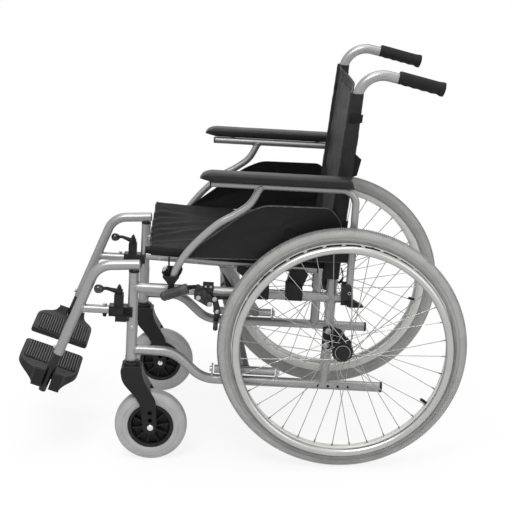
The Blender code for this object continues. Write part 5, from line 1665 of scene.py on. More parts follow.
@dataclass(frozen=True)
class RearWheel(Assembly):
    """A drive wheel: treaded tyre, rim, crossed spokes, hub, handrim and valve.

    Attributes:
        spokes: How many spokes it has.
        teeth: Blocks round the tread.
        tooth_depth: How far the gaps between them go in.
        rim_r: Outer radius of the rim.
        rim_inner_r: Its inner radius.
        flange_x: Distance of the hub's flanges from its middle.
        handrim_x: Where the handrim's middle lies.
        handrim_r: Its radius.
        valve_angles: Where the valves are, on the left and on the right wheel, in degrees.
    """

    spokes: int = 36
    teeth: int = 380
    tooth_depth: float = 0.0024
    rim_r: float = 0.2703
    rim_inner_r: float = 0.2535
    flange_x: float = 0.0200
    handrim_x: float = 0.325
    handrim_r: float = 0.259
    valve_angles: Point = (-34.1, -13.7)

    def centre(self) -> Vector:
        """The wheel's middle, plumb."""
        return Vector((PLAN.wheel_x, 0, PLAN.axle_z))

    def polar(self, x: float, radius: float, angle: float) -> Vector:
        """A point about the axle."""
        return self.centre() + Vector((x, radius * math.cos(angle), radius * math.sin(angle)))

    def tyre(self) -> Form:
        """The tyre, with sidewall grooves and a toothed tread.

        Returns:
            The form.
        """
        outline = both_ways(
            mm(
                10.5, 270.8, 12.8, 272.2, 14.6, 275.7, 14.75, 276.2, 13.9, 276.6, 15.3, 277.2, 16.5, 283.2,
                16.55, 284, 15.7, 284.6, 16.8, 285.2, 16.95, 288.5, 16.4, 292.5, 15.2, 296.2, 13.8, 299,
                12.2, 301.2, 9.6, 302.9, 6, 304.2, 5.2, 303.4, 4.4, 304.5, 1.2, 305, 0, 304,
            )
        )
        rings = []
        count = self.teeth * 2
        for step in range(count):
            angle = 2 * math.pi * step / count
            ring = []
            for x, radius in outline:
                if step % 2 and abs(x) < 0.0158 and radius > 0.2950:
                    radius -= self.tooth_depth
                ring.append(self.polar(x, radius, angle + (0.5 * math.pi / self.teeth if x > 0 else 0.0)))
            rings.append(ring)
        return Form(Stance.PLUMB).skin(rings, loop=True)

    def rim(self) -> Form:
        """The rim's closed section, turned.

        Returns:
            The form.
        """
        half, outer, inner = 0.0125, self.rim_r, self.rim_inner_r
        section = [(half, outer), (half, outer - 0.0030), (half - 0.0006, outer - 0.0036)]
        section += [(half - 0.0002, outer - 0.0085), (half * 0.80, inner + 0.0030), (half * 0.62, inner + 0.0004)]
        section.append((half * 0.3, inner))
        return Form(Stance.PLUMB).lathe(both_ways(section), self.centre(), X, 180, closed=True)

    def hub(self) -> Form:
        """The hub's barrel with two scalloped flanges.

        Returns:
            The form.
        """
        form = Form(Stance.PLUMB)
        barrel = mm(
            -23, 6.6, -23, 17.5, -17.5, 17, -14, 15, 14, 15, 17, 17, 23.5, 17.5, 24.5, 16, 26.2, 14, 27, 12, 27, 6.6,
        )
        form.lathe(barrel, self.centre(), X, 48, closed=True)
        for side in (-1, 1):
            rings = []
            for x, radius in mm(-3, 25, -2.4, 26.2, 0, 27, 2.4, 26.2, 3, 25):
                ring = []
                for angle in [2 * math.pi * step / 108 for step in range(108)]:
                    scallop = 0.0011 * (0.5 - 0.5 * math.cos(18 * (angle - math.pi * side / 36)))
                    ring.append(self.polar(side * self.flange_x + x, radius - scallop, angle))
                rings.append(ring)
            form.skin(rings)
        return form

    def spoke_lines(self) -> list[tuple[Vector, Vector, int]]:
        """Each spoke's ends at the hub and at the rim, and the way it leads: +1 or -1.

        Returns:
            The ends and the lead of each spoke.
        """
        lines = []
        for side in (-1, 1):
            for number in range(self.spokes // 2):
                leading = 1 if number % 2 else -1
                hole_angle = 2 * math.pi * (number + side / 4) / (self.spokes / 2)
                hole = self.polar(side * self.flange_x + leading * 0.0029, 0.0235, hole_angle)
                rim_angle = hole_angle + leading * math.radians(60)
                lines.append((hole, self.polar(side * 0.003, self.rim_inner_r + 0.001, rim_angle), leading))
        return lines

    def spoke_set(self) -> Form:
        """All the spokes, each bent into its flange hole and headed.

        Returns:
            The form.
        """
        form = Form(Stance.PLUMB)
        head = mm(0, 1.2, 0.4, 2.1, 1.2, 2.1, 1.6, 1.2)
        for hole, end, leading in self.spoke_lines():
            along = (end - hole).normalized()
            through = Vector((-leading, 0, 0))
            path = [hole + through * 0.0046, hole + through * 0.0014, hole + through * 0.0004 + along * 0.0006]
            path += [hole + along * 0.0030, end]
            form.tube(path, 0.00100, 8, across=Vector((0.13, 0.71, 0.69)).cross(along).normalized())
            form.lathe(head, hole + through * 0.0040, through, 10)
        return form

    def nipples(self) -> Form:
        """The nipples where the spokes enter the rim.

        Returns:
            The form.
        """
        form = Form(Stance.PLUMB)
        for hole, end, _ in self.spoke_lines():
            form.lathe(mm(-1, 3.4, 0.8, 3.4, 1.2, 2.1, 8.5, 1.9, 9.2, 1.2), end, (hole - end).normalized(), 10)
        return form

    def handrim_ring(self) -> Form:
        """The bright handrim tube.

        Returns:
            The form.
        """
        out, tube_r = self.handrim_x - PLAN.wheel_x, 0.0095
        turns = [2 * math.pi * number / 20 for number in range(20)]
        section = [(out + tube_r * math.cos(turn), self.handrim_r + tube_r * math.sin(turn)) for turn in turns]
        angles = [2 * math.pi * step / 168 for step in range(168)]
        return Form(Stance.PLUMB).skin([[self.polar(x, r, angle) for x, r in section] for angle in angles], loop=True)

    def round_the_rim(self, profile: Sequence[Point], x: float, radius: float) -> Form:
        """Six turned parts between the rim and the handrim.

        Args:
            profile: Their section.
            x: Where they start, outward from the wheel's middle.
            radius: How far from the axle they are.

        Returns:
            The parts.
        """
        form = Form(Stance.PLUMB)
        for number in range(6):
            form.lathe(profile, self.polar(x, radius, math.radians((number + 0.25) * 60)), X, 20)
        return form

    def valve(self, angle: float) -> Form:
        """A capped valve that stands inward from the rim.

        Args:
            angle: Where it is, in degrees.

        Returns:
            The valve.
        """
        turn = math.radians(angle)
        foot = self.polar(0.0, self.rim_inner_r + 0.002, turn)
        inward = (self.centre() - foot).normalized()
        profile = mm(0, 4.8, 1.8, 4.4, 2.6, 3.2, 8, 3, 8.5, 3.9, 18.5, 3.7)
        return Form(Stance.PLUMB).lathe([*profile, (0.0200, 0.0028)], foot, inward, 16)

    def hub_cover(self) -> Form:
        """The black ring round the release button."""
        profile = mm(23.6, 17, 24, 20, 29, 20.3, 30.4, 19.6, 30.6, 18.6, 29.8, 17.2)
        return Form(Stance.PLUMB).lathe(profile, self.centre(), X, 40, closed=True)

    def cover_ring(self) -> Form:
        """A thin bright metal ring in the hub's cover: a painted highlight round the cover's rim."""
        profile = mm(29, 17.1, 30.4, 17.2, 30.9, 17.8, 30.6, 18.7, 29, 18.8)
        return Form(Stance.PLUMB).lathe(profile, self.centre(), X, 40, closed=True)

    def dashes(self) -> Form:
        """The row of dark dashes round the rim's outer side.

        Returns:
            The form.
        """
        form = Form(Stance.PLUMB)
        section = mm(11.2, 263.3, 13.1, 263.3, 13.1, 266.7, 11.2, 266.7)
        for number in range(36):
            angles = [math.radians(number * 10 + 1 + step) for step in range(9)]
            form.skin([[self.polar(x, r, angle) for x, r in section] for angle in angles])
        return form

    def pieces(self) -> list[Piece]:
        """The wheel's pieces.

        Returns:
            The pieces.
        """
        body = "wheel"
        spacer = mm(0, 6.2, 1.2, 6.6, 3.5, 5, 10.5, 4.6, 14, 5)
        tab = mm(0, 5.5, 4, 5.5, 4.8, 4.8)
        return [
            Piece("treaded_tyre", self.tyre(), TYRE, body, "tyre", 38),
            Piece("turned_rim", self.rim(), RIM, body, "spoked_wheel", 32),
            Piece("flanged_hub", self.hub(), MATT, body),
            Piece("hub_cover", self.hub_cover(), PLASTIC, body),
            Piece("spoke_wires", self.spoke_set(), SPOKE, body, "", 60),
            Piece("nipples", self.nipples(), BOLT, body),
            Piece("rim_dashes", self.dashes(), GLOSS, body),
            # A bright ring that paints the highlight round the hub cover's rim.
            Piece("cover_ring", self.cover_ring(), BOLT, body),
            Piece("bright_handrim", self.handrim_ring(), HANDRIM, body, "handrim", 60),
            Piece("handrim_spacers", self.round_the_rim(spacer, 0.0128, 0.2625), PLASTIC, body),
            Piece("handrim_tabs", self.round_the_rim(tab, 0.0262, 0.2610), HANDRIM, body),
        ]

    def build(self) -> None:
        """Make the pieces of both wheels, and each wheel's valve at its own place."""
        super().build()
        for side, angle in zip(self.sides, self.valve_angles):
            Piece("valve", self.valve(angle), PLASTIC, "wheel").place(side)


@dataclass(frozen=True)
class AxleButton(Assembly):
    """The quick-release button in the hollow axle."""

    def button(self) -> Form:
        """A dished cap with a ring round it, on its stem.

        Returns:
            The form.
        """
        centre = Vector((0.3278, 0, PLAN.axle_z))
        profile = mm(
            -23, 2.4, -0.2, 2.4, 0, 14.8, 0.8, 16.2, 2.6, 16.5, 3.8, 15.6, 4, 14, 3.2, 12.6, 3.6, 10, 4.4, 6,
            4.5, 0.5,
        )
        return Form(Stance.PLUMB).lathe(profile, centre, X, 48)

    def pieces(self) -> list[Piece]:
        """The button."""
        return [Piece("release_cap", self.button(), PLASTIC, "button", "axle_button", 40)]


@dataclass(frozen=True)
class Caster(Assembly):
    """A caster: one-piece moulded fork, ribbed hub and solid tyre.

    Attributes:
        half: Half the tyre's width.
        fork_half: Half the fork's width.
        top_z: Height of the fork's crown.
        hole_z: Heights of the fork's two holes above the axle.
        ribs: Ribs of the hub.
    """

    half: float = 0.0225
    fork_half: float = 0.0305
    top_z: float = 0.2475
    hole_z: Point = (0.109, 0.129)
    ribs: int = 10

    def centre(self) -> Vector:
        """The caster wheel's middle, plumb."""
        return Vector((PLAN.side_x, PLAN.caster_y, PLAN.caster_r))

    def height(self, share: float) -> float:
        """Height at a share of the fork, from the wheel's axle to the crown."""
        return PLAN.caster_r + share * (self.top_z - PLAN.caster_r)

    def fork(self) -> Form:
        """The curved fork, cut by the wheel arch, with every edge softened.

        Returns:
            The form.
        """
        stem, axle, up = PLAN.stem_y, PLAN.caster_y, self.height
        outline = [
            (stem - 0.0210, self.top_z), (stem - 0.0252, up(0.861)), (stem - 0.0179, up(0.734)),
            (stem + 0.0002, up(0.583)), (stem + 0.0124, up(0.475)), (stem + 0.0214, up(0.324)),
            (axle - 0.0191, 0.0905), (axle - 0.0115, 0.0765), (axle, 0.0725), (axle + 0.0105, 0.0765),
            (axle + 0.0157, 0.0905), (axle + 0.0155, up(0.365)), (axle + 0.0112, up(0.495)),
            (axle + 0.0006, up(0.624)), (stem + 0.0326, up(0.773)), (stem + 0.0267, up(0.902)),
            (stem + 0.0225, self.top_z),
        ]
        lowest = PLAN.caster_r - 0.030
        wide = [(up(0.748), self.fork_half), (up(0.927), 0.0255), (self.top_z + 0.01, 0.0215)]
        front = [(-x, z) for z, x in reversed(wide)] + [(-self.fork_half, lowest), (self.fork_half, lowest)]
        front += [(x, z) for z, x in wide]
        base = Form(Stance.PLUMB).prism(curve_outline(outline, 4), Vector((PLAN.side_x - 0.045, 0, 0)), U, W, 0.09 * X)
        faces = Form(Stance.PLUMB).prism(front, Vector((PLAN.side_x, stem - 0.08, 0)), X, W, 0.20 * U)
        cutters = [Form(Stance.PLUMB).lathe(mm(-25, 91, -22, 96, 22, 96, 25, 91), self.centre(), X, 72)]
        for z in self.hole_z:
            cutters.append(Form(Stance.PLUMB).lathe(mm(-50, 5.5, 50, 5.5), Vector((PLAN.side_x, axle, z)), X, 24))
        return moulded(carve(carve(base, [faces], "INTERSECT"), cutters), 0.0011, 5, 0.28)

    def dust_ring(self) -> Form:
        """The lipped dust ring on the crown, and the stem in the post.

        Returns:
            The form.
        """
        profile = mm(
            245.5, 19, 247, 21.6, 249.2, 22.4, 251.2, 22.1, 252, 20.8, 253, 20.8, 254, 22.4, 256.2, 22.2, 258, 20,
            258.7, 17, 258.7, 6.5, 308, 6.5,
        )
        return Form(Stance.PLUMB).lathe(profile, Vector((PLAN.side_x, PLAN.stem_y, 0)), W, 44)

    def bolt(self) -> Form:
        """The axle bolt: a socket head outside, a nut inside.

        Returns:
            The form.
        """
        form = Form(Stance.PLUMB)
        reach = self.fork_half - 0.0012
        form.socket_bolt(self.centre() + X * reach, X, 0.0076, 0.0038)
        form.lathe(mm(0, 9.2, 1.2, 9), self.centre() + X * (reach - 0.0002), X, 28)
        form.hex_bolt(self.centre() - X * reach, -X, 0.0072, 0.0036)
        form.rod(self.centre() - X * reach, self.centre() + X * reach, 0.0042)
        return form

    def tyre(self) -> Form:
        """The smooth solid tyre, with a faint seam ring on each side.

        Returns:
            The form.
        """
        half = mm(
            16.5, 57.1, 18.5, 57.5, 20.5, 60, 21.9, 65, 22.3, 70, 21.7, 70.4, 22.4, 70.9, 22.45, 73.5, 21.7, 78.5,
            19.6, 83.2, 16.5, 86.8, 12, 89.2, 6, 90.3, 0, 90.5,
        )
        return Form(Stance.PLUMB).lathe(both_ways(half), self.centre(), X, 128, closed=True)

    def hub(self) -> Form:
        """The hub: rim with a lip, web, boss and ribs in the open recess.

        Returns:
            The form.
        """
        reach = self.half + 0.0016
        half = [(reach, 0.0052), (reach, 0.0112), (reach - 0.0008, 0.0124)]
        half += mm(6, 14.5, 4.5, 16.5, 4, 44, 5.5, 46, 16.5, 47.8, 18.6, 48.2, 19.2, 49, 19.2, 55.6, 18.2, 56.6)
        form = Form(Stance.PLUMB).lathe(both_ways(half), self.centre(), X, 100, closed=True)
        for number in range(self.ribs):
            angle = 2 * math.pi * number / self.ribs + 0.12
            radial = Vector((0, math.cos(angle), math.sin(angle)))
            across = X.cross(radial)
            rib = mm(46.5, -16.2, 13.2, -19.6, 13.2, 19.6, 46.5, 16.2)
            form.prism(rib, self.centre() - across * 0.0013, radial, X, across * 0.0026)
        return form

    def pieces(self) -> list[Piece]:
        """The caster's pieces.

        Returns:
            The pieces.
        """
        return [
            Piece("moulded_fork", self.fork(), MATT, "caster", "caster_fork", 70),
            Piece("dust_ring", self.dust_ring(), PLASTIC, "caster"),
            Piece("caster_bolt", self.bolt(), CHROME, "caster"),
            Piece("solid_tyre", self.tyre(), CASTER_TYRE, "caster_wheel", "caster_tyre", 32),
            Piece("ribbed_hub", self.hub(), PLASTIC, "caster_wheel", "caster_hub", 35, 0.0005),
        ]


@dataclass(frozen=True)
class LegSupport(Assembly):
    """The swing-away hanger with its latch, extension tube and footplate.

    Attributes:
        hanger_end: Where the hanger tube ends, behind the post.
        bracket_w: Height of the bracket tube.
        bracket_r: Its radius.
        bumper_u: Where the bumper is, along the chair.
        lever_z: Where the latch lever's hub starts, above the axle.
        flip_x: Where the footplate's hinge pin lies.
        plate_rear: The plate's rear edge, from the leg's end.
        tread_ribs: Ribs on the plate.
    """

    hanger_end: Point = (-0.5032, 0.1695)
    bracket_w: float = 0.0516
    bracket_r: float = 0.0105
    bumper_u: float = -0.5835
    lever_z: float = 0.0943
    flip_x: float = 0.2215
    plate_rear: float = -0.069
    tread_ribs: int = 21
    kept = (("latch_housing", PLASTIC, 0.0008),)

    def hanger(self) -> Form:
        """The bent hanger tube with its bracket tube and pivot pin.

        Returns:
            The form.
        """
        form = Form()
        top = side_point(PLAN.leg_corner)
        end = side_point(self.hanger_end)
        path = fillet_path([(end, 0), (top, 0.055), (PLAN.on_leg(PLAN.leg_length), 0)])
        form.tube(path, PLAN.tube_r, 32)
        form.lathe(mm(118, 4, 121, 6, 168, 6), side_point((PLAN.post_u, 0.0)), W, 24)
        bracket = side_point((-0.561, self.bracket_w))
        form.tube([bracket, side_point((-0.648, self.bracket_w))], self.bracket_r, 28)
        form.weld_round(bracket, -U, self.bracket_r, PLAN.on_leg(0.03), PLAN.leg_down(), PLAN.tube_r)
        rise = PLAN.leg_corner[1] - self.hanger_end[1]
        backward = Vector((0, self.hanger_end[0] - PLAN.leg_corner[0], -rise)).normalized()
        return form.lathe(mm(-0.6, 12.5, 1.6, 11.9, 3, 10, 3.6, 6, 3.8, 0.5), end, backward, 32)

    def leg_bolts(self) -> Form:
        """The bumper's bolt with its lock nut, and the leg's set screw.

        Returns:
            The form.
        """
        form = Form()
        bumper = Vector((PLAN.side_x, self.bumper_u, 0.0))
        form.lathe(mm(62.5, 3.6, 63, 4.2, 66.5, 4.2, 67, 3.6), bumper, W, 20)
        form.hex_bolt(bumper + W * 0.0615, W, 0.0056, 0.0050)
        inward = X.cross(PLAN.leg_down()) * -1
        return form.hex_bolt(PLAN.on_leg(PLAN.leg_length - 0.0125) + inward * 0.0122, inward, 0.0046, 0.0048)

    def bumper(self) -> Form:
        """The black rubber cone below the bracket tube."""
        profile = mm(33, 3, 33.8, 4.2, 37, 4.8, 41.5, 6.4, 42.5, 5.8)
        return Form().lathe(profile, Vector((PLAN.side_x, self.bumper_u, 0.0)), W, 24)

    def clamp_panel(self) -> Form:
        """Raised frame round the latch clamp's recessed side panel.

        Returns:
            The form.
        """
        outer = round_outline(mm(-571.5, 40.5, -516, 40.5, -516, 62.5, -571.5, 62.5), 0.0025)
        inner = round_outline(mm(-568.5, 43.5, -537.5, 43.5, -537.5, 59.5, -568.5, 59.5), 0.0015)
        frame = Form().slab(outer, PLAN.side_x + 0.0150, PLAN.side_x + 0.0155)
        return carve(frame, [Form().slab(inner, PLAN.side_x + 0.014, PLAN.side_x + 0.0165)])

    def lever(self) -> Form:
        """The latch lever: flat hub and curved arm.

        Returns:
            The form.
        """
        floor = self.lever_z
        top = floor + 0.011
        hub = [(floor, 0.0080), (floor + 0.0008, 0.0088), (top - 0.0012, 0.0088), (top, 0.0074), (top, 0.0058)]
        form = Form().lathe([*hub, (floor, 0.0058)], Vector((PLAN.side_x, -0.5495, 0.0)), W, 36, closed=True)
        middle = (floor + top) / 2
        stations = mm(0, -548, -1, 2, -559, 1.2, 4.5, -570, 4.4, 6.2, -581, 7.2, each=3)
        points = [Vector((PLAN.side_x + x, u, middle + rise)) for x, u, rise in stations]
        path = curve_path([*points, Vector((0.2430, -0.5925, 0.1060))], 6)
        last = len(path) - 1
        shares = [min(1.0, index / last * 1.15) for index in range(last + 1)]
        return form.tube(path, [0.0076 - 0.0034 * math.sin(0.5 * math.pi * share) for share in shares], 20)

    def knob(self) -> Form:
        """The lever's glossy egg-shaped knob.

        Returns:
            The form.
        """
        profile = []
        for t in [-1 + 2 * step / 14 for step in range(15)]:
            profile.append((0.0128 * t, 0.0110 * (math.sqrt(max(1 - t * t, 0.0)) * (1.0 + 0.12 * t) + 0.02)))
        return Form().lathe(profile, Vector((0.2430, -0.5985, 0.1052)), -U, 32)

    def foot_tube(self) -> Form:
        """The extension tube with its knuckle, web and hinge pin.

        Returns:
            The form.
        """
        form = Form()
        down = PLAN.leg_down()
        end = PLAN.on_leg(PLAN.leg_length)
        forward, upward, _ = self.plate_frame()
        stations = mm(-30, 9, -2, 11.2, 50, 11.2, 62, 9.2, 105.5, 9.2)
        form.tube([end + down * at for at, _ in stations], [radius for _, radius in stations], 28)
        form.lathe(mm(105, 8.8, 106.4, 8, 107, 5, 107, 0.4), end, down, 28)
        centre = self.flip_pin()
        form.rod(centre - forward * 0.0092, centre + forward * 0.0122, 0.0052)
        web = round_outline(mm(-1, -4.2, 14.5, -4.2, 14.5, 4, -1, 4), 0.0008)
        form.prism(web, centre - forward * 0.0060, X, upward, forward * 0.0140)
        form.rod(centre - forward * 0.0240, centre + forward * 0.0260, 0.0026)
        for number in range(3):
            form.lathe(mm(8.2, 2.4, 9, 2.4, 9, 1.7, 7, 1.6), end + down * (0.022 + number * 0.019), X, 16)
        return form

    def plate_frame(self) -> tuple[Vector, Vector, Vector]:
        """The footplate's forward and upward directions, and its top's middle at x = 0.

        Returns:
            Forward, upward and the middle.
        """
        forward = Vector((0, -math.cos(PLAN.plate_tilt), math.sin(PLAN.plate_tilt)))
        upward = Vector((0, math.sin(PLAN.plate_tilt), math.cos(PLAN.plate_tilt)))
        origin = PLAN.on_leg(PLAN.leg_length + 0.058)
        return forward, upward, Vector((0, origin.y, origin.z))

    def flip_pin(self) -> Vector:
        """The middle of the footplate's hinge pin."""
        _, upward, base = self.plate_frame()
        return Vector((self.flip_x, base.y, base.z)) - upward * 0.004

    def plate(self) -> Form:
        """The footplate: dished skin with skirts, hollow below and slotted for its hinge.

        Returns:
            The form.
        """
        forward, upward, base = self.plate_frame()
        stations = mm(
            44, -56, 73, -12, -0.8, 45.2, -61.5, 79, -13.5, 0, 49, -66.5, 84, -14.5, 0, 56, -69, 86, -14.5, 0,
            156, -69, 86, -14.5, 0, 176, -68, 84.5, -15, 0, 190, -65, 80, -16.5, 0, 202, -59, 72.5, -19, 0,
            212, -52, 63, -22.5, 0, 222, -45, 52, -27, 0.2, 231, -40, 43, -31.5, 3, 238, -37.5, 38.5, -34, 8.5,
            243, -36, 36.2, -35.5, 11.2, 250.5, -35.5, 35.5, -36, 11.2, 252.5, -34.5, 34.5, -35, 10, each=5,
        )
        rings = []
        for x, rear, front, low, high in stations:
            section = round_outline([(rear, low), (front, low), (front, high), (rear, high)], 0.0022, math.radians(30))
            rings.append([base + X * x + forward * a + upward * b for a, b in section])
        under = round_outline(mm(48.5, -64.5, 180, -64.5, 207.5, -48, 207.5, 56, 180, 81.5, 48.5, 81.5), 0.008)
        hollow = Form().prism(under, base - upward * 0.0245, X, forward, upward * 0.0190)
        gap = mm(213.3, -9.8, 272.5, -9.8, 272.5, 12.8, 213.3, 12.8)
        slot = Form().prism(gap, base - upward * 0.052, X, forward, upward * 0.072)
        pin = Form().rod(self.flip_pin() - forward * 0.026, self.flip_pin() + forward * 0.028, 0.0030)
        return moulded(carve(Form().skin(rings), [hollow, slot, pin]), 0.0012, 3, 0.45)

    def tread_bed(self) -> Form:
        """A shallow near-black bed that the plate's ribs stand on: painted shade in the grooves between them.

        Returns:
            The form.
        """
        forward, upward, base = self.plate_frame()
        outline = mm(50, -62.5, 174, -60, 176, 68.5, 169, 77, 50, 72)
        rounded = round_outline(outline, [0.008, 0.006, 0.006, 0.010, 0.010], math.radians(15))
        return Form().prism(rounded, base - upward * 0.0010, X, forward, upward * 0.0019)

    def jaws(self) -> Form:
        """The black hinge jaws with their raised, rounded lips.

        Returns:
            The form.
        """
        forward, upward, base = self.plate_frame()
        form = Form()
        outline = mm(233, -30, 252.5, -36.2, 252.9, 7.5, 250.5, 12.2, 244, 12.8, 239.5, 8, 233, 1)
        rounded = round_outline(outline, [0.002, 0.0015, 0.003, 0.003, 0.0035, 0.003, 0.002], math.radians(20))
        for low, high in mm(-36.2, -9.7, 10, 36.2):
            form.prism(rounded, base + forward * low, X, upward, forward * (high - low))
        return form

    def tread(self) -> Form:
        """The ribs on the plate's top, sloped down at both ends.

        Returns:
            The form.
        """
        form = Form()
        forward, upward, base = self.plate_frame()
        pitch = 0.1300 / (self.tread_ribs - 1)
        for number in range(self.tread_ribs):
            middle = self.plate_rear + 0.0100 + number * pitch
            section = [(middle + a, b) for a, b in both_ways(mm(1.6, -1, 1.5, 1.6, 1, 2.4, 0, 2.6))]
            foot = [(a, min(b, -0.0004)) for a, b in section]
            start = base + X * (0.0495 + (0.002 if 0 < number < self.tread_ribs - 1 else 0.008))
            reach = 0.1725 if abs(middle) < 0.050 else 0.1670
            places = (
                (start, foot), (start + X * 0.0012, section), (base + X * (reach - 0.0016), section),
                (base + X * reach, foot),
            )
            form.skin([[spot + forward * a + upward * b for a, b in shape] for spot, shape in places])
        return form

    def plate_bolts(self) -> Form:
        """The hinge pin's heads in the jaws.

        Returns:
            The form.
        """
        forward = self.plate_frame()[0]
        form = Form().rivet(self.flip_pin() + forward * 0.0352, forward, 0.0040, 0.0020)
        return form.rivet(self.flip_pin() - forward * 0.0352, -forward, 0.0040, 0.0020)

    def pieces(self) -> list[Piece]:
        """The leg support's pieces.

        Returns:
            The pieces.
        """
        return [
            Piece("hanger_tube", self.hanger(), SILVER, "legrest", "hanger", 50),
            Piece("leg_bolts", self.leg_bolts(), BOLT, "legrest"),
            Piece("rubber_bumper", self.bumper(), GRIP, "legrest"),
            Piece("clamp_panel", self.clamp_panel(), PLASTIC, "legrest", "", 42, 0.0003),
            Piece("lever_arm", self.lever(), PLASTIC, "latch", "latch_lever"),
            Piece("lever_knob", self.knob(), GLOSS, "latch", "", 80),
            Piece("extension_tube", self.foot_tube(), COATED, "legrest", "footrest_tube"),
            Piece("moulded_plate", self.plate(), FOOTPLATE, "plate", "footplate", 60),
            # Lighter ribs: a painted highlight on their tops.
            Piece("tread_ribs", self.tread(), TREAD_HIGHLIGHT, "plate", "", 60),
            # The near-black bed paints the shade in the grooves between the ribs.
            Piece("tread_bed", self.tread_bed(), GROOVE_SHADE, "plate"),
            Piece("hinge_jaws", self.jaws(), PLASTIC, "plate", "", 35, 0.0010),
            Piece("plate_bolts", self.plate_bolts(), BOLT, "plate"),
        ]


@dataclass(frozen=True)
class ArmSupport(Assembly):
    """The flip-back armrest: hoop, strut, pad and side guard.

    Attributes:
        front: Where the hoop's top tube ends in front.
        rear: Where its leg is.
    """

    front: float = -0.338
    rear: float = 0.009
    kept = (("armrest_release", PLASTIC, 0.0006),)

    def hoop_path(self) -> list[Vector]:
        """The hoop's centre line, from its front end to the hinge."""
        corners = ((self.front, PLAN.armrest_w, 0), (self.rear, PLAN.armrest_w, 0.035), (self.rear, 0.128, 0))
        return fillet_path([(side_point((u, w), PLAN.armrest_x), radius) for u, w, radius in corners])

    def strut_path(self) -> list[Vector]:
        """The curved strut's centre line.

        Returns:
            The path's points.
        """
        points = mm(
            -220.4, 386.2, -241.9, 344.3, -275.9, 316, -314.4, 291.3, -356.1, 251.9, -390.3, 210.9, -412.5, 171.9,
            -418, 150,
        )
        return curve_path([side_point(point, PLAN.armrest_x) for point in points], 6)

    def frame(self) -> Form:
        """The hoop and strut, welded where they meet.

        Returns:
            The form.
        """
        strut = self.strut_path()
        form = Form().tube(self.hoop_path(), PLAN.armrest_r, 28).tube(strut, PLAN.armrest_r, 28)
        top = Vector((PLAN.armrest_x, -0.25, PLAN.armrest_w))
        along = (strut[0] - strut[6]).normalized()
        return form.weld_round(strut[6], along, PLAN.armrest_r, top, U, PLAN.armrest_r)

    def plugs(self) -> Form:
        """The black plug in the hoop's front end."""
        profile = mm(-4, 7.8, 0.2, 8.6, 2.4, 8.6, 3.6, 7.2, 4, 4, 4, 0.4)
        return Form().lathe(profile, Vector((PLAN.armrest_x, self.front, PLAN.armrest_w)), -U, 24)

    def screws(self) -> Form:
        """The hinge pin's head."""
        return Form().rivet(Vector((0.2551, 0.0072, 0.2133)), X, 0.0040, 0.0014)

    def discs(self) -> Form:
        """Faint sink marks that the guard's inner bosses leave on its face.

        Returns:
            The form.
        """
        form = Form()
        for u, w, radius in mm(-179, 305.6, 21.5, -143.2, 273.1, 16.5, each=3):
            profile = [(0.0, radius), (0.00030, radius - 0.0006), (0.00030, radius - 0.0016)]
            profile += [(0.00005, radius - 0.0024), (0.00012, 0.0004)]
            form.lathe(profile, Vector((0.2550, u, w)), X, 64)
        return form

    def guard_outline(self) -> list[Point]:
        """The side guard's rounded outline, lengthwise and up.

        Returns:
            The outline.
        """
        outline = mm(-208, 339.5, -254, 318, -405, 197, 20, 207, 20, 245, -17.5, 250, -19.5, 306, -48, 341.5)
        radii = [0.080, 0.110, 0.004, 0.006, 0.008, 0.014, 0.035, 0.030]
        return round_outline(outline, radii, math.radians(8))

    def guard(self) -> Form:
        """The moulded side guard with a raised edge line.

        Returns:
            The form.
        """
        rings = []
        for x, distance in mm(252.7, 1.2, 252.5, 0.4, 253, 0, 254.5, 0, 255.2, 0.5, 255.2, 2.2, 254.8, 3.4):
            rings.append([Vector((x, u, w)) for u, w in self.inset(self.guard_outline(), distance)])
        return Form().skin(rings)

    def edge_bead(self) -> Form:
        """The thin raised bead round the guard's face."""
        path = [Vector((0.2549, u, w)) for u, w in self.inset(self.guard_outline(), 0.0016)]
        return Form().tube([*path, path[0]], 0.0012, 8)

    def inset(self, points: Sequence[Point], distance: float) -> list[Point]:
        """An outline moved inward.

        Args:
            points: The closed outline.
            distance: How far.

        Returns:
            The moved outline.
        """
        area = sum(a[0] * b[1] - b[0] * a[1] for a, b in zip(points, [*points[1:], points[0]]))
        sense = 1 if area > 0 else -1
        made = []
        for index, (u, w) in enumerate(points):
            before = points[index - 1]
            after = points[(index + 1) % len(points)]
            run = Vector((after[0] - before[0], after[1] - before[1])).normalized()
            made.append((u - sense * run.y * distance, w + sense * run.x * distance))
        return made

    def pad(self) -> Form:
        """The foam pad: crowned top, tucked underside, rounded up-slanted nose, long crease.

        Returns:
            The form.
        """
        rings = []
        low, high = 0.3984, 0.4224
        middle, half = 0.2805, 0.0260
        front_u, length = -0.365, 0.366
        for u in [front_u + length * step / 64 for step in range(65)]:
            nose = min(1.0, max(0.0, (u - front_u) / 0.030))
            tail = min(1.0, max(0.0, (front_u + length - u) / 0.016))
            ease = max(min(math.sqrt(max(0.0, 1 - (1 - end) ** 2)) for end in (nose, tail)), 0.02)
            width = half * (0.55 + 0.45 * ease) if ease < 1 else half
            bottom = low + 0.0070 * (1 - nose)
            top = bottom + (high - bottom) * max(ease, 0.05) if ease < 1 else high
            soft = 0.0004 * noise.noise(Vector((u * 38, 0.3, 1.7)))
            ring = []
            for angle in [2 * math.pi * number / 44 for number in range(44)]:
                c = math.copysign(abs(math.cos(angle)) ** 0.42, math.cos(angle))
                s = math.copysign(abs(math.sin(angle)) ** 0.50, math.sin(angle))
                x = middle + width * c
                w = (bottom + top) / 2 + (top - bottom) / 2 * s
                if abs(s - 0.16) < 0.18 and abs(s) < 0.42:
                    x -= math.copysign(0.0009 * max(0.0, math.cos(math.pi * (s - 0.16) / 0.36)), c)
                if s > 0:
                    w += soft - 0.0010 * (abs(c) ** 3) * s
                ring.append(Vector((x, u, w)))
            rings.append(ring)
        return Form().skin(rings)

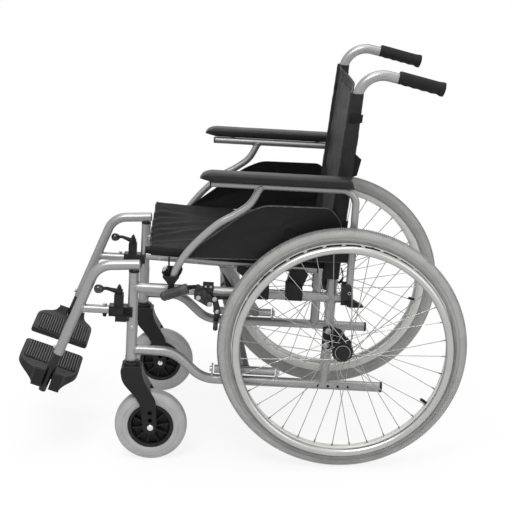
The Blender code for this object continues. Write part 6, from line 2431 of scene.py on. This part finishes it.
    def pad_screws(self) -> Form:
        """Screws that hold the pad on the tube, on their saddles.

        Returns:
            The form.
        """
        form = Form()
        for u in (-0.290, -0.060):
            form.lathe(mm(0, 6.2, 2.2, 5.8, 3, 4), Vector((PLAN.armrest_x + 0.004, u, 0.3990)), -W, 20)
        return form

    def pieces(self) -> list[Piece]:
        """The arm support's pieces, without the pad.

        Returns:
            The pieces.
        """
        body = "armrest"
        return [
            Piece("armrest_tubes", self.frame(), SILVER, body, "armrest_frame", 50),
            Piece("armrest_plug", self.plugs(), PLASTIC, body),
            Piece("guard_screws", self.screws(), BOLT, body),
            Piece("guard_bead", self.edge_bead(), BEAD, "armrest"),
            Piece("guard_discs", self.discs(), GUARD, body, "", 80),
            Piece("moulded_guard", self.guard(), GUARD, body, "side_guard", 30),
            Piece("pad_mounts", self.pad_screws(), BOLT, body),
        ]

    def build(self) -> None:
        """Make the pieces, and the foam pads."""
        super().build()
        for side in self.sides:
            Piece("foam_pad", self.pad(), FOAM, "armrest", "armrest_pad", 80).place(side)


@dataclass(frozen=True)
class Brake(Assembly):
    """The push-to-lock brake: lever with its ribbed grip, shoe arm and bolts.

    Attributes:
        plate_x: The mount plate's outer face.
    """

    plate_x: float = 0.2515

    def mount(self) -> Form:
        """The clamp on the upper tube, the hanging pivot plate and its bar along the tube.

        Returns:
            The form.
        """
        block = round_outline(mm(-346.2, 115, -319.7, 115, -319.7, 134.5, -346.2, 134.5), 0.0015)
        form = Form().slab(block, 0.2330, 0.2495)
        band = mm(12.5, 12.2, 12.5, 14.6, -12.5, 14.6, -12.5, 12.2)
        form.lathe(band, Vector((PLAN.side_x, -0.3330, PLAN.upper_w)), U, 40, closed=True)
        plate = mm(
            -356, 119, -342, 119, -318, 106, -264, 106.5, -264, 98.5, -306, 96.5, -316, 88, -334, 88, -356, 100,
        )
        form.slab(round_outline(plate, 0.0020), 0.2508, 0.2534)
        return form

    def lever(self) -> Form:
        """The lever's plate and its cranked stalk.

        Returns:
            The form.
        """
        inner = self.plate_x + 0.0034
        outline = mm(
            -362, 133.5, -355, 133.5, -325.8, 108.5, -319.5, 99.5, -326, 78.5, -333, 79, -366, 96.5, -366.8, 113,
        )
        radii = [0.003, 0.003, 0.006, 0.003, 0.005, 0.006, 0.004, 0.010]
        form = Form().slab(round_outline(outline, radii), inner, inner + 0.0038)
        spots = [(inner + 0.0060, -0.3560, 0.1275), (inner + 0.0070, -0.3640, 0.1285)]
        spots += mm(276, -376, 131, 290.5, -384, 132, 291.5, -390, 129.3, each=3)
        path = curve_path([Vector(spot) for spot in spots], 6)
        return form.join(strip(path, [W] * len(path), 0.0105, 0.0042))

    def grip(self) -> Form:
        """The ribbed rubber grip with a rounded end.

        Returns:
            The form.
        """
        start = Vector((0.2915, -0.3815, 0.1335))
        end = Vector((0.2915, -0.4465, 0.1068))
        length = (end - start).length
        profile = mm(-0.4, 7, 0.4, 11.4, 1.8, 12.6, 15, 12.7)
        at = 0.0180
        while at < length - 0.0200:
            profile += [(at, 0.0127), (at + 0.0005, 0.0116), (at + 0.0011, 0.0116), (at + 0.0016, 0.0127)]
            at += 0.0034
        collar = mm(15, 12.4, 14, 11.4, 12.8, 11.4, 11.8, 12.4)
        profile += [(length - before, radius) for before, radius in collar]
        for t in [step / 8 * math.pi / 2 for step in range(1, 9)]:
            profile.append((length - 0.0110 + 0.0110 * math.sin(t), max(0.0124 * math.cos(t), 0.0004)))
        return Form().lathe(profile, start, end - start, 36)

    def shoe(self) -> Form:
        """The shoe's arm with its bar across the tyre.

        Returns:
            The form.
        """
        inner = self.plate_x + 0.0078
        outline = mm(
            -322.5, 100, -315.3, 107.2, -308.5, 100.5, -303, 83, -299, 68, -303, 56, -304, 42, -310.5, 33.5,
            -316.5, 42, -315, 60, -318, 80,
        )
        form = Form().slab(curve_outline(outline, 4), inner, inner + 0.0042)
        bar = Vector((0.0, -0.3105, 0.0405))
        form.lathe([(inner + 0.001, 0.0052), (0.2665, 0.0052), (0.2672, 0.0060)], bar, X, 28)
        profile = []
        at = 0.2680
        while at < 0.3060:
            ridges = mm(0, 6, 2.4, 6, 2.8, 5.3, 3.6, 5.3, 4, 6)
            profile += [(at + along, radius) for along, radius in ridges]
            at += 0.0040
        return form.lathe(profile + mm(308.2, 6, 309.5, 4.8), bar, X, 28)

    def bolts(self, body: str) -> Form:
        """Hexagon heads on the plates and the clamp's screws.

        Args:
            body: The body whose bolts are wanted.

        Returns:
            That body's bolts.
        """
        form = Form()
        spots = {"brake": mm(-355.5, 99.9, -327.3, 85), "shoe": mm(-306.9, 68.1), "frame": mm(-315.3, 100)}
        reach = self.plate_x + (0.0072 if body == "brake" else 0.0120)
        for u, w in spots[body]:
            form.hex_bolt(Vector((reach, u, w)), X, 0.0052, 0.0036)
        if body == "frame":
            for u, w, end in ((-0.3153, 0.1, reach), (-0.35, 0.11, self.plate_x + 0.006)):
                form.rod(Vector((self.plate_x, u, w)), Vector((end, u, w)), 0.004)
            for u in (-0.3392, -0.3266):
                form.socket_bolt(Vector((0.2495, u, 0.1268)), X, 0.0031, 0.0020)
        return form

    def pieces(self) -> list[Piece]:
        """The brake's pieces.

        Returns:
            The pieces.
        """
        return [
            Piece("brake_handle", self.lever(), COATED, "brake", "brake_lever", 35),
            Piece("ribbed_grip", self.grip(), RIBBED, "brake", "", 50),
            Piece("brake_bar", self.shoe(), COATED, "shoe", "brake_shoe", 35),
            Piece("brake_clamp", self.mount(), COATED, "frame", "brake_mount", 35, 0.0004),
            Piece("clamp_bolts", self.bolts("frame"), BOLT, "frame"),
            Piece("lever_bolts", self.bolts("brake"), BOLT, "brake"),
            Piece("shoe_bolts", self.bolts("shoe"), BOLT, "shoe"),
        ]


def ridge(value: float, sharpness: float) -> float:
    """A fold's cross-section: 1 on the crease line, falling off on both sides."""
    return math.exp(-abs(value) * sharpness)


def cloth_mesh(
    name: str,
    quads: tuple[int, int],
    size: Point,
    place: Callable[[float, float], Vector],
    zone: Callable[[float, float], int] = lambda across, along: 0,
) -> bpy.types.Mesh:
    """A grid of cloth with its own coordinates in metres as UVs.

    Args:
        name: The piece's name.
        quads: How many there are across and along.
        size: The cloth's flat width and length.
        place: The leant point for a share across and a share along, both from 0 to 1.
        zone: The material's number for the same shares.

    Returns:
        The mesh, in the world's place.
    """
    columns, rows = quads
    matrix = PLAN.matrix(Stance.LEANT)
    bm = bmesh.new()
    grid = [[bm.verts.new(matrix @ place(c / columns, r / rows)) for c in range(columns + 1)] for r in range(rows + 1)]
    layer = bm.loops.layers.uv.new("cloth")
    for row in range(rows):
        for column in range(columns):
            corners = ((row, column), (row, column + 1), (row + 1, column + 1), (row + 1, column))
            face = bm.faces.new([grid[r][c] for r, c in corners])
            face.material_index = zone((column + 0.5) / columns, (row + 0.5) / rows)
            for loop, (r, c) in zip(face.loops, corners):
                loop[layer].uv = (c / columns * size[0], r / rows * size[1])
    mesh = bpy.data.meshes.new(name)
    bm.to_mesh(mesh)
    bm.free()
    mesh.shade_smooth()
    return mesh


def strip(path: Sequence[Vector], across: Sequence[Vector], width: float, thickness: float) -> Form:
    """A flat band of webbing along a path.

    Args:
        path: Its centre line.
        across: At each point, the direction of its width.
        width: Its width.
        thickness: Its thickness.

    Returns:
        The band.
    """
    rings = []
    for index, point in enumerate(path):
        before = path[max(index - 1, 0)]
        after = path[min(index + 1, len(path) - 1)]
        side = across[index].normalized()
        out = (after - before).normalized().cross(side).normalized()
        half = width / 2
        flat = thickness / 2
        corners = ((-half, -flat * 0.4), (-half + flat, -flat), (half - flat, -flat), (half, -flat * 0.4))
        ring = [point + a * side + b * out for a, b in corners]
        ring += [point + a * side - b * out for a, b in reversed(corners)]
        rings.append(ring)
    return Form().skin(rings)


def stitches(rows: Iterable[tuple[Sequence[Vector], Vector]], pitch: float = 0.0042) -> Form:
    """Rows of lockstitches.

    Args:
        rows: For each row, the path that it lies on and the way out of the cloth.
        pitch: Distance from one stitch to the next.

    Returns:
        The stitches.
    """
    form = Form()
    for path, out in rows:
        at = 0.0
        for start, end in zip(path, path[1:]):
            length = (end - start).length
            along = (end - start).normalized()
            while at + pitch * 0.7 < length:
                near = start + along * at
                far = start + along * (at + pitch * 0.66)
                dip = out * 0.0002
                thread = [near - dip, near + dip, (near + far) / 2 + out * 0.0004, far + dip, far - dip]
                form.tube(thread, 0.00035, 5, across=out.cross(along).normalized())
                at += pitch
            at = max(0.0, at - length)
    return form


@dataclass(frozen=True)
class Sling:
    """Cloth stretched between two tubes, with what is sewn to it, all riding one body.

    Attributes:
        body: The body that it rides.
        held_x: Where it would flatten to, across the chair; not used.
        keep: Share of its width that would be left at full fold; not used.
    """

    body: str = "seat"
    held_x: float = PLAN.rail_x
    keep: float = 0.22

    def gather(self, piece: bpy.types.Object) -> bpy.types.Object:
        """Let a piece ride the sling's body, on its own copy of its mesh.

        Args:
            piece: The piece.

        Returns:
            The same piece.
        """
        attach(piece, self.body)
        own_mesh(piece)
        return piece

    def trim(self, name: str, form: Form, finish: Finish) -> bpy.types.Object:
        """Make a piece that is sewn to the cloth and rides its body.

        Args:
            name: Its name.
            form: Its form.
            finish: Its finish.

        Returns:
            The piece's object.
        """
        piece = link(name, form.mesh(name, sharp=60))
        cover(piece, finish)
        return self.gather(piece)

    def cloth(
        self, mesh: bpy.types.Mesh, thickness: float, offset: float, node: str, *finishes: Finish
    ) -> bpy.types.Object:
        """Make the cloth itself.

        Args:
            mesh: Its middle or outer surface.
            thickness: Its thickness.
            offset: -1 where the mesh is its outer surface, or 0 where it is its middle.
            node: The CAD node that it takes the place of.
            finishes: Its finishes, in the order of the mesh's material numbers.

        Returns:
            The cloth.
        """
        cloth = link(mesh.name, mesh)
        thick = cloth.modifiers.new("thickness", "SOLIDIFY")
        thick.thickness = thickness
        thick.offset = offset
        cover(cloth, *finishes)
        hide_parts(node)
        return self.gather(cloth)


@dataclass(frozen=True)
class SeatSling(Sling):
    """The seat's nylon, slung between the rails, wrinkled as unloaded seats are.

    Attributes:
        front: Its front edge, along the chair.
        rear: Its rear edge.
        sag: How deep it hangs in the middle.
        rise: Height of the hem roll's middle over the rail's.
        hem_r: Radius of the cloth where it turns down at the hem.
        drop: How far the hem's outer face goes down from there.
    """

    front: float = -0.490
    rear: float = -0.052
    sag: float = 0.007
    rise: float = 0.0130
    hem_r: float = 0.0115
    drop: float = 0.0075

    def side_arc(self) -> float:
        """Length of the cloth from the hem roll's top to its lower edge."""
        return self.hem_r * math.pi / 2 + self.drop

    def flat_width(self) -> float:
        """The cloth's cut width."""
        return 2 * (PLAN.rail_x + self.side_arc())

    def folds(self, x: float, u: float) -> float:
        """Height that the wrinkles add.

        Args:
            x: Place across the chair.
            u: Place along it.

        Returns:
            The height, mostly a few millimetres.
        """
        edge = max(0.0, 1.0 - (abs(x) / 0.208) ** 8)
        behind = u - self.front
        height = 0.0
        lines = (
            (0.175, -0.55, 0.0044, 0.0150, 0.18), (0.120, -0.80, 0.0058, 0.0180, 0.26),
            (0.060, -0.66, 0.0048, 0.0170, 0.20), (0.000, -0.50, 0.0056, 0.0190, 0.27),
            (-0.070, -0.22, 0.0046, 0.0170, 0.20), (-0.135, 0.15, 0.0050, 0.0160, 0.22),
        )
        for start, slope, depth, width, length in lines:
            wander = 0.012 * noise.noise(Vector((start * 31, u * 9, 0.4)))
            away = (x - start - slope * behind - wander) / width
            fade = max(0.0, 1.0 - behind / length) ** 0.8
            height += depth * fade * (math.exp(-away * away) - 0.35 * math.exp(-((away + 1.9) ** 2)))
        warp = 0.8 * noise.noise(Vector((x * 5, u * 5, 3.1)))
        height += 0.0036 * noise.noise(Vector((x * 9 + warp, u * 8, 0.7)))
        height += 0.0008 * noise.noise(Vector((x * 24 + warp, u * 17 + warp, 4.0)))
        front_hem = 0.0012 * ridge(behind - 0.030, 260.0) - 0.0010 * ridge(behind - 0.034, 300.0)
        return height * edge + front_hem * edge

    def puff(self, x: float) -> float:
        """How much fuller the hem roll is toward the right rail."""
        return 0.0026 * (1 - max(-1.0, min(1.0, x / PLAN.rail_x)))

    def setback(self, x: float) -> float:
        """How far behind the hems' front ends the slack front edge lies."""
        share = x / PLAN.rail_x
        return 0.0085 + 0.0045 * share - 0.0050 * (1 - share * share)

    def point(self, across: float, along: float) -> Vector:
        """A point of the cloth.

        Args:
            across: From 0 at the right hem to 1 at the left one.
            along: From 0 at the front to 1 at the rear.

        Returns:
            The point, leant.
        """
        distance = (across - 0.5) * self.flat_width()
        sense = math.copysign(1.0, distance)
        back = self.setback(max(-PLAN.rail_x, min(PLAN.rail_x, distance))) * (1 - along) ** 3
        u = self.front + back + along * (self.rear - self.front)
        axis = PLAN.rail_w(u) + self.rise + self.puff(distance)
        beyond = abs(distance) - PLAN.rail_x
        if beyond > 0:
            pucker = 0.0009 * noise.noise(Vector((u * 45, distance * 30, 5)))
            pucker += 0.0010 * math.sin(distance * 900) * noise.noise(Vector((u * 12, 0.0, 8.0)))
            radius = self.hem_r + pucker
            turn = min(beyond / self.hem_r, math.pi / 2)
            down = max(0.0, beyond - self.hem_r * math.pi / 2)
            out = PLAN.rail_x + 0.0005 + radius * math.sin(turn)
            return Vector((sense * out, u, axis + radius * math.cos(turn) - down))
        share = min(1.0, abs(distance) / PLAN.rail_x)
        belly = self.sag * (1 - share ** 2.4)
        curl = 0.0080 * max(0.0, 1 - along / 0.045) ** 2 * (1 - share ** 6)
        return Vector((distance, u, axis + self.hem_r - belly - curl + self.folds(distance, u)))

    def hems(self) -> Form:
        """Rolled hems with their battens on both rails, and the rolled front and rear edges.

        Returns:
            The form.
        """
        form = Form()
        section = mm(-10.5, 10, -12, 16, -10, 21.2, -4, 22.8, 4, 22.6, 8.8, 19, 10, 13, 9.2, 6.6, 6, 9.8, 0, 11.2)
        for sense in (-1, 1):
            full = 1 + self.puff(sense * PLAN.rail_x) / 0.012
            rings = []
            for step in range(81):
                u = self.front - 0.0015 + (self.rear - self.front + 0.0030) * step / 80
                swell = 1.0 - 0.10 * max(0.0, 1 - min(step, 80 - step) / 1.5)
                ring = []
                for a, b in section:
                    wave = 1.0 + 0.05 * noise.noise(Vector((u * 30, a * 200, b * 200)))
                    tall = (b - 0.011) * wave * swell * full
                    ring.append(Vector((sense * (PLAN.rail_x + a * swell), u, PLAN.rail_w(u) + 0.011 + tall)))
                rings.append(ring)
            form.skin(rings)
        for along, radius in ((0.0, 0.0030), (1.0, 0.0024)):
            path = [self.point(0.05 + 0.90 * step / 110, along) - W * radius * 0.4 for step in range(111)]
            form.tube(path, radius, 12, across=U)
        return form

    def seams(self) -> Form:
        """Rows of stitching behind the front edge, before the rear one and along the rails.

        Returns:
            The form.
        """
        rows = []
        for along in (0.030, 0.970):
            rows.append(([self.point(step / 100, along) + W * 0.0010 for step in range(4, 97)], W))
        for across in (0.070, 0.930):
            rows.append(([self.point(across, step / 80) + W * 0.0010 for step in range(81)], W))
        for out in (-X, X):
            rows.append(([self.point(0.5 + out.x * 0.490, step / 80) + out * 0.0006 for step in range(81)], out))
        return stitches(rows)

    def build(self) -> None:
        """Make the seat's cloth, hems and stitching."""
        size = (self.flat_width(), self.rear - self.front + 0.006)
        mesh = cloth_mesh("seat_cloth", (150, 130), size, self.point)
        cloth = self.cloth(mesh, 0.0022, -1.0, "seat_sling", NYLON)
        extras = [self.trim("seat_hems", self.hems(), WEBBING), self.trim("seat_stitching", self.seams(), THREAD)]


@dataclass(frozen=True)
class BackSling(Sling):
    """The back's panel between two sleeves over the canes, with straps and a rear flap.

    Attributes:
        bottom: Where the sleeves start, up the canes.
        top: Where they end.
        sleeve_r: Radius of the sleeves.
        border_at: Where the darker side borders start, as a share of the half width.
        sag: How deep the panel hangs rearward.
    """

    body: str = "left_frame"
    held_x: float = PLAN.side_x
    keep: float = 0.30
    bottom: float = 0.162
    top: float = 0.618
    sleeve_r: float = 0.0152
    border_at: float = 0.74
    sag: float = 0.017

    def along(self) -> Vector:
        """The canes' direction."""
        return (PLAN.cane_point(self.top) - PLAN.cane_point(self.bottom)).normalized()

    def rearward(self) -> Vector:
        """Square to the canes, toward the rear."""
        run = self.along()
        return Vector((0, run.z, -run.y))

    def panel_point(self, across: float, up: float) -> Vector:
        """A point of the panel.

        Args:
            across: From 0 at the right sleeve to 1 at the left one.
            up: From 0 at the bottom hem to 1 at the top.

        Returns:
            The point, leant.
        """
        share = 2 * across - 1
        half = PLAN.side_x - 0.0060
        dip = 0.008 * (1 - share * share) * up ** 6
        w = self.bottom + 0.004 + up * (self.top - self.bottom - 0.008) - dip
        base = PLAN.cane_point(w)
        x = share * half
        deep = self.sag * max(0.0, 1 - (share / 0.84) ** 2) ** 1.3
        edge = max(0.0, 1 - abs(share) ** 5)
        warp = Vector((x * 6, w * 11 + noise.noise(Vector((x * 4, w * 5, 2.0))), 6.3))
        folds = 0.0040 * noise.noise(warp) + 0.0020 * (1 - 2.2 * abs(noise.noise(Vector((x * 9, w * 19, 1.1)))))
        pull = 0.0030 * math.sin(w * 70 + share * 2.0) * max(0.0, abs(share) - 0.62) * 2.0
        border = -0.0012 * ridge(abs(share) - self.border_at, 60.0)
        deep -= 0.55 * (self.sleeve_r + self.swell(up))
        return Vector((x, base.y, base.z)) + self.rearward() * (deep + (folds + pull) * edge + border)

    def swell(self, up: float) -> float:
        """How far a sleeve's front stands out beyond its round, at a share of its height."""
        return 0.0110 - 0.0090 * up

    def zone(self, across: float, up: float) -> int:
        """Which cloth is where: 0 for the borders, 1 for the lighter panel."""
        inside = abs(2 * across - 1) < self.border_at and 0.045 < up < 0.93
        return 1 if inside else 0

    def sleeve(self) -> Form:
        """A sleeve over a cane, with folds, hems and its strap's bump.

        Returns:
            The form.
        """
        run = self.along()
        out = self.rearward()
        low = PLAN.cane_point(self.bottom)
        length = (PLAN.cane_point(self.top) - low).length
        turns = [2 * math.pi * number / 32 for number in range(32)]
        rings = []
        for at in [length * step / 96 for step in range(97)]:
            end = min(at, length - at)
            ring = []
            for turn in turns:
                radius = self.sleeve_r
                radius += 0.0011 * noise.noise(Vector((math.cos(turn) * 2.0, math.sin(turn) * 2.0, at * 34)))
                radius += 0.0006 * noise.noise(Vector((math.cos(turn) * 3.5, math.sin(turn) * 3.5, at * 90)))
                for fold in (0.085, 0.105, 0.330, 0.350, 0.368):
                    radius += 0.0011 * ridge(at - fold - 0.006 * math.sin(turn), 260.0)
                radius += 0.0009 * ridge(end - 0.012, 500.0)
                radius -= 0.0007 * ridge(end - 0.015, 700.0)
                radius = max(radius, 0.01345)
                forward = max(0.0, -math.sin(turn)) * self.swell(at / length)
                ring.append(low + run * at + radius * (math.cos(turn) * X + math.sin(turn) * out) - out * forward)
            rings.append(ring)
        rings += [around(low + run * at, X, out, 0.0131, 32) for at in (length, 0.0)]
        return Form().skin(rings, loop=True)

    def strap(self) -> Form:
        """The two adjusting straps round a sleeve.

        Returns:
            The form.
        """
        form = Form()
        out = self.rearward()
        for height, turn_low, turn_high in ((0.560, -2.6, 1.4), (0.300, -2.4, 1.2)):
            centre = PLAN.cane_point(height)
            path = []
            for step in range(17):
                turn = turn_low + (turn_high - turn_low) * step / 16
                reach = 0.0178 + 0.0012 * math.sin(step * 0.9)
                path.append(centre + reach * (math.cos(turn) * X + math.sin(turn) * out))
            form.join(strip(path, [self.along()] * len(path), 0.020, 0.0022))
        return form

    def flap(self) -> Form:
        """The rear flap's tab, folded out behind the cane.

        Returns:
            The form.
        """
        low, high = PLAN.cane_point(0.418), PLAN.cane_point(0.462)
        run, out = self.along(), self.rearward()
        outline = [low + out * 0.013, low + out * 0.024 + run * 0.004]
        outline += [high + out * 0.030, high + out * 0.014 + run * 0.012]
        near = [point + X * 0.006 for point in outline]
        return Form().skin([near, [point - X * 0.0030 for point in near]])

    def hanging_strap(self) -> Form:
        """The webbing loop that hangs below the back's lower hem.

        Returns:
            The form.
        """
        x = 0.165
        start = PLAN.cane_point(self.bottom + 0.006) + self.rearward() * 0.010
        steps = mm(0, -4, 10, 2, -6, -12, 6, -1, -30, 12, 12, -34, 14, 20, -18, 12, 14, 4, each=3)
        path = curve_path([Vector((x + a, start.y + b, start.z + c)) for a, b, c in steps], 8)
        sides = [Vector((1.0, 0.15 * math.sin(index * 0.3), 0.1)) for index in range(len(path))]
        return Form().join(strip(path, sides, 0.020, 0.0018))

    def hems(self) -> Form:
        """Piping on the panel's lower and upper edges.

        Returns:
            The form.
        """
        form = Form()
        for up, radius in ((0.0, 0.0026), (1.0, 0.0030)):
            path = [self.panel_point(0.02 + 0.96 * step / 110, up) for step in range(111)]
            form.tube(path, radius, 12, across=self.along())
        return form

    def seams(self) -> Form:
        """Stitching round the lighter panel.

        Returns:
            The form.
        """
        front = -self.rearward()
        rows = []
        for across in (0.092, 0.908):
            path = [self.panel_point(across, 0.03 + 0.92 * step / 80) + front * 0.0012 for step in range(81)]
            rows.append((path, front))
        for up in (0.030, 0.945):
            path = [self.panel_point(0.09 + 0.82 * step / 80, up) + front * 0.0012 for step in range(81)]
            rows.append((path, front))
        return stitches(rows)

    def build(self) -> None:
        """Make the panel, sleeves, straps, hems and stitching."""
        size = (2 * (PLAN.side_x - 0.006) + 0.003, self.top - self.bottom - 0.006)
        mesh = cloth_mesh("back_panel", (130, 130), size, self.panel_point, self.zone)
        panel = self.cloth(mesh, 0.0026, 0.0, "back_sling", SLEEVE, PANEL)
        extras = [
            self.trim("back_hems", self.hems(), WEBBING),
            self.trim("back_stitching", self.seams(), THREAD),
            self.trim("hanging_strap", self.hanging_strap(), WEBBING),
        ]
        for side in ("left", "right"):
            extras.append(Piece("back_sleeve", self.sleeve(), SLEEVE, "frame", sharp=70).place(side))
            extras.append(Piece("sleeve_straps", self.strap(), WEBBING, "frame", sharp=60).place(side))
            extras.append(Piece("rear_flap", self.flap(), WEBBING, "frame", sharp=40).place(side))


@dataclass(frozen=True)
class Lamp:
    """A square soft box.

    Attributes:
        name: Its name.
        place: Where it stands.
        size: Its side.
        power: Its power in watts.
    """

    name: str
    place: tuple[float, float, float]
    size: float
    power: float

    def build(self, aim: Vector) -> None:
        """Set the lamp up.

        Args:
            aim: What it points at.
        """
        data = bpy.data.lights.new(self.name, "AREA")
        data.size = self.size
        data.energy = self.power
        lamp = link(self.name, data)
        lamp.location = self.place
        lamp.rotation_euler = (Vector(self.place) - aim).to_track_quat("Z", "Y").to_euler()


@dataclass(frozen=True)
class Studio:
    """A pale floor, soft boxes, a plain surround and the photographer's camera.

    Attributes:
        reach: Half the floor's width.
        floor: The floor's colour near the chair.
        camera_place: Where the camera stands.
        camera_turn: Its yaw, pitch and roll in radians.
        camera_lens: Its focal length in millimetres.
        aim: What the soft boxes point at.
        lamps: The soft boxes.
    """

    reach: float = 60.0
    floor: Colour = (0.93, 0.93, 0.93)
    camera_place: tuple[float, float, float] = (3.59627, PLAN.axle_y - 0.2392, 1.47538)
    camera_turn: tuple[float, float, float] = (-0.00931630, 0.275579675, -0.00349648653)
    camera_lens: float = 101.03
    aim: tuple[float, float, float] = (0.0, 0.0, 0.45)
    lamps: tuple[Lamp, ...] = (
        Lamp("key", (2.4, -0.8, 3.6), 1.6, 95.0),
        Lamp("fill", (2.8, 3.2, 2.2), 3.0, 40.0),
        Lamp("top", (-0.4, 0.2, 4.2), 3.0, 70.0),
        Lamp("rim", (-3.4, -0.6, 2.2), 2.4, 15.0),
    )

    def seen(self, tree: Tree) -> Socket:
        """Whether a ray is the camera's, or one that metal or glass sends on.

        Args:
            tree: The material's or the world's tree.

        Returns:
            The socket, 0 or 1.
        """
        rays = tree.add("LightPath").outputs
        mirrored = tree.math("MAXIMUM", rays["Is Glossy Ray"], rays["Is Transmission Ray"])
        return tree.math("MAXIMUM", rays["Is Camera Ray"], mirrored)

    def ground(self) -> None:
        """Make the floor, white for the camera away from the chair."""
        bm = bmesh.new()
        bmesh.ops.create_grid(bm, x_segments=2, y_segments=2, size=self.reach)
        mesh = bpy.data.meshes.new("studio_floor")
        bm.to_mesh(mesh)
        bm.free()
        made = bpy.data.materials.new("studio_floor")
        tree = Tree.cleared(made)
        place = tree.add("TexCoord").outputs["Object"]
        distance = tree.add("VectorMath", {0: place}, operation="LENGTH").outputs["Value"]
        share = tree.math("MULTIPLY", tree.ramp(distance, 0.30, 1.00, (0.86, 1.0)), self.seen(tree))
        matt = tree.add("BsdfDiffuse", {"Color": (*self.floor, 1.0)})
        white = tree.add("Emission", {"Color": WHITE, "Strength": 1.0})
        both = tree.add("MixShader", {0: share, 1: matt.outputs[0], 2: white.outputs[0]})
        tree.add("OutputMaterial", {"Surface": both.outputs[0]})
        mesh.materials.append(made)
        link("studio_floor", mesh)

    def surround(self) -> None:
        """Make the world: white for the camera, a soft grey sky for the light."""
        world = bpy.data.worlds.new("studio")
        tree = Tree.cleared(world)
        height = tree.add("SeparateXYZ", {0: tree.add("TexCoord").outputs["Generated"]}).outputs["Z"]
        sky = tree.add("Background", {"Color": tree.grey(tree.ramp(height, -0.2, 0.9, (0.16, 0.42)))})
        white = tree.add("Background", {"Color": WHITE, "Strength": 1.0})
        both = tree.add("MixShader", {0: self.seen(tree), 1: sky.outputs[0], 2: white.outputs[0]})
        tree.add("OutputWorld", {"Surface": both.outputs[0]})
        bpy.context.scene.world = world

    def camera(self) -> None:
        """Set the camera up where the photograph was taken from."""
        yaw, pitch, roll = self.camera_turn
        forward = Vector((-math.cos(yaw) * math.cos(pitch), -math.sin(yaw) * math.cos(pitch), -math.sin(pitch)))
        level = forward.cross(W).normalized()
        upright = level.cross(forward)
        right = math.cos(roll) * level + math.sin(roll) * upright
        up = math.cos(roll) * upright - math.sin(roll) * level
        data = bpy.data.cameras.new("camera")
        data.lens = self.camera_lens
        data.sensor_width = 36.0
        data.clip_end = 200.0
        camera = link("camera", data)
        turn = Matrix((right, up, -forward)).transposed().to_4x4()
        camera.matrix_world = Matrix.Translation(self.camera_place) @ turn
        bpy.context.scene.camera = camera

    def build(self) -> None:
        """Set the whole studio up."""
        self.ground()
        self.surround()
        self.camera()
        for lamp in self.lamps:
            lamp.build(Vector(self.aim))
        bpy.context.scene.view_settings.view_transform = "Standard"
        log.info("studio with %d lamps", len(self.lamps))


def main() -> None:
    """Load the frame, dress it, set the studio up and finish."""
    logging.basicConfig(level=logging.INFO, format="%(name)s: %(message)s")
    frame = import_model()
    nodes = frame["nodes"]
    assemblies = (SideFrame(), CrossBrace(), RearWheel(), AxleButton(), Caster(), LegSupport(), ArmSupport(), Brake())
    for assembly in assemblies:
        assembly.build()
        assembly.dress(nodes)
    SeatSling().build()
    BackSling().build()
    Studio().build()


if __name__ == "__main__":
    main()
